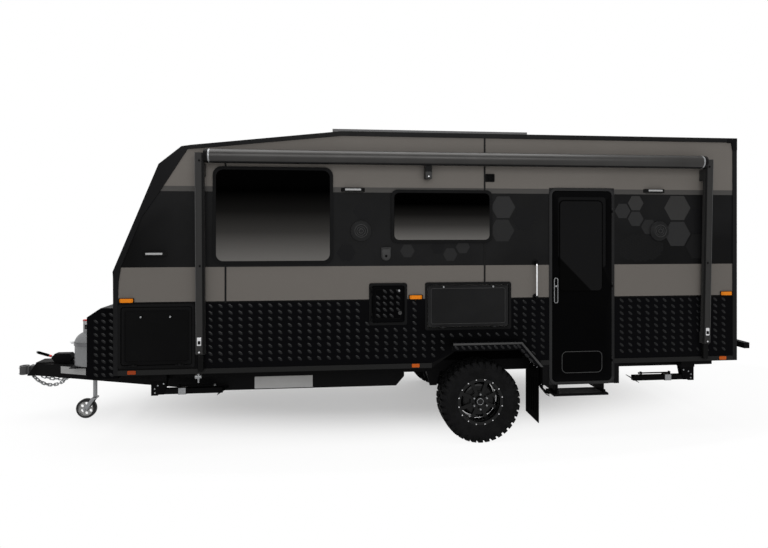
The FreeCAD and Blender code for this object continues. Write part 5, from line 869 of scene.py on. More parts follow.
def make_tread():
    """Bars on the panels along both sides, where no fitting sits on them."""
    low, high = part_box("checker_panels")
    plate = solid_tree("checker_panels")
    blockers = solid_tree("flares", "awning_arms", "hatch_frames", "door_frame", "side_fittings", "trims",
                          "mouldings")
    foot = high.z - TREAD_EDGE - TREAD_PITCH[1] * int((high.z - low.z) / TREAD_PITCH[1])
    for side, word in SIDES:
        pieces = Pieces()
        start = high.x if side > 0 else low.x
        tread_bars(pieces, plate, blockers, (start - side * TREAD_END, side * high.y, foot), (-side, 0, 0),
                   (0, 0, 1), (high.x - low.x, high.z - low.z))
        pieces.done(f"tread_bars_{word}", "tread_bar_painted_highlight", smooth=FULL_SMOOTH)


FLARE_TOP_RUN = (ahead(0.285), behind(0.3705))
FLARE_FOOT = (behind(0.526), behind(0.575))
FLARE_LEVELS = (0.725, 0.896, 0.962)
FLARE_SHEET = 0.004
FLARE_SEAT = 0.0032
FLARE_RIM = 0.018
FLARE_RIM_HIGH = 0.0016
FLARE_RIM_SLOPE = 1.35
FLARE_FOLD = 0.030
FLARE_END = 0.020
FLARE_PITCH = (0.062, 0.058)
SLOPE_BARS = 4
SLOPE_START = 0.022
TOP_BAR_OUT = 0.042
TOP_LEAN = 0.8


def flare_outline(thick, inner_corner, foot):
    """A bent strip as thick as given along a flare's upper edge and its slope, seen from the side."""
    (x0, x1), foot_out = FLARE_TOP_RUN, FLARE_FOOT[1]
    low, top = FLARE_LEVELS[0], FLARE_LEVELS[2]
    return [(x0, top - thick), (x1 - inner_corner, top - thick), (foot_out - foot, low), (foot_out, low),
            (x1, top), (x0, top)]


def flare_bars(bars, side, out):
    """Bars along a flare's face, down its slope and on its top."""
    (x0, x1), foot_out = FLARE_TOP_RUN, FLARE_FOOT[1]
    low, face_low, top = FLARE_LEVELS
    way, up, normal = Vector((1, 0, 0)), Vector((0, 0, 1)), Vector((0, side, 0))
    along, wide = lean(way, up, normal)
    places = []
    x = x0 + FLARE_PITCH[0] / 2
    while x < x1 - FLARE_END:
        places.append(x)
        x += FLARE_PITCH[0]
    for x in places:
        bar_mesh(bars, Vector((x, side * out, (face_low + top - FLARE_RIM) / 2)), along, wide, normal)
    slope = Vector((foot_out - x1, 0, low - top)).normalized()
    start = Vector((x1 - FLARE_FOLD, side * out, top - FLARE_RIM - SLOPE_START))
    for number in range(SLOPE_BARS):
        bar_mesh(bars, start + slope * (number * FLARE_PITCH[1]), along, wide, normal)
    for x in places:
        bar_mesh(bars, Vector((x, side * (WALL + TOP_BAR_OUT), top)), (way + normal * TOP_LEAN).normalized(),
                 (normal - way * TOP_LEAN).normalized(), up)


def make_flares():
    """The flares, with their faces set back by the height of their bars, and a pale rim at the fold that is a
    painted highlight.
    """
    (x0, x1), (foot_in, foot_out) = FLARE_TOP_RUN, FLARE_FOOT
    low, face_low, top = FLARE_LEVELS
    face = [(x0, face_low), (x1 - FLARE_FOLD, face_low), (foot_in, low), (foot_out, low), (x1, top),
            (x0, top)]
    skin = flare_outline(FLARE_SHEET, FLARE_SHEET, 2 * FLARE_SHEET)
    rim = flare_outline(FLARE_RIM, FLARE_RIM / 2, FLARE_RIM_SLOPE * FLARE_RIM)
    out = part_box("flares")[1].y - FLARE_SEAT
    sheets, bars, rims = Pieces(), Pieces(), Pieces()
    for side, _ in SIDES:
        place = side_place(side, 0)
        sheets.prism(face, out - FLARE_SHEET, out, place)
        sheets.prism(skin, WALL - SINK, out - FLARE_SHEET / 2, place)
        rims.prism(rim, out - SINK, out + FLARE_RIM_HIGH, place)
        flare_bars(bars, side, out)
    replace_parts(sheets.done("flare_sheets", "tread_plate"), "flares")
    # Painted highlight along the fold of each flare.
    rims.done("flare_fold_highlight", "edge_grey", bevel=FINE_EDGE)
    bars.done("tread_bars_flares", "tread_bar_painted_highlight", smooth=FULL_SMOOTH)


BOX_EDGE = 0.034
BOX_FOOT = 0.035
LID_EDGE = 0.070
LID_START = 0.028
LID_DEEP = 0.150


def make_box_tread():
    """Bars on the front box's sides and front, and on its lid's sides, slope and top."""
    low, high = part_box("front_box")
    drawbar = solid_tree("drawbar_rails")
    foot, tall, across = low.z + BOX_FOOT, BOX_TOP - low.z, high.y - low.y
    rise = Vector((BOX_SLOPE_DEEP, 0, BOX_TOP - BOX_SLOPE_FOOT)).normalized()
    slope_foot = Vector((low.x, high.y - LID_EDGE, BOX_SLOPE_FOOT)) + rise * LID_START
    top_edge = (low.x + BOX_SLOPE_DEEP + LID_START, high.y - LID_EDGE, BOX_TOP)
    for node, name, body in (("front_box", "tread_bars_front_box", ROOT),
                             ("front_box_lid", "tread_bars_box_lid", "front_box_lid")):
        sheet = solid_tree(node)
        pieces = Pieces()
        for side, _ in SIDES:
            start = (high.x - BOX_EDGE if side > 0 else low.x + BOX_EDGE, side * high.y, foot)
            tread_bars(pieces, sheet, drawbar, start, (-side, 0, 0), (0, 0, 1), (high.x - low.x, tall),
                       BOX_PITCH)
        tread_bars(pieces, sheet, drawbar, (low.x, high.y - BOX_EDGE, foot), (0, -1, 0), (0, 0, 1),
                   (across, tall), BOX_PITCH)
        tread_bars(pieces, sheet, None, slope_foot, (0, -1, 0), rise, (across, LID_DEEP))
        tread_bars(pieces, sheet, None, top_edge, (0, -1, 0), (1, 0, 0), (across, LID_DEEP))
        pieces.done(name, "tread_bar_painted_highlight", body, smooth=FULL_SMOOTH)


# Wheels

TYRE_AROUND = 96
TYRE_LUGS = 36
TYRE_BEAD = 0.220
TYRE_SMOOTH = 32.0
LUG_DEEP = 0.013
SIDEWALL = ((0.80, -0.011), (0.86, 0.0), (0.93, 0.022), (0.985, 0.055), (1.0, 0.085))
CROWN = ((0.985, 0.048), (0.94, 0.022), (0.84, 0.006), (0.5, 0.0))
LUG_FACE = ((0.56, 0.0), (0.92, 0.002), (0.985, 0.015), (0.999, 0.026))
LUG_BASE = ((0.56, 0.016), (0.82, 0.022), (0.90, 0.034), (0.955, 0.034))
LUG_SPREAD = (0.36, 0.33, 0.30, 0.24)
LUG_TAILS = (0.027, 0.033)
LUG_FOOT_WIDER = 1.12
BLOCK_CORNERS = ((0.05, -0.42), (0.48, -0.22), (0.48, 0.34), (0.05, 0.18))
BLOCK_SHIFT = 0.6
BLOCK_DEEP = 0.016
BLOCK_FOOT_WIDER = 1.1


def make_tyre(word):
    """An off-road tyre: a smooth carcass, blocks across the crown and lugs down the shoulders.

    The carcass is given by shares of its half width, with heights over the bead or below the crown.
    """
    low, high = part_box(f"tyre_{word}")
    centre = (low + high) / 2
    radius, half = (high.z - low.z) / 2, (high.y - low.y) / 2
    flank = [(half * share, TYRE_BEAD + rise) for share, rise in SIDEWALL]
    flank += [(half * share, radius - LUG_DEEP - drop) for share, drop in CROWN]
    pieces = Pieces()
    pieces.lathe([(-out, level) for out, level in flank] + flank[::-1], centre, (0, 1, 0), TYRE_AROUND)
    for number in range(TYRE_LUGS):
        for edge in (-1, 1):
            turn = 2 * math.pi * (number + (0.5 if edge > 0 else 0.0)) / TYRE_LUGS
            shoulder_block(pieces, centre, turn, edge, half, radius, LUG_TAILS[number % 2])
            crown_block(pieces, centre, turn + math.pi / TYRE_LUGS * BLOCK_SHIFT, edge, half, radius)
    tyre = pieces.done(f"tyre_detail_{word}", "tyre", f"wheel_{word}", smooth=TYRE_SMOOTH)
    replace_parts(tyre, f"tyre_{word}")


def ring_point(centre, turn, along, radius):
    return Vector((centre.x + math.sin(turn) * radius, centre.y + along, centre.z + math.cos(turn) * radius))


def shoulder_block(pieces, centre, turn, edge, half, radius, tail):
    """A lug that wraps from the crown's edge down the shoulder, by the length of its tail."""
    wide = 2 * math.pi / TYRE_LUGS
    verts = []
    for row, level in ((LUG_FACE, 1.0), (LUG_BASE, LUG_FOOT_WIDER)):
        for (along, drop), more, share in zip(row, (0, 0, 0, tail), LUG_SPREAD):
            for way in (-1, 1):
                verts.append(ring_point(centre, turn + way * wide * share * level, edge * (half * along),
                                        radius - drop - more))
    faces = []
    for a in (0, 2, 4):
        faces += [(a, a + 2, a + 3, a + 1), (8 + a, 8 + a + 1, 8 + a + 3, 8 + a + 2),
                  (a, 8 + a, 8 + a + 2, a + 2), (a + 1, a + 3, 8 + a + 3, 8 + a + 1)]
    pieces.add(verts, faces + [(0, 1, 9, 8), (6, 14, 15, 7)])


def crown_block(pieces, centre, turn, edge, half, radius):
    """A slanted block beside the middle of the crown."""
    wide = 2 * math.pi / TYRE_LUGS
    loops = [[ring_point(centre, turn + wide * share * wider, edge * half * along, level)
              for along, share in BLOCK_CORNERS]
             for level, wider in ((radius, 1.0), (radius - BLOCK_DEEP, BLOCK_FOOT_WIDER))]
    pieces.loft(*loops)


BEAD_BOLTS = 16
BEAD_CIRCLE = 0.213
BOLT_SINK, BOLT_LONG, BOLT_RADIUS = 0.004, 0.008, 0.0062


def make_wheel_bolts(side, word):
    """Bright bead bolts round the flange."""
    low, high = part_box(f"rim_{word}")
    centre = (low + high) / 2
    face = centre.y + side * (high.y - low.y) / 2
    pieces = Pieces()
    for number in range(BEAD_BOLTS):
        turn = 2 * math.pi * (number + 0.5) / BEAD_BOLTS
        start = ring_point(centre, turn, face - centre.y - side * BOLT_SINK, BEAD_CIRCLE)
        pieces.rod(start, start + Vector((0, side * BOLT_LONG, 0)), BOLT_RADIUS, 6)
    pieces.done(f"bead_bolts_{word}", "steel", f"wheel_{word}", slot="galvanised")


HUB_STUDS = 6
STUD_CIRCLE = 0.06985
NUT_SINK, NUT_HIGH, NUT_RADIUS = 0.002, 0.016, 0.0105
NUT_CAP = ((0.016, 0.0085), (0.021, 0.0060), (0.023, 0.0025))
CAP_RING = ((-0.001, 0.031), (0.0012, 0.031), (0.0022, 0.028), (-0.001, 0.026))
CAP_RING_SPOT = 0.030
BESIDE = 1.5
RIM_LIP_OUT = 0.996
RIM_LIP = ((0.0, 0.1896), (0.001, 0.1855), (0.0085, 0.1855), (0.0095, 0.1896))
DRUM = ((0.951, 0.128), (0.955, 0.134), (0.971, 0.134), (0.973, 0.130), (1.020, 0.130), (1.030, 0.120))
SHIELD = ((0.930, 0.182), (0.940, 0.182), (0.944, 0.178))


def make_wheel_parts(side, word):
    """Wheel nuts, the cap's ring and the bright lip inside; the brake's drum and its shield."""
    body = f"wheel_{word}"
    rim = solid_tree(f"rim_{word}")
    high = (rim_low.z + rim_high.z) / 2
    out = Vector((0, side, 0))
    nuts = Pieces()
    for i in range(HUB_STUDS):
        turn = math.radians(60 * i + 30)
        spot = touch(rim, (AXLE_X + STUD_CIRCLE * math.cos(turn), side * BESIDE,
                           high + STUD_CIRCLE * math.sin(turn)), -out)
        nuts.rod(spot - out * NUT_SINK, spot + out * NUT_HIGH, NUT_RADIUS, 6)
        nuts.knob(NUT_CAP, spot, out, 12)
    face = touch(rim, (AXLE_X + CAP_RING_SPOT, side * BESIDE, high), -out).y
    nuts.lathe(CAP_RING, (AXLE_X, face, high), out, 40)
    nuts.done(f"wheel_nuts_{word}", "zinc", body)
    for name, look, rides, profile, start, around in (("rim_lip", "chrome", body, RIM_LIP, RIM_LIP_OUT, 72),
                                                      ("brake_drum", "rim_black", body, DRUM, 0, 56),
                                                      ("brake_shield", "rubber", ROOT, SHIELD, 0, 64)):
        part = Pieces().lathe(profile, (AXLE_X, side * start, high), out, around, closed=name == "rim_lip")
        part.done(f"{name}_{word}", look, rides)


ARCH_RUN = (0.480, 1.440)
ARCH_BOARDS = (((0.8495, 0.862), (0.725, 0.830)), ((0.790, 0.862), (0.820, 0.830)))


def make_arch_guards():
    """Splash guards inside the wheel arches, over the rails' upper edges."""
    pieces = Pieces()
    for side, _ in SIDES:
        for span, (z0, z1) in ARCH_BOARDS:
            y0, y1 = mirrored(side, span)
            pieces.box((ARCH_RUN[0], y0, z0), (ARCH_RUN[1], y1, z1))
    pieces.done("arch_guards", "rubber", bevel=SOFT_EDGE)


# Decals

HEXAGONS = {
    "decal_pale": ((2.470, 2.270, 0.082), (2.900, 2.225, 0.138)),
    "decal_mid": ((2.470, 2.118, 0.082), (2.336, 2.194, 0.082), (1.150, 2.225, 0.120), (2.900, 1.972, 0.138)),
    "decal_soft": ((1.140, 2.005, 0.120), (0.235, 1.815, 0.070), (0.640, 1.780, 0.070),
                   (0.760, 1.850, 0.070), (2.605, 2.040, 0.082)),
    "decal_faint": ((3.122, 1.850, 0.138),),
    "decal_dark": ((1.352, 2.115, 0.120), (3.122, 2.098, 0.138), (-0.330, 1.800, 0.090),
                   (-0.180, 2.180, 0.090), (0.520, 1.850, 0.070)),
}
SMALL_CELL = 0.0165
SMALL_CELLS = ((2.32, 1.715), (20, 12))
SMALL_PATCH = ((2.52, 1.84), (0.24, 0.13))
CELL_STEP = (1.5, math.sqrt(3))
CELL_GAP = 0.004


def hexagon(across, up, radius):
    """A honeycomb cell with level top and bottom edges."""
    return [(across + radius * math.cos(math.radians(60 * i)), up + radius * math.sin(math.radians(60 * i)))
            for i in range(6)]


def small_cells():
    """Places of the fine honeycomb's cells, inside an oval patch."""
    (x0, z0), (columns, rows) = SMALL_CELLS
    (middle_x, middle_z), (wide, tall) = SMALL_PATCH
    for i in range(columns):
        for j in range(rows):
            x = x0 + i * SMALL_CELL * CELL_STEP[0]
            up = z0 + (j + 0.5 * (i % 2)) * SMALL_CELL * CELL_STEP[1]
            if ((x - middle_x) / wide) ** 2 + ((up - middle_z) / tall) ** 2 < 1:
                yield x, up, SMALL_CELL, DECAL_THICK / 2


def make_decals(side, word):
    """Honeycomb cells along the black band, laid out from a few sizes."""
    place = side_place(side, WALL)
    for look, cells in HEXAGONS.items():
        cells = [(*cell, DECAL_THICK) for cell in cells]
        if look == "decal_faint":
            cells += small_cells()
        pieces = Pieces()
        for across, up, radius, thick in cells:
            pieces.prism(hexagon(across, up, radius - CELL_GAP / 2), -DEEP_IN_WALL, thick, place)
        pieces.done(f"{look}_{word}", look)


# Door and hatches

LEAF_OUT = 0.012
LOCK_OUT = 0.014
LEAF_FACE = WALL + LEAF_OUT
LOCK_FACE = LEAF_FACE + LOCK_OUT
DOOR_PANE = ((1.703, 2.120), (1.430, 2.285))
DOOR_PANE_CORNER = 0.038
DOOR_PANE_HIGH = 0.0025
DOOR_RECESS = ((behind(0.789), behind(1.181)), (0.649, 0.844))
DOOR_RIMS = {
    "door_pane_seal": ("rubber", DOOR_PANE, (0.046, 0.009, 0.038), 0.0038),
    # Painted highlight: a pale rim round the lower panel's recess.
    "door_recess_highlight": ("edge_grey", DOOR_RECESS, (0.049, 0.006, 0.043), 0.0022),
}
HANDLE_RING = ((1.6370, 1.6770), (1.314, 1.556))
HANDLE_RING_RIM = (0.019, 0.006, 0.013)
HANDLE_RING_HIGH = 0.004
HANDLE_LOCK = (1.657, 1.475)
HANDLE_LOCK_BARREL = ((-0.001, 0.009), (0.004, 0.009), (0.005, 0.007), (0.005, 0.004))
PADDLE = ((1.645, 1.669), (1.324, 1.440))
PADDLE_CORNER = 0.010
PADDLE_HIGH = 0.007


def make_door_details():
    """The door's tinted pane with its seal, a pale rim round the lower panel's recess that is a painted
    highlight, and the handle with its lock.
    """
    body = "entry_door"
    on_leaf, on_lock = side_place(-1, LEAF_FACE), side_place(-1, LOCK_FACE)
    pane = Pieces().plate(DOOR_PANE, DOOR_PANE_CORNER, -THIN_SINK, DOOR_PANE_HIGH, on_leaf)
    pane.done("door_pane_cover", "door_glass", body, bevel=THIN_EDGE)
    for name, (look, bounds, rim_sizes, high) in DOOR_RIMS.items():
        rim = Pieces().frame(grown(bounds, rim_sizes[1]), *rim_sizes, -THIN_SINK, high, on_leaf)
        rim.done(name, look, body, bevel=THIN_EDGE)
    ring = Pieces().frame(HANDLE_RING, *HANDLE_RING_RIM, -SINK, HANDLE_RING_HIGH, on_lock)
    ring.knob(HANDLE_LOCK_BARREL, (HANDLE_LOCK[0], -LOCK_FACE, HANDLE_LOCK[1]), (0, -1, 0))
    ring.done("door_handle_ring", "zinc", body, bevel=THIN_EDGE)
    paddle = Pieces().plate(PADDLE, PADDLE_CORNER, -SINK, PADDLE_HIGH, on_lock)
    paddle.done("door_handle_paddle", "plastic_black", body, bevel=ROUND_EDGE)


LEAF_INSET = 0.030
PANEL_INSET = 0.056
PANEL_RIM = (0.020, 0.004, 0.016)
PANEL_RIM_HIGH = 0.0008
PANEL_LOW = 0.004
PANEL_OUT = 0.003
HATCHES = {
    "boot_door_left": (-1, (ahead(3.277), ahead(2.617)), (0.785, 1.352), (0.277, 0.697), 0.084),
    "boot_door_right": (1, (ahead(3.277), ahead(2.617)), (0.785, 1.352), (0.277, 0.697), 0.084),
    "table_hatch": (-1, (ahead(0.536), behind(0.288)), (1.075, 1.521), (0.19, 0.81), 0.013),
    "service_hatch": (-1, (ahead(1.059), ahead(0.705)), (1.130, 1.519), (), 0.0),
}
LOCK_BARREL = ((-0.001, 0.0085), (0.0015, 0.0085), (0.003, 0.007), (0.0025, 0.0035), (0.001, 0.002))
SERVICE_LOCK = (0.157, 1.448)
SERVICE_BARREL = ((-0.001, 0.010), (0.004, 0.010), (0.006, 0.008), (0.004, 0.004))
SERVICE_LATCH = (0.165, 1.241)
LATCH_KNOB = ((-0.001, 0.017), (0.004, 0.017), (0.007, 0.013), (0.005, 0.006))
SERVICE_PITCH = (0.062, 0.056)
SERVICE_EDGE = 0.030


def make_hatch_details():
    """Bright lock barrels, a raised rim inside each leaf, paler on the table hatch, and the tread plate in
    the service hatch.
    """
    panel_face = WALL + PANEL_OUT
    for name, (side, along, up, shares, drop) in HATCHES.items():
        bounds = (along, up)
        (x0, x1), (_, top) = grown(bounds, -LEAF_INSET)
        out = (0, side, 0)
        locks = Pieces()
        for share in shares:
            locks.knob(LOCK_BARREL, (x0 + (x1 - x0) * share, side * LEAF_FACE, top - drop), out)
        if name == "service_hatch":
            locks.knob(SERVICE_BARREL, (SERVICE_LOCK[0], side * panel_face, SERVICE_LOCK[1]), out)
        locks.done(f"{name}_locks", "zinc", name)
        rim = Pieces().frame(grown(bounds, -PANEL_INSET), *PANEL_RIM, -PANEL_LOW, PANEL_RIM_HIGH,
                             side_place(side, panel_face))
        rim.done(f"{name}_panel_rim", "edge_grey" if name == "table_hatch" else "boot_black", name,
                 bevel=HAIR_EDGE)
    (x0, x1), (z0, z1) = HATCHES["service_hatch"][1:3]
    first = PANEL_INSET + SERVICE_EDGE
    bars = Pieces()
    tread_bars(bars, solid_tree("service_hatch"), None, (x0 + first, SINK - WALL, z0 + first), (1, 0, 0),
               (0, 0, 1), (x1 - x0, z1 - z0), pitch=SERVICE_PITCH)
    bars.done("service_hatch_tread", "tread_bar_painted_highlight", "service_hatch", smooth=FULL_SMOOTH)
    latch = Pieces().knob(LATCH_KNOB, (SERVICE_LATCH[0], -panel_face, SERVICE_LATCH[1]), (0, -1, 0), 24)
    latch.done("service_hatch_latch", "edge_grey", "service_hatch")


# Fittings on the walls

SPEAKERS = (ahead(1.133), behind(1.772))
SPEAKER_HIGH = 2.000
SPEAKER_PROFILE = ((0.0, 0.094), (0.012, 0.094), (0.020, 0.086), (0.026, 0.070), (0.029, 0.061),
                   (0.029, 0.054), (0.024, 0.047), (0.024, 0.032), (0.028, 0.027), (0.029, 0.010))
# Radius and height of each painted highlight ring on a speaker
SPEAKER_HIGHLIGHTS = ((0.0575, 0.0285), (0.0395, 0.0235), (0.0200, 0.0285))
RING_HALF, RING_HIGH = 0.002, 0.0015


def make_speakers():
    """Round speakers with a stepped dome and fine pale rings on it, which are painted highlights."""
    domes, rings = Pieces(), Pieces()
    for x in SPEAKERS:
        spot = (x, -WALL, SPEAKER_HIGH)
        domes.knob(SPEAKER_PROFILE, spot, (0, -1, 0), 40)
        for radius, out in SPEAKER_HIGHLIGHTS:
            ring = [(out, radius - RING_HALF), (out, radius + RING_HALF), (out + RING_HIGH, radius)]
            rings.lathe(ring, spot, (0, -1, 0), 40)
    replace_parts(domes.done("speaker_domes", "door_trim"), "side_fittings")
    rings.done("speaker_highlight_rings", "edge_grey")


INLET = ((-0.008, 0.077), (1.727, 1.847))
INLET_STEPS = 14
INLET_LEVELS = (0.014, 0.023)
INLET_COVER = 0.8
INLET_PIN = (0.006, 0.018, 0.004, 0.005)
INLET_LOCK = ((0.0, 0.011), (0.003, 0.011), (0.004, 0.008), (0.002, 0.004))


def make_inlet():
    """A power inlet with a level top, a round foot and a hinged cover."""
    (x0, x1), (z0, z1) = INLET
    middle, radius = (x0 + x1) / 2, (x1 - x0) / 2
    centre = z0 + radius
    turns = [math.radians(180 + 180 * i / INLET_STEPS) for i in range(INLET_STEPS + 1)]
    outline = [(x1, z1), (x0, z1)]
    outline += [(middle + radius * math.cos(turn), centre + radius * math.sin(turn)) for turn in turns]
    cover = [(middle + (x - middle) * INLET_COVER, centre + (z - centre) * INLET_COVER) for x, z in outline]
    place = side_place(-1, WALL)
    low, high = INLET_LEVELS
    inset, out, drop, thick = INLET_PIN
    box = Pieces().prism(outline, -DEEP_IN_WALL, low, place)
    box.prism(cover, low - SINK, high, place)
    box.rod((x0 + inset, -WALL - out, z1 - drop), (x1 - inset, -WALL - out, z1 - drop), thick)
    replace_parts(box.done("power_inlet", "inlet_grey", bevel=FULL_EDGE), "side_fittings")
    lock = Pieces().knob(INLET_LOCK, (middle, -WALL - high, centre), (0, -1, 0))
    lock.done("inlet_lock", "rubber")


VENT = ((0.978, 1.063), (2.4625, 2.5375))
VENT_RIM = (0.006, 0.011, 0.003)
VENT_OUT = 0.012
VENT_BACK = (0.009, 0.003, 0.002)
VENT_SLATS = (4, 0.014, 0.013)
VENT_SLAT = (0.007, 0.004)


def make_vent():
    """A small vent: a rim with slats across a dark hollow."""
    vent = Pieces().louvre(VENT, -1, WALL, VENT_OUT, VENT_RIM, VENT_BACK, VENT_SLATS, VENT_SLAT)
    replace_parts(vent.done("small_vent_slats", "plastic_black", bevel=FINE_EDGE), "side_fittings")


GRAB_X = 1.462
GRAB_SPAN = (1.376, 1.700)
GRAB_OUT = 0.044
GRAB_BEND = 0.024
GRAB_RADIUS = 0.0085
GRAB_SINK = 0.002
GRAB_FOOT = ((0.0, 0.027), (0.008, 0.027), (0.016, 0.018), (0.043, 0.015), (0.052, 0.012))
BEND_STEPS = 6


def make_grab():
    """A bright bent bar beside the door on two dark feet."""
    low, high = GRAB_SPAN
    out = -WALL - GRAB_OUT
    line = [(-WALL - GRAB_SINK, low)]
    for i in range(BEND_STEPS + 1):
        turn = math.radians(90 * i / BEND_STEPS)
        line.append((out + GRAB_BEND * (1 - math.sin(turn)), low + GRAB_BEND * (1 - math.cos(turn))))
    line += [(y, low + high - z) for y, z in reversed(line)]
    bar = Pieces().tube([Vector((GRAB_X, y, z)) for y, z in line], GRAB_RADIUS)
    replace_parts(bar.done("grab_bar_bright", "chrome", smooth=TUBE_SMOOTH), "side_fittings")
    feet = Pieces()
    for z in GRAB_SPAN:
        feet.knob(GRAB_FOOT, (GRAB_X, -WALL, z), (0, -1, 0), 24)
    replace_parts(feet.done("grab_bar_feet", "plastic_black"), "side_fittings")


GRILLES = ((1.010, WALL + PANEL_OUT), (1.720, WALL))
GRILLE_SPAN = (behind(0.910), behind(1.390))
GRILLE_TALL = 0.230
GRILLE_OUT = 0.014
GRILLE_RIM = (0.014, 0.022, 0.006)
GRILLE_BACK = (0.020, 0.006, 0.002)
GRILLE_SLATS = (9, 0.026, 0.0205)
GRILLE_SLAT = (0.013, 0.003)
GRILLE_CORNER = 0.011
SCREW_HEAD = ((-0.001, 0.005), (0.001, 0.005), (0.002, 0.003))


def make_grilles():
    """Two vent plates for the refrigerator with slanted slats and corner screws."""
    plates, screws = Pieces(), Pieces()
    for low, seat in GRILLES:
        bounds = (GRILLE_SPAN, (low, low + GRILLE_TALL))
        deep = WALL + GRILLE_OUT - seat
        plates.louvre(bounds, 1, seat, deep, GRILLE_RIM, GRILLE_BACK, GRILLE_SLATS, GRILLE_SLAT)
        across, up = grown(bounds, -GRILLE_CORNER)
        for x in across:
            for z in up:
                screws.knob(SCREW_HEAD, (x, seat + deep, z), (0, 1, 0), 12)
    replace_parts(plates.done("fridge_grilles", "plastic_black", bevel=FINE_EDGE), "side_fittings")
    screws.done("grille_screws", "steel")


BRIGHT_LAMPS = ((ahead(1.207), 2.377), (behind(1.720), 2.389), (ahead(2.963), 1.796))
LAMP_OUT = 0.030
LAMP_STRIP = (0.072, 0.006, 0.011, 0.004, 0.0015)
MARKERS = (ahead(3.205), ahead(0.623), behind(2.475))
MARKER_HIGH = 1.386
MARKER_HALF = (0.067, 0.021)
MARKER_HOLE = (0.0585, 0.0155)
MARKER_CORNERS = (0.008, 0.004)
MARKER_SHOE_OUT = 0.0045
REFLECTORS = (-2.222, 0.311, 3.368)
REFLECTOR_HIGH = 0.7505
REFLECTOR_HALF = (0.036, 0.0165)
REFLECTOR_CORNER = 0.005
REFLECTOR_LEVELS = (0.008, 0.006)


def make_lamp_details():
    """The pale strips of the side lamps, dark shoes behind the markers, and low reflectors."""
    strips, shoes, low_marks, nose_marks = Pieces(), Pieces(), Pieces(), Pieces()
    half, below, above, corner, thick = LAMP_STRIP
    seat, high = REFLECTOR_LEVELS
    for side, _ in SIDES:
        for x, z in BRIGHT_LAMPS:
            strips.plate((about(x, half), (z - below, z + above)), corner, -SINK, thick,
                         side_place(side, WALL + LAMP_OUT))
        for x in MARKERS:
            shoes.ring(rounded_outline(around_spot(x, MARKER_HIGH, MARKER_HALF), MARKER_CORNERS[0]),
                       rounded_outline(around_spot(x, MARKER_HIGH, MARKER_HOLE), MARKER_CORNERS[1]),
                       -DEEP_IN_WALL, MARKER_SHOE_OUT, side_place(side, WALL + PANEL_OUT))
        for x in REFLECTORS:
            marks = nose_marks if x < 0 else low_marks
            marks.plate(around_spot(x, REFLECTOR_HIGH, REFLECTOR_HALF), REFLECTOR_CORNER, -SINK, high,
                        side_place(side, WALL + seat))
    strips.done("lamp_strips", "glow", bevel=HAIR_EDGE)
    shoes.done("marker_shoes", "plastic_black", bevel=HAIR_EDGE)
    nose_marks.done("nose_reflectors", "reflector", bevel=SOFT_EDGE)
    low_marks.done("low_reflectors", "amber_low", bevel=SOFT_EDGE)


# Awning

ROLLER_LOW, ROLLER_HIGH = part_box("awning_roller")
ROLLER_AXIS = ((ROLLER_LOW.y + ROLLER_HIGH.y) / 2, (ROLLER_LOW.z + ROLLER_HIGH.z) / 2)
CAP_LONG = 0.040
CAP_PROFILE = ((0.0, 0.86), (0.004, 0.94), (0.024, 0.97), (0.041, 0.97))
RING_LONG = 0.014
RING_DEEP, RING_SEAT = 0.006, 0.0004
SLEEVE_SEAT = 0.001
RAIL_TURN = -62.0
RAIL_SHARE = 0.95
RAIL_HALF = (0.010, 0.006)
RAIL_CORNER = 0.004


def make_roller():
    """The rolled awning: a satin sleeve between dark end caps, each with a pale ring."""
    y, z = ROLLER_AXIS
    radius = (ROLLER_HIGH.z - ROLLER_LOW.z) / 2
    sleeve, rings, caps, rail = Pieces(), Pieces(), Pieces(), Pieces()
    first, last = ROLLER_LOW.x + CAP_LONG + RING_LONG, ROLLER_HIGH.x - CAP_LONG - RING_LONG
    full, rim = radius - SLEEVE_SEAT, radius - RING_SEAT
    sleeve.knob([(first - RING_LONG / 2, full), (last + RING_LONG / 2, full)], (0, y, z), (1, 0, 0), 64)
    for end, way in ((ROLLER_LOW.x, 1), (ROLLER_HIGH.x, -1)):
        rings.lathe([(CAP_LONG, radius - RING_DEEP), (CAP_LONG, rim), (CAP_LONG + RING_LONG, rim),
                     (CAP_LONG + RING_LONG, radius - RING_DEEP)], (end, y, z), (way, 0, 0), 64)
        caps.knob([(along, radius * share) for along, share in CAP_PROFILE], (end, y, z), (way, 0, 0), 48)
    for pieces, name, look in ((sleeve, "awning_sleeve", "awning"), (rings, "awning_rings", "zinc"),
                               (caps, "awning_caps", "lamp_body")):
        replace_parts(pieces.done(name, look, smooth=TUBE_SMOOTH), "awning_roller")
    turn = math.radians(RAIL_TURN)
    middle = (y - math.cos(turn) * radius * RAIL_SHARE, z + math.sin(turn) * radius * RAIL_SHARE)
    rail.plate(around_spot(*middle, RAIL_HALF), RAIL_CORNER, first, last, along_x)
    rail.done("roller_lead_rail", "mould_black", bevel=THIN_EDGE)


ARM_PLACES = (ahead(2.561), behind(2.232))
ARM_LOW, ARM_HIGH = 0.905, 2.6905
ARM_FACES = (-WALL - 0.046, -WALL - 0.094)
ARM_MARGIN = (0.004, 0.006)
ARM_HALF = 0.0395
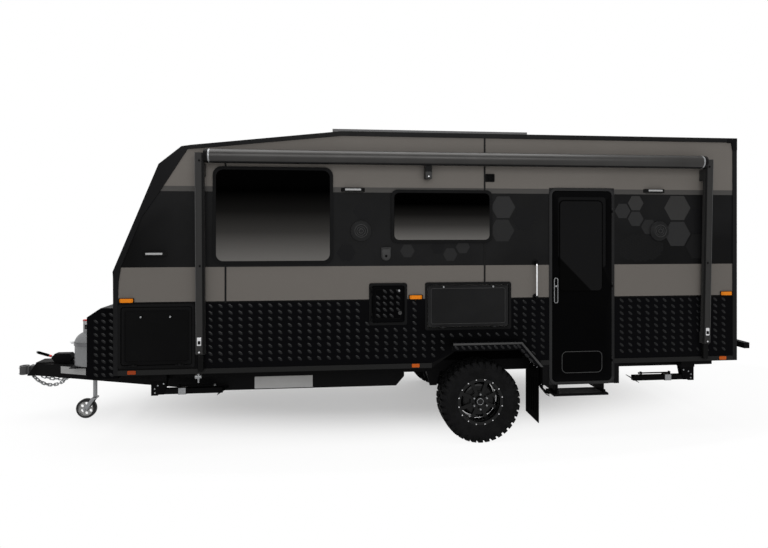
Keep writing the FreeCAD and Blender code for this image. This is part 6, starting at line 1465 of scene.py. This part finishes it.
# Widths of the painted shade and the painted highlight along each arm
ARM_SHADE_WIDE = 0.020
ARM_HIGHLIGHT_WIDE = 0.006
ARM_STRIP_OUT = 0.003
ARM_FOOT = (0.024, 0.752, 0.907, 0.006)
ARM_FOOT_DEEP = (0.0075, 0.040)
LATCH_LEVEL = 1.01
LATCH_PLATE = (0.018, (0.984, 1.056), 0.005, 0.005)
LATCH_TONGUE = (0.011, (0.996, 1.026), 0.004, 0.010)
LATCH_PIN = (0.925, 0.045, 0.056, 0.008)
ARM_KNOBS = (1.69, 2.62)
ARM_KNOB = (0.006, 0.010)
CRADLE_X = ahead(0.517)
CRADLE_ARM = ((0.028, 2.545), (0.028, 2.600), (0.036, 2.640))
CRADLE_ARM_OUT = 0.006
CRADLE_PLATE = (0.026, (2.484, 2.546), 0.005, 0.003)
CRADLE_SCREW = (2.502, 0.002, 0.007, 0.0055)


def arm_face(z):
    share = (z - ARM_LOW) / (ARM_HIGH - ARM_LOW)
    return ARM_FACES[0] + (ARM_FACES[1] - ARM_FACES[0]) * share


def strip_on_arm(pieces, edge, inward, low, high):
    """A strip along an arm's sloping face, from an edge inwards."""
    x0, x1 = sorted((edge, edge + inward))
    loops = []
    for level in (low, high):
        back, front = arm_face(level) + SINK, arm_face(level) - ARM_STRIP_OUT
        loops.append([(x0, back, level), (x1, back, level), (x1, front, level), (x0, front, level)])
    pieces.loft(*loops)


def make_awning_details():
    """Painted shade as dark strips on the arms' inner flanks and painted highlight as pale strips on their
    outer edges, with the arms' latches, knobs and dark feet.
    """
    dark, pale, bright, knobs = Pieces(), Pieces(), Pieces(), Pieces()
    low, high = ARM_LOW + ARM_MARGIN[0], ARM_HIGH - ARM_MARGIN[1]
    foot_half, foot_low, foot_high, foot_corner = ARM_FOOT
    level, near, far, pin = LATCH_PIN
    for x, way in zip(ARM_PLACES, (1, -1)):
        # Painted shade on each arm's inner flank and painted highlight on its outer edge.
        strip_on_arm(dark, x + way * ARM_HALF, -way * ARM_SHADE_WIDE, low, high)
        strip_on_arm(pale, x - way * ARM_HALF, way * ARM_HIGHLIGHT_WIDE, low, high)
        dark.plate((about(x, foot_half), (foot_low, foot_high)), foot_corner, *ARM_FOOT_DEEP,
                   side_place(-1, WALL))
        middle = x - way * ARM_SHADE_WIDE / 2
        place = side_place(-1, -arm_face(LATCH_LEVEL))
        half, up, corner, out = LATCH_PLATE
        bright.plate((about(middle, half), up), corner, -SINK, out, place)
        half, up, corner, high_out = LATCH_TONGUE
        knobs.plate((about(middle, half), up), corner, out - SINK, high_out, place)
        bright.rod((middle, -WALL - near, level), (middle, -WALL - far, level), pin)
        for z in ARM_KNOBS:
            knobs.rod((x, arm_face(z) + SINK, z), (x, arm_face(z) - ARM_KNOB[0], z), ARM_KNOB[1], 6)
    dark.done("awning_arm_shade_and_feet", "lamp_body", bevel=FINE_EDGE)
    pale.done("awning_arm_highlights", "edge_grey", bevel=FINE_EDGE)
    bright.done("awning_arm_latches", "steel", bevel=THIN_EDGE)
    knobs.done("awning_arm_knobs", "plastic_black", bevel=THIN_EDGE)


def make_cradle():
    """The roller's cradle: an arm, its plate and one screw."""
    y = ROLLER_AXIS[0]
    place = side_place(-1, -y)
    outline = [(CRADLE_X + half, z) for half, z in CRADLE_ARM]
    outline += [(CRADLE_X - half, z) for half, z in reversed(CRADLE_ARM)]
    arm = Pieces().prism(outline, -SINK, CRADLE_ARM_OUT, place)
    arm.done("awning_cradle_arm", "lamp_body", bevel=SOFT_EDGE)
    half, up, corner, out = CRADLE_PLATE
    plate = Pieces().plate((about(CRADLE_X, half), up), corner, -SINK, out, place)
    plate.done("awning_cradle_plate", "inlet_grey", bevel=FINE_EDGE)
    z, near, far, radius = CRADLE_SCREW
    screw = Pieces().rod((CRADLE_X, y - near, z), (CRADLE_X, y - far, z), radius, 6)
    screw.done("awning_cradle_screw", "steel")


# Nose, chassis and tail

PLATE_SINK = 0.001
SIGN_THICK = 0.002
SIGN_LEVEL = 0.565
SIGNS = (((-3.24, -2.95), (0.532, 0.604)), ((-1.195, -0.645), (0.494, 0.608)))
OUTSIDE = -2.0
NUMBER_PLATE = ((-0.186, 0.186), (1.090, 1.224))
NUMBER_PLATE_RIM = (0.010, 0.005, 0.006)
NUMBER_PLATE_LEVELS = (0.003, 0.0042)
NUMBER_LAMP = ((-0.055, 0.055), (1.240, 1.268))
NUMBER_LAMP_CORNER, NUMBER_LAMP_OUT = 0.006, 0.030
NUMBER_SCREWS = (0.16, 1.157)
NUMBER_SCREW_HEAD = ((0.0025, 0.006), (0.006, 0.006), (0.007, 0.004))


def plate_on(pieces, first, second, low, high):
    """A thin plate whose top view runs between two points, standing out from what lies behind it."""
    along = Vector((second.x - first.x, second.y - first.y, 0)).normalized()
    normal = Vector((along.y, -along.x, 0))
    spots = [first - normal * PLATE_SINK, first + normal * SIGN_THICK, second + normal * SIGN_THICK,
             second - normal * PLATE_SINK]
    pieces.prism([(spot.x, spot.y) for spot in spots], low, high, along_z)


def make_bare_plates():
    """Bare signs on the drawbar and the chassis rail, and the bare number plate at the rear."""
    rails = solid_tree("drawbar_rails", "chassis_rails")
    signs = Pieces()
    for ends, levels in SIGNS:
        spots = [touch(rails, (x, OUTSIDE, SIGN_LEVEL), (0, 1, 0)) for x in ends]
        plate_on(signs, *spots, *levels)
    signs.done("bare_signs", "bare_plate", bevel=FINE_EDGE)
    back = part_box("rear_wall")[1].x
    place = rear_place(back)
    corner = NUMBER_PLATE_RIM[0]
    thick, rim_high = NUMBER_PLATE_LEVELS
    plate = Pieces().plate(NUMBER_PLATE, corner, -DEEP_IN_WALL, thick, place)
    plate.frame(NUMBER_PLATE, *NUMBER_PLATE_RIM, thick - THIN_SINK, rim_high, place)
    plate.done("bare_number_plate", "bare_plate", bevel=HAIR_EDGE)
    lamp = Pieces().plate(NUMBER_LAMP, NUMBER_LAMP_CORNER, -DEEP_IN_WALL, NUMBER_LAMP_OUT, place)
    lamp.done("number_plate_lamp", "lamp_body", bevel=FULL_EDGE)
    screws = Pieces()
    for side, _ in SIDES:
        screws.knob(NUMBER_SCREW_HEAD, (back, side * NUMBER_SCREWS[0], NUMBER_SCREWS[1]), (1, 0, 0), 6)
    screws.done("number_plate_screws", "steel")


TAIL_FIELDS = {"amber": (1.285, 1.378), "clear": (1.182, 1.272)}
TAIL_FIELD = ((0.972, 1.078), 0.012, 0.002)
TAIL_LAMP = ((0.950, 1.100), (1.050, 1.400))
TAIL_RIM = (0.014, 0.0104, 0.004)
TAIL_OUT = 0.018


def make_tail_details():
    """Dark surrounds and the amber and clear fields of the tail lamps."""
    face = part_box("lamps_red")[1].x
    span, corner, thick = TAIL_FIELD
    for look, up in TAIL_FIELDS.items():
        fields = Pieces()
        for side, _ in SIDES:
            fields.plate((mirrored(side, span), up), corner, -SINK, thick, rear_place(face))
        fields.done(f"tail_fields_{look}", look, bevel=THIN_EDGE)
    surrounds = Pieces()
    for side, _ in SIDES:
        surrounds.frame((mirrored(side, TAIL_LAMP[0]), TAIL_LAMP[1]), *TAIL_RIM, -DEEP_IN_WALL, TAIL_OUT,
                        rear_place(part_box("rear_wall")[1].x))
    surrounds.done("tail_surrounds", "plastic_black", bevel=ROUND_EDGE)


REAR_SHEET = ((-1.105, 1.105), (0.770, 1.370))
REAR_SHEET_THICK = 0.002
REAR_START = (0.036, 0.035)
REAR_END = 0.03
REAR_CLEAR = 0.03
BEHIND_PLATE = (0.225, (1.05, 1.30))
BESIDE_LAMPS = (0.915, 1.02)


def make_rear_tread():
    """Tread plate over the rear wall's foot, bare behind the number plate and the lamps."""
    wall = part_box("rear_wall")[1].x
    (y0, y1), (z0, z1) = REAR_SHEET
    sheet = Pieces().prism(corners(REAR_SHEET), -DEEP_IN_WALL, REAR_SHEET_THICK, rear_place(wall))
    sheet.done("rear_tread_sheet", "tread_plate")
    blocked = solid_tree("lamps_red", "rear_bumper")
    normal = Vector((1, 0, 0))
    along, wide = lean(Vector((0, 1, 0)), Vector((0, 0, 1)), normal)
    half, (low, high) = BEHIND_PLATE
    bars = Pieces()
    for i in range(int((y1 - y0) / TREAD_PITCH[0]) + 1):
        for j in range(int((z1 - z0) / TREAD_PITCH[1])):
            spot = Vector((wall + REAR_SHEET_THICK, y0 + REAR_START[0] + i * TREAD_PITCH[0],
                           z0 + REAR_START[1] + j * TREAD_PITCH[1]))
            across = abs(spot.y)
            taken = (spot.y >= y1 - REAR_END or across < half and low < spot.z < high
                     or across > BESIDE_LAMPS[0] and spot.z > BESIDE_LAMPS[1])
            if not taken and blocked.find_nearest(spot, REAR_CLEAR)[0] is None:
                bar_mesh(bars, spot, along, wide, normal)
    bars.done("rear_tread_bars", "tread_bar_painted_highlight", smooth=FULL_SMOOTH)


GAS_X = ahead(3.866)
GAS_Y = 0.222
GAS_STRAP = ((0.833, 0.1600), (0.833, 0.1625), (0.865, 0.1625), (0.865, 0.1600))
CLAMP_FRONT = GAS_X - 0.162
CLAMP_PLATE = ((CLAMP_FRONT - 0.036, CLAMP_FRONT + 0.004), (0.838, 0.860))
CLAMP_CORNER, CLAMP_HALF = 0.006, 0.012
CLAMP_LEVEL = 0.849
CLAMP_BAR = (0.030, 0.022, 0.006)
CLAMP_SCREW = ((0.010, 0.849), (0.052, 0.856), 0.0045)
GAS_CAP = ((1.0270, 0.0245), (1.0300, 0.0262), (1.0690, 0.0262), (1.0770, 0.0235), (1.0790, 0.012))
CAP_TAB = ((GAS_X - 0.082, GAS_X - 0.040), (1.066, 1.086))
CAP_TAB_CORNER, CAP_TAB_HALF = 0.004, 0.014
GAS_PIPE = ((0.0, 0.016, 0.995), (0.02, 0.030, 1.004), (0.05, 0.0, 1.018), (0.06, -0.080, 1.030),
            (0.06, -0.180, 1.034))
GAS_PIPE_RADIUS = 0.004


def make_gas_details():
    """Straps with bright clamps, red caps and the pipes of the regulator."""
    straps, clamps, caps, pipes = Pieces(), Pieces(), Pieces(), Pieces()
    bar_back, bar_half, bar_radius = CLAMP_BAR
    near, far, screw_radius = CLAMP_SCREW
    for side, _ in SIDES:
        y = side * GAS_Y
        straps.lathe(GAS_STRAP, (GAS_X, y, 0), (0, 0, 1), 48)
        clamps.plate(CLAMP_PLATE, CLAMP_CORNER, y - CLAMP_HALF, y + CLAMP_HALF, along_y)
        x = CLAMP_FRONT - bar_back
        clamps.rod((x, y - bar_half, CLAMP_LEVEL), (x, y + bar_half, CLAMP_LEVEL), bar_radius)
        clamps.rod((CLAMP_FRONT - near[0], y, near[1]), (CLAMP_FRONT - far[0], y, far[1]), screw_radius)
        caps.knob(GAS_CAP, (GAS_X, y, 0), (0, 0, 1), 24)
        caps.plate(CAP_TAB, CAP_TAB_CORNER, y - CAP_TAB_HALF, y + CAP_TAB_HALF, along_y)
        line = [Vector((GAS_X + back, y + side * across, z)) for back, across, z in GAS_PIPE]
        pipes.tube(bent(line, 4), GAS_PIPE_RADIUS)
    straps.done("gas_straps", "dark_steel")
    clamps.done("gas_clamps", "steel", bevel=THIN_EDGE)
    caps.done("gas_caps", "red_knob")
    pipes.done("gas_pipes", "dark_steel", smooth=TUBE_SMOOTH)


def bent(points, steps):
    """Points with each inner corner cut round in a few steps."""
    line = [points[0]]
    for before, at, after in zip(points, points[1:], points[2:]):
        start, end = (before + at) / 2, (at + after) / 2
        for i in range(steps + 1):
            t = i / steps
            line.append(start * (1 - t) ** 2 + at * 2 * t * (1 - t) + end * t ** 2)
    return line + [points[-1]]


FLANGE_BOLTS = (0.036, (0.500, 0.558))
FLANGE_AHEAD = 0.2
FLANGE_BOLT = (0.009, 0.009)
JOCKEY_X = ahead(3.917)
JOCKEY_COLLARS = ((0.505, 0.022, 0.0310), (0.585, 0.022, 0.0310))
JOCKEY_CLAMP = (0.640, 0.040, 0.0320)
JOCKEY_SLEEVE_RADIUS = 0.0258
CLAMP_HANDLE = (0.660, (0.030, 0.085), 0.007, 0.045, 0.006)
CRANK_BACK = 0.110
CRANK_GRIP = ((-0.090, 0.0115), (-0.086, 0.0128), (-0.010, 0.0134), (-0.002, 0.0118), (0.0, 0.006))
LEVER_SPOTS = (0.012, 0.120)
LEVER_RAYS = (1.2, 0.3)
LEVER_GRIP = ((-0.004, 0.010), (0.002, 0.0145), (0.030, 0.0155), (0.055, 0.0145), (0.085, 0.0155),
              (0.112, 0.0145), (0.118, 0.011))
LEVER_KNOB = ((0.122, 0.009), (0.124, 0.0125), (0.142, 0.0125), (0.146, 0.009))


def sleeve_collar(pieces, low, high, radius):
    """A ring round the jockey's sleeve."""
    inner = JOCKEY_SLEEVE_RADIUS
    pieces.lathe([(low, inner), (low, radius), (low + high, radius), (low + high, inner)], (JOCKEY_X, 0, 0),
                 (0, 0, 1), 32)


def make_nose_details():
    """Bolts on the coupling's flange, and the jockey's collars, clamp handle and crank grip."""
    flange = solid_tree("coupling")
    bolts = Pieces()
    half, levels = FLANGE_BOLTS
    for side, _ in SIDES:
        for z in levels:
            spot = touch(flange, (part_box("coupling")[0].x - FLANGE_AHEAD, side * half, z), (1, 0, 0))
            if spot:
                bolts.rod(spot, spot - Vector((FLANGE_BOLT[0], 0, 0)), FLANGE_BOLT[1], 6)
    for collar in JOCKEY_COLLARS:
        sleeve_collar(bolts, *collar)
    z, (near, far), stem, reach, bar = CLAMP_HANDLE
    bolts.rod((JOCKEY_X, -near, z), (JOCKEY_X, -far, z), stem)
    bolts.rod((JOCKEY_X - reach, -far, z), (JOCKEY_X + reach, -far, z), bar)
    sleeve_collar(bolts, *JOCKEY_CLAMP)
    bolts.done("nose_bolts", "steel")
    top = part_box("jockey_sleeve")[1].z
    grip = Pieces().knob([(top + up, radius) for up, radius in CRANK_GRIP], (JOCKEY_X + CRANK_BACK, 0, 0),
                         (0, 0, 1), 24)
    grip.done("jockey_crank_grip", "plastic_black")


def make_lever_grip():
    """The brake lever's grip and its red button, along the lever's middle."""
    lever = solid_tree("handbrake")
    low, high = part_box("handbrake")
    y = (low.y + high.y) / 2
    ends = []
    for back in LEVER_SPOTS:
        above = touch(lever, (low.x + back, y, LEVER_RAYS[0]), (0, 0, -1))
        below = touch(lever, (low.x + back, y, LEVER_RAYS[1]), (0, 0, 1))
        ends.append((above + below) / 2)
    way = (ends[1] - ends[0]).normalized()
    Pieces().knob(LEVER_GRIP, ends[0], way, 24).done("handbrake_grip", "rubber")
    Pieces().knob(LEVER_KNOB, ends[0], way).done("handbrake_knob", "red_knob")


STEADIES = (("front", ahead(2.970), 1), ("rear", behind(2.195), -1))
STEADY_Y, STEADY_Z = 0.900, 0.510
COLLAR_RUN = (0.152, 0.218)
COLLAR_HALF = (0.0302, 0.0288)
STEADY_TIP = (0.468, 0.045)
SCREW_END = ((0.0, 0.0065), (0.004, 0.0110), (0.020, 0.0110), (0.022, 0.008))
CHEEK_OUT = 0.032
CHEEK_BOLTS = ((-0.030, 0.060), (0.022, 0.075), (-0.058, 0.030), (-0.055, -0.006))
CHEEK_BOLT = (0.006, 0.008)


def make_steady_details():
    """Pale collars on the steadies' tubes, the ends of their screws and bolts on their brackets."""
    z = STEADY_Z
    for end, x, way in STEADIES:
        for side, word in SIDES:
            y = side * STEADY_Y
            near, far = sorted(x + way * reach for reach in COLLAR_RUN)
            outer, inner = (corners(around_spot(y, z, (half, half))) for half in COLLAR_HALF)
            collar = Pieces().ring(outer, inner, near, far, along_x)
            collar.knob(SCREW_END, (x + way * STEADY_TIP[0], y, z + STEADY_TIP[1]), (way, 0, 0), 6)
            collar.done(f"steady_collar_{end}_{word}", "zinc", f"steady_{end}_{word}")
            bolts = Pieces()
            cheek = y + side * CHEEK_OUT
            for dx, dz in CHEEK_BOLTS:
                bolts.rod((x + way * dx, cheek - side * SINK, z + dz),
                          (x + way * dx, cheek + side * CHEEK_BOLT[0], z + dz), CHEEK_BOLT[1], 6)
            bolts.done(f"steady_bolts_{end}_{word}", "zinc")


STEP_RIBS = (5, 0.030, 0.032)
STEP_RUN = (behind(0.747), behind(1.222))
RIB_HALF, RIB_HIGH = 0.005, 0.003
STEP_ABOVE = 2.0
STEP_STRAP = ((1.530, -1.050, 0.640), (1.535, -1.050, 0.520), (1.585, -1.070, 0.450), (1.632, -1.080, 0.430))
STEP_STRAP_RADIUS = 0.012


def make_step_details():
    """Ribs along the step's tread and the strap that holds the step."""
    low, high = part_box("entry_step")
    tree = solid_tree("entry_step")
    count, first, pitch = STEP_RIBS
    ribs = Pieces()
    for number in range(count):
        y = low.y + first + number * pitch
        spot = touch(tree, ((low.x + high.x) / 2, y, STEP_ABOVE), (0, 0, -1))
        if spot:
            ribs.prism(corners((STEP_RUN, about(y, RIB_HALF))), spot.z - SINK, spot.z + RIB_HIGH, along_z)
    ribs.done("step_ribs", "edge_grey", "entry_step", bevel=THIN_EDGE)
    strap = Pieces().tube(bent([Vector(point) for point in STEP_STRAP], 5), STEP_STRAP_RADIUS)
    strap.done("step_strap", "rubber", smooth=TUBE_SMOOTH)


FLAP_X = behind(0.574)
FLAP_RIBS = (0.80, 0.86, 0.92, 0.98, 1.04)
FLAP_RIB = (0.003, 0.004, (0.230, 0.560))
FLAP_BOLTS = (0.90, 1.00, 1.08)
FLAP_BOLT = (0.690, 0.007, 0.009)


def make_flap_details():
    """Ribs down the mud flaps and the bolts that hold them."""
    ribs, bolts = Pieces(), Pieces()
    deep, half, (low, high) = FLAP_RIB
    level, out, radius = FLAP_BOLT
    for side, _ in SIDES:
        for y in FLAP_RIBS:
            ribs.box((FLAP_X - deep, side * y - half, low), (FLAP_X + SINK, side * y + half, high))
        for y in FLAP_BOLTS:
            bolts.rod((FLAP_X + SINK, side * y, level), (FLAP_X - out, side * y, level), radius, 6)
    ribs.done("mud_flap_ribs", "rubber", bevel=THIN_EDGE)
    bolts.done("mud_flap_bolts", "steel")


DRAIN = ((2.52, -0.80, 0.700), (2.60, -0.80, 0.650), (2.66, -0.84, 0.640))
DRAIN_RADIUS = 0.016
BRAKE_PIPES = ((-2.2, 0.35, 3.2), 0.796, 0.690, 0.008)
TAP = (-1.657, -1.120)
TAP_STEMS = ((0.727, 0.668, 0.012), (0.670, 0.636, 0.008))
TAP_BODY = ((-0.030, 0.014), (-0.026, 0.020), (-0.006, 0.020), (0.0, 0.016), (0.024, 0.016), (0.028, 0.012))
TAP_LEVEL = 0.692
STRAP_INSET = 0.15
STRAP_APART = 0.22
STRAP_HALF = 0.02
STRAP_OVER = 0.002
STRAP_THICK = 0.003


def make_underbody():
    """A drain pipe and the brake wires along the chassis, and a tap below the skirt."""
    pipes, tap = Pieces(), Pieces()
    pipes.tube(bent([Vector(point) for point in DRAIN], 4), DRAIN_RADIUS)
    places, across, level, radius = BRAKE_PIPES
    for side, _ in SIDES:
        pipes.tube([Vector((x, side * across, level)) for x in places], radius)
    pipes.done("chassis_pipes", "tank_plastic", smooth=TUBE_SMOOTH)
    (x, y), (upper, lower) = TAP, TAP_STEMS
    tap.rod((x, y, upper[0]), (x, y, upper[1]), upper[2])
    tap.knob(TAP_BODY, (x, y, TAP_LEVEL), (1, 0, 0), 24)
    tap.rod((x, y, lower[0]), (x, y, lower[1]), lower[2])
    tap.done("drain_tap", "zinc", bevel=FINE_EDGE)


def make_tank_straps():
    """Straps below the water tanks and up their outer sides."""
    low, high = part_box("water_tanks")
    middle = (low.x + high.x) / 2
    straps = Pieces()
    foot = low.z - STRAP_THICK
    for x in (low.x + STRAP_INSET, middle - STRAP_APART, middle + STRAP_APART, high.x - STRAP_INSET):
        x0, x1 = about(x, STRAP_HALF)
        straps.box((x0, low.y - STRAP_OVER, foot), (x1, high.y + STRAP_OVER, low.z + SINK))
        for side, _ in SIDES:
            y0, y1 = mirrored(side, (high.y - SINK, high.y + STRAP_THICK))
            straps.box((x0, y0, foot), (x1, y1, high.z))
    straps.done("tank_straps", "zinc", bevel=FINE_EDGE)


# Roof

ROOF_TOP = 2.915
ROOF_SEAMS = (ahead(0.700), behind(0.700), behind(1.800))
SEAM_HALF = (0.020, 1.10)
SEAM_HIGH = 0.003
BODY_REAR = behind(2.585)
CORNER_CAP = ((0.105, 2.915), (0.0005, 2.915), (0.0005, 2.795), (0.048, 2.795), (0.060, 2.868),
              (0.105, 2.868))
CORNER_CAP_OUT = 0.0125
SOLAR_SPAN = (0.035, 0.840)
SOLAR_FRAME = (0.022, 0.0015)


def make_roof_details():
    """Seams over the roof sheet, corner caps at the rear and the frames of the solar panels."""
    seams, caps, frames = Pieces(), Pieces(), Pieces()
    half, across = SEAM_HALF
    section = corners((about(0, across), (ROOF_TOP - SINK, ROOF_TOP + SEAM_HIGH)))
    for x in ROOF_SEAMS:
        seams.prism(section, *about(x, half), along_x)
    seams.done("roof_seams", "roof", bevel=THIN_EDGE)
    outline = [(BODY_REAR - inset, z) for inset, z in CORNER_CAP]
    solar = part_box("solar_panels")
    top = solar[1].z
    wide, high = SOLAR_FRAME
    for side, _ in SIDES:
        caps.prism(outline, -SINK, CORNER_CAP_OUT, side_place(side, WALL))
        bounds = ((solar[0].x, solar[1].x), mirrored(side, SOLAR_SPAN))
        frames.ring(corners(bounds), corners(grown(bounds, -wide)), top - SINK, top + high, along_z)
    caps.done("roof_corner_caps", "plastic_black", bevel=FULL_EDGE)
    frames.done("solar_frames", "trim_grey", bevel=HAIR_EDGE)


# Stage


def in_view(tree):
    """One for the rays that show a thing itself: straight, in a mirror or through glass."""
    path = tree.nodes.new("ShaderNodeLightPath")
    seen = path.outputs["Is Camera Ray"]
    for kind in ("Is Glossy Ray", "Is Transmission Ray"):
        either = tree.nodes.new("ShaderNodeMath")
        either.operation = "MAXIMUM"
        tree.links.new(seen, either.inputs[0])
        tree.links.new(path.outputs[kind], either.inputs[1])
        seen = either.outputs[0]
    return seen


def blended(tree, share, first, second):
    """The first shader where the share is zero, and the second where it is one."""
    blend = tree.nodes.new("ShaderNodeMixShader")
    for source, socket in zip((share, first.outputs[0], second.outputs[0]), blend.inputs):
        tree.links.new(source, socket)
    return blend


def make_floor():
    """A wide pale floor that keeps the shadow near the caravan and turns plain white further off.

    From below it is clear, so that the underside can be looked at.
    """
    bpy.ops.mesh.primitive_plane_add(size=2 * FLOOR_REACH)
    floor = bpy.context.object
    floor.name = "studio_floor"
    made = Shader("studio_floor", (0.93, 0.93, 0.93), 0.85, 0.0, 0.1)
    (x, y), (long, wide) = SHADE_PLACE, SHADE_REACH
    stretch = made.node("ShaderNodeMapping", Scale=(1 / long, 1 / wide, 1.0),
                        Location=(-x / long, -y / wide, 0.0))
    made.link(made.place(), stretch.inputs["Vector"])
    length = made.node("ShaderNodeVectorMath", operation="LENGTH")
    made.link(stretch.outputs["Vector"], length.inputs[0])
    middle, edge, outside = SHADE_RINGS
    near = made.span(length.outputs["Value"], middle, edge, *SHADE_LIFT, smooth=True)
    far = made.math("MAXIMUM", near, made.span(length.outputs["Value"], edge, outside, smooth=True))
    white = made.node("ShaderNodeEmission", Color=(1.0, 1.0, 1.0, 1.0), Strength=1.0)
    seen = made.math("MULTIPLY", far, in_view(made.tree))
    upper = blended(made.tree, seen, made.bsdf, white)
    below = made.node("ShaderNodeNewGeometry").outputs["Backfacing"]
    sheet = blended(made.tree, below, upper, made.node("ShaderNodeBsdfTransparent"))
    made.link(sheet.outputs[0], made.tree.nodes["Material Output"].inputs["Surface"])
    floor.data.materials.append(made.material)


def make_world():
    world = bpy.data.worlds.new("studio")
    bpy.context.scene.world = world
    world.use_nodes = True
    tree = world.node_tree
    lit, seen = tree.nodes["Background"], tree.nodes.new("ShaderNodeBackground")
    for node, level in ((lit, WORLD_LEVEL), (seen, 1.0)):
        node.inputs["Color"].default_value = (1.0, 1.0, 1.0, 1.0)
        node.inputs["Strength"].default_value = level
    sky = blended(tree, in_view(tree), lit, seen)
    tree.links.new(sky.outputs[0], tree.nodes["World Output"].inputs["Surface"])


SOFTBOXES = {
    "top_softbox": ((0.0, -1.0, 8.0), (0.0, 0.0, 0.0), (9.0, 5.0), 520.0),
    "front_softbox": ((0.6, -10.0, 5.0), (0.4, 0.0, 1.2), (10.0, 4.0), 400.0),
}


def make_lamp(name, place, aim, size, power):
    data = bpy.data.lights.new(name, "AREA")
    data.shape = "RECTANGLE"
    data.size, data.size_y = size
    data.energy = power
    lamp = bpy.data.objects.new(name, data)
    lamp.location = place
    lamp.rotation_euler = (Vector(aim) - Vector(place)).to_track_quat("-Z", "Y").to_euler()
    bpy.context.scene.collection.objects.link(lamp)


def make_lights():
    for name, values in SOFTBOXES.items():
        make_lamp(name, *values)


def make_camera():
    data = bpy.data.cameras.new("photo_camera")
    data.sensor_fit = "HORIZONTAL"
    data.sensor_width = SENSOR_WIDE
    data.lens = FOCAL_PIXELS * SENSOR_WIDE / PHOTO_SIZE[0]
    data.shift_y = (HORIZON_ROW - PHOTO_SIZE[1] / 2) / PHOTO_SIZE[0]
    data.clip_end = VIEW_DEPTH
    camera = bpy.data.objects.new("photo_camera", data)
    camera.location = CAMERA_PLACE
    camera.rotation_euler = (math.radians(90), 0.0, math.radians(-CAMERA_YAW))
    bpy.context.scene.collection.objects.link(camera)
    bpy.context.scene.camera = camera


bpy.context.scene.view_settings.view_transform = "Standard"
make_camera()
make_world()
make_lights()
make_floor()
dress_nodes()
make_tread()
make_box_tread()
for side_sign, side_word in SIDES:
    make_tyre(side_word)
    make_wheel_bolts(side_sign, side_word)
    make_wheel_parts(side_sign, side_word)
    make_decals(side_sign, side_word)
for make in (make_door_details, make_hatch_details, make_speakers, make_inlet, make_vent, make_grab,
             make_grilles, make_lamp_details, make_roller, make_awning_details, make_cradle, make_flares,
             make_arch_guards, make_bare_plates, make_tail_details, make_rear_tread, make_gas_details,
             make_nose_details, make_lever_grip, make_steady_details, make_step_details, make_flap_details,
             make_underbody, make_tank_straps, make_roof_details):
    make()
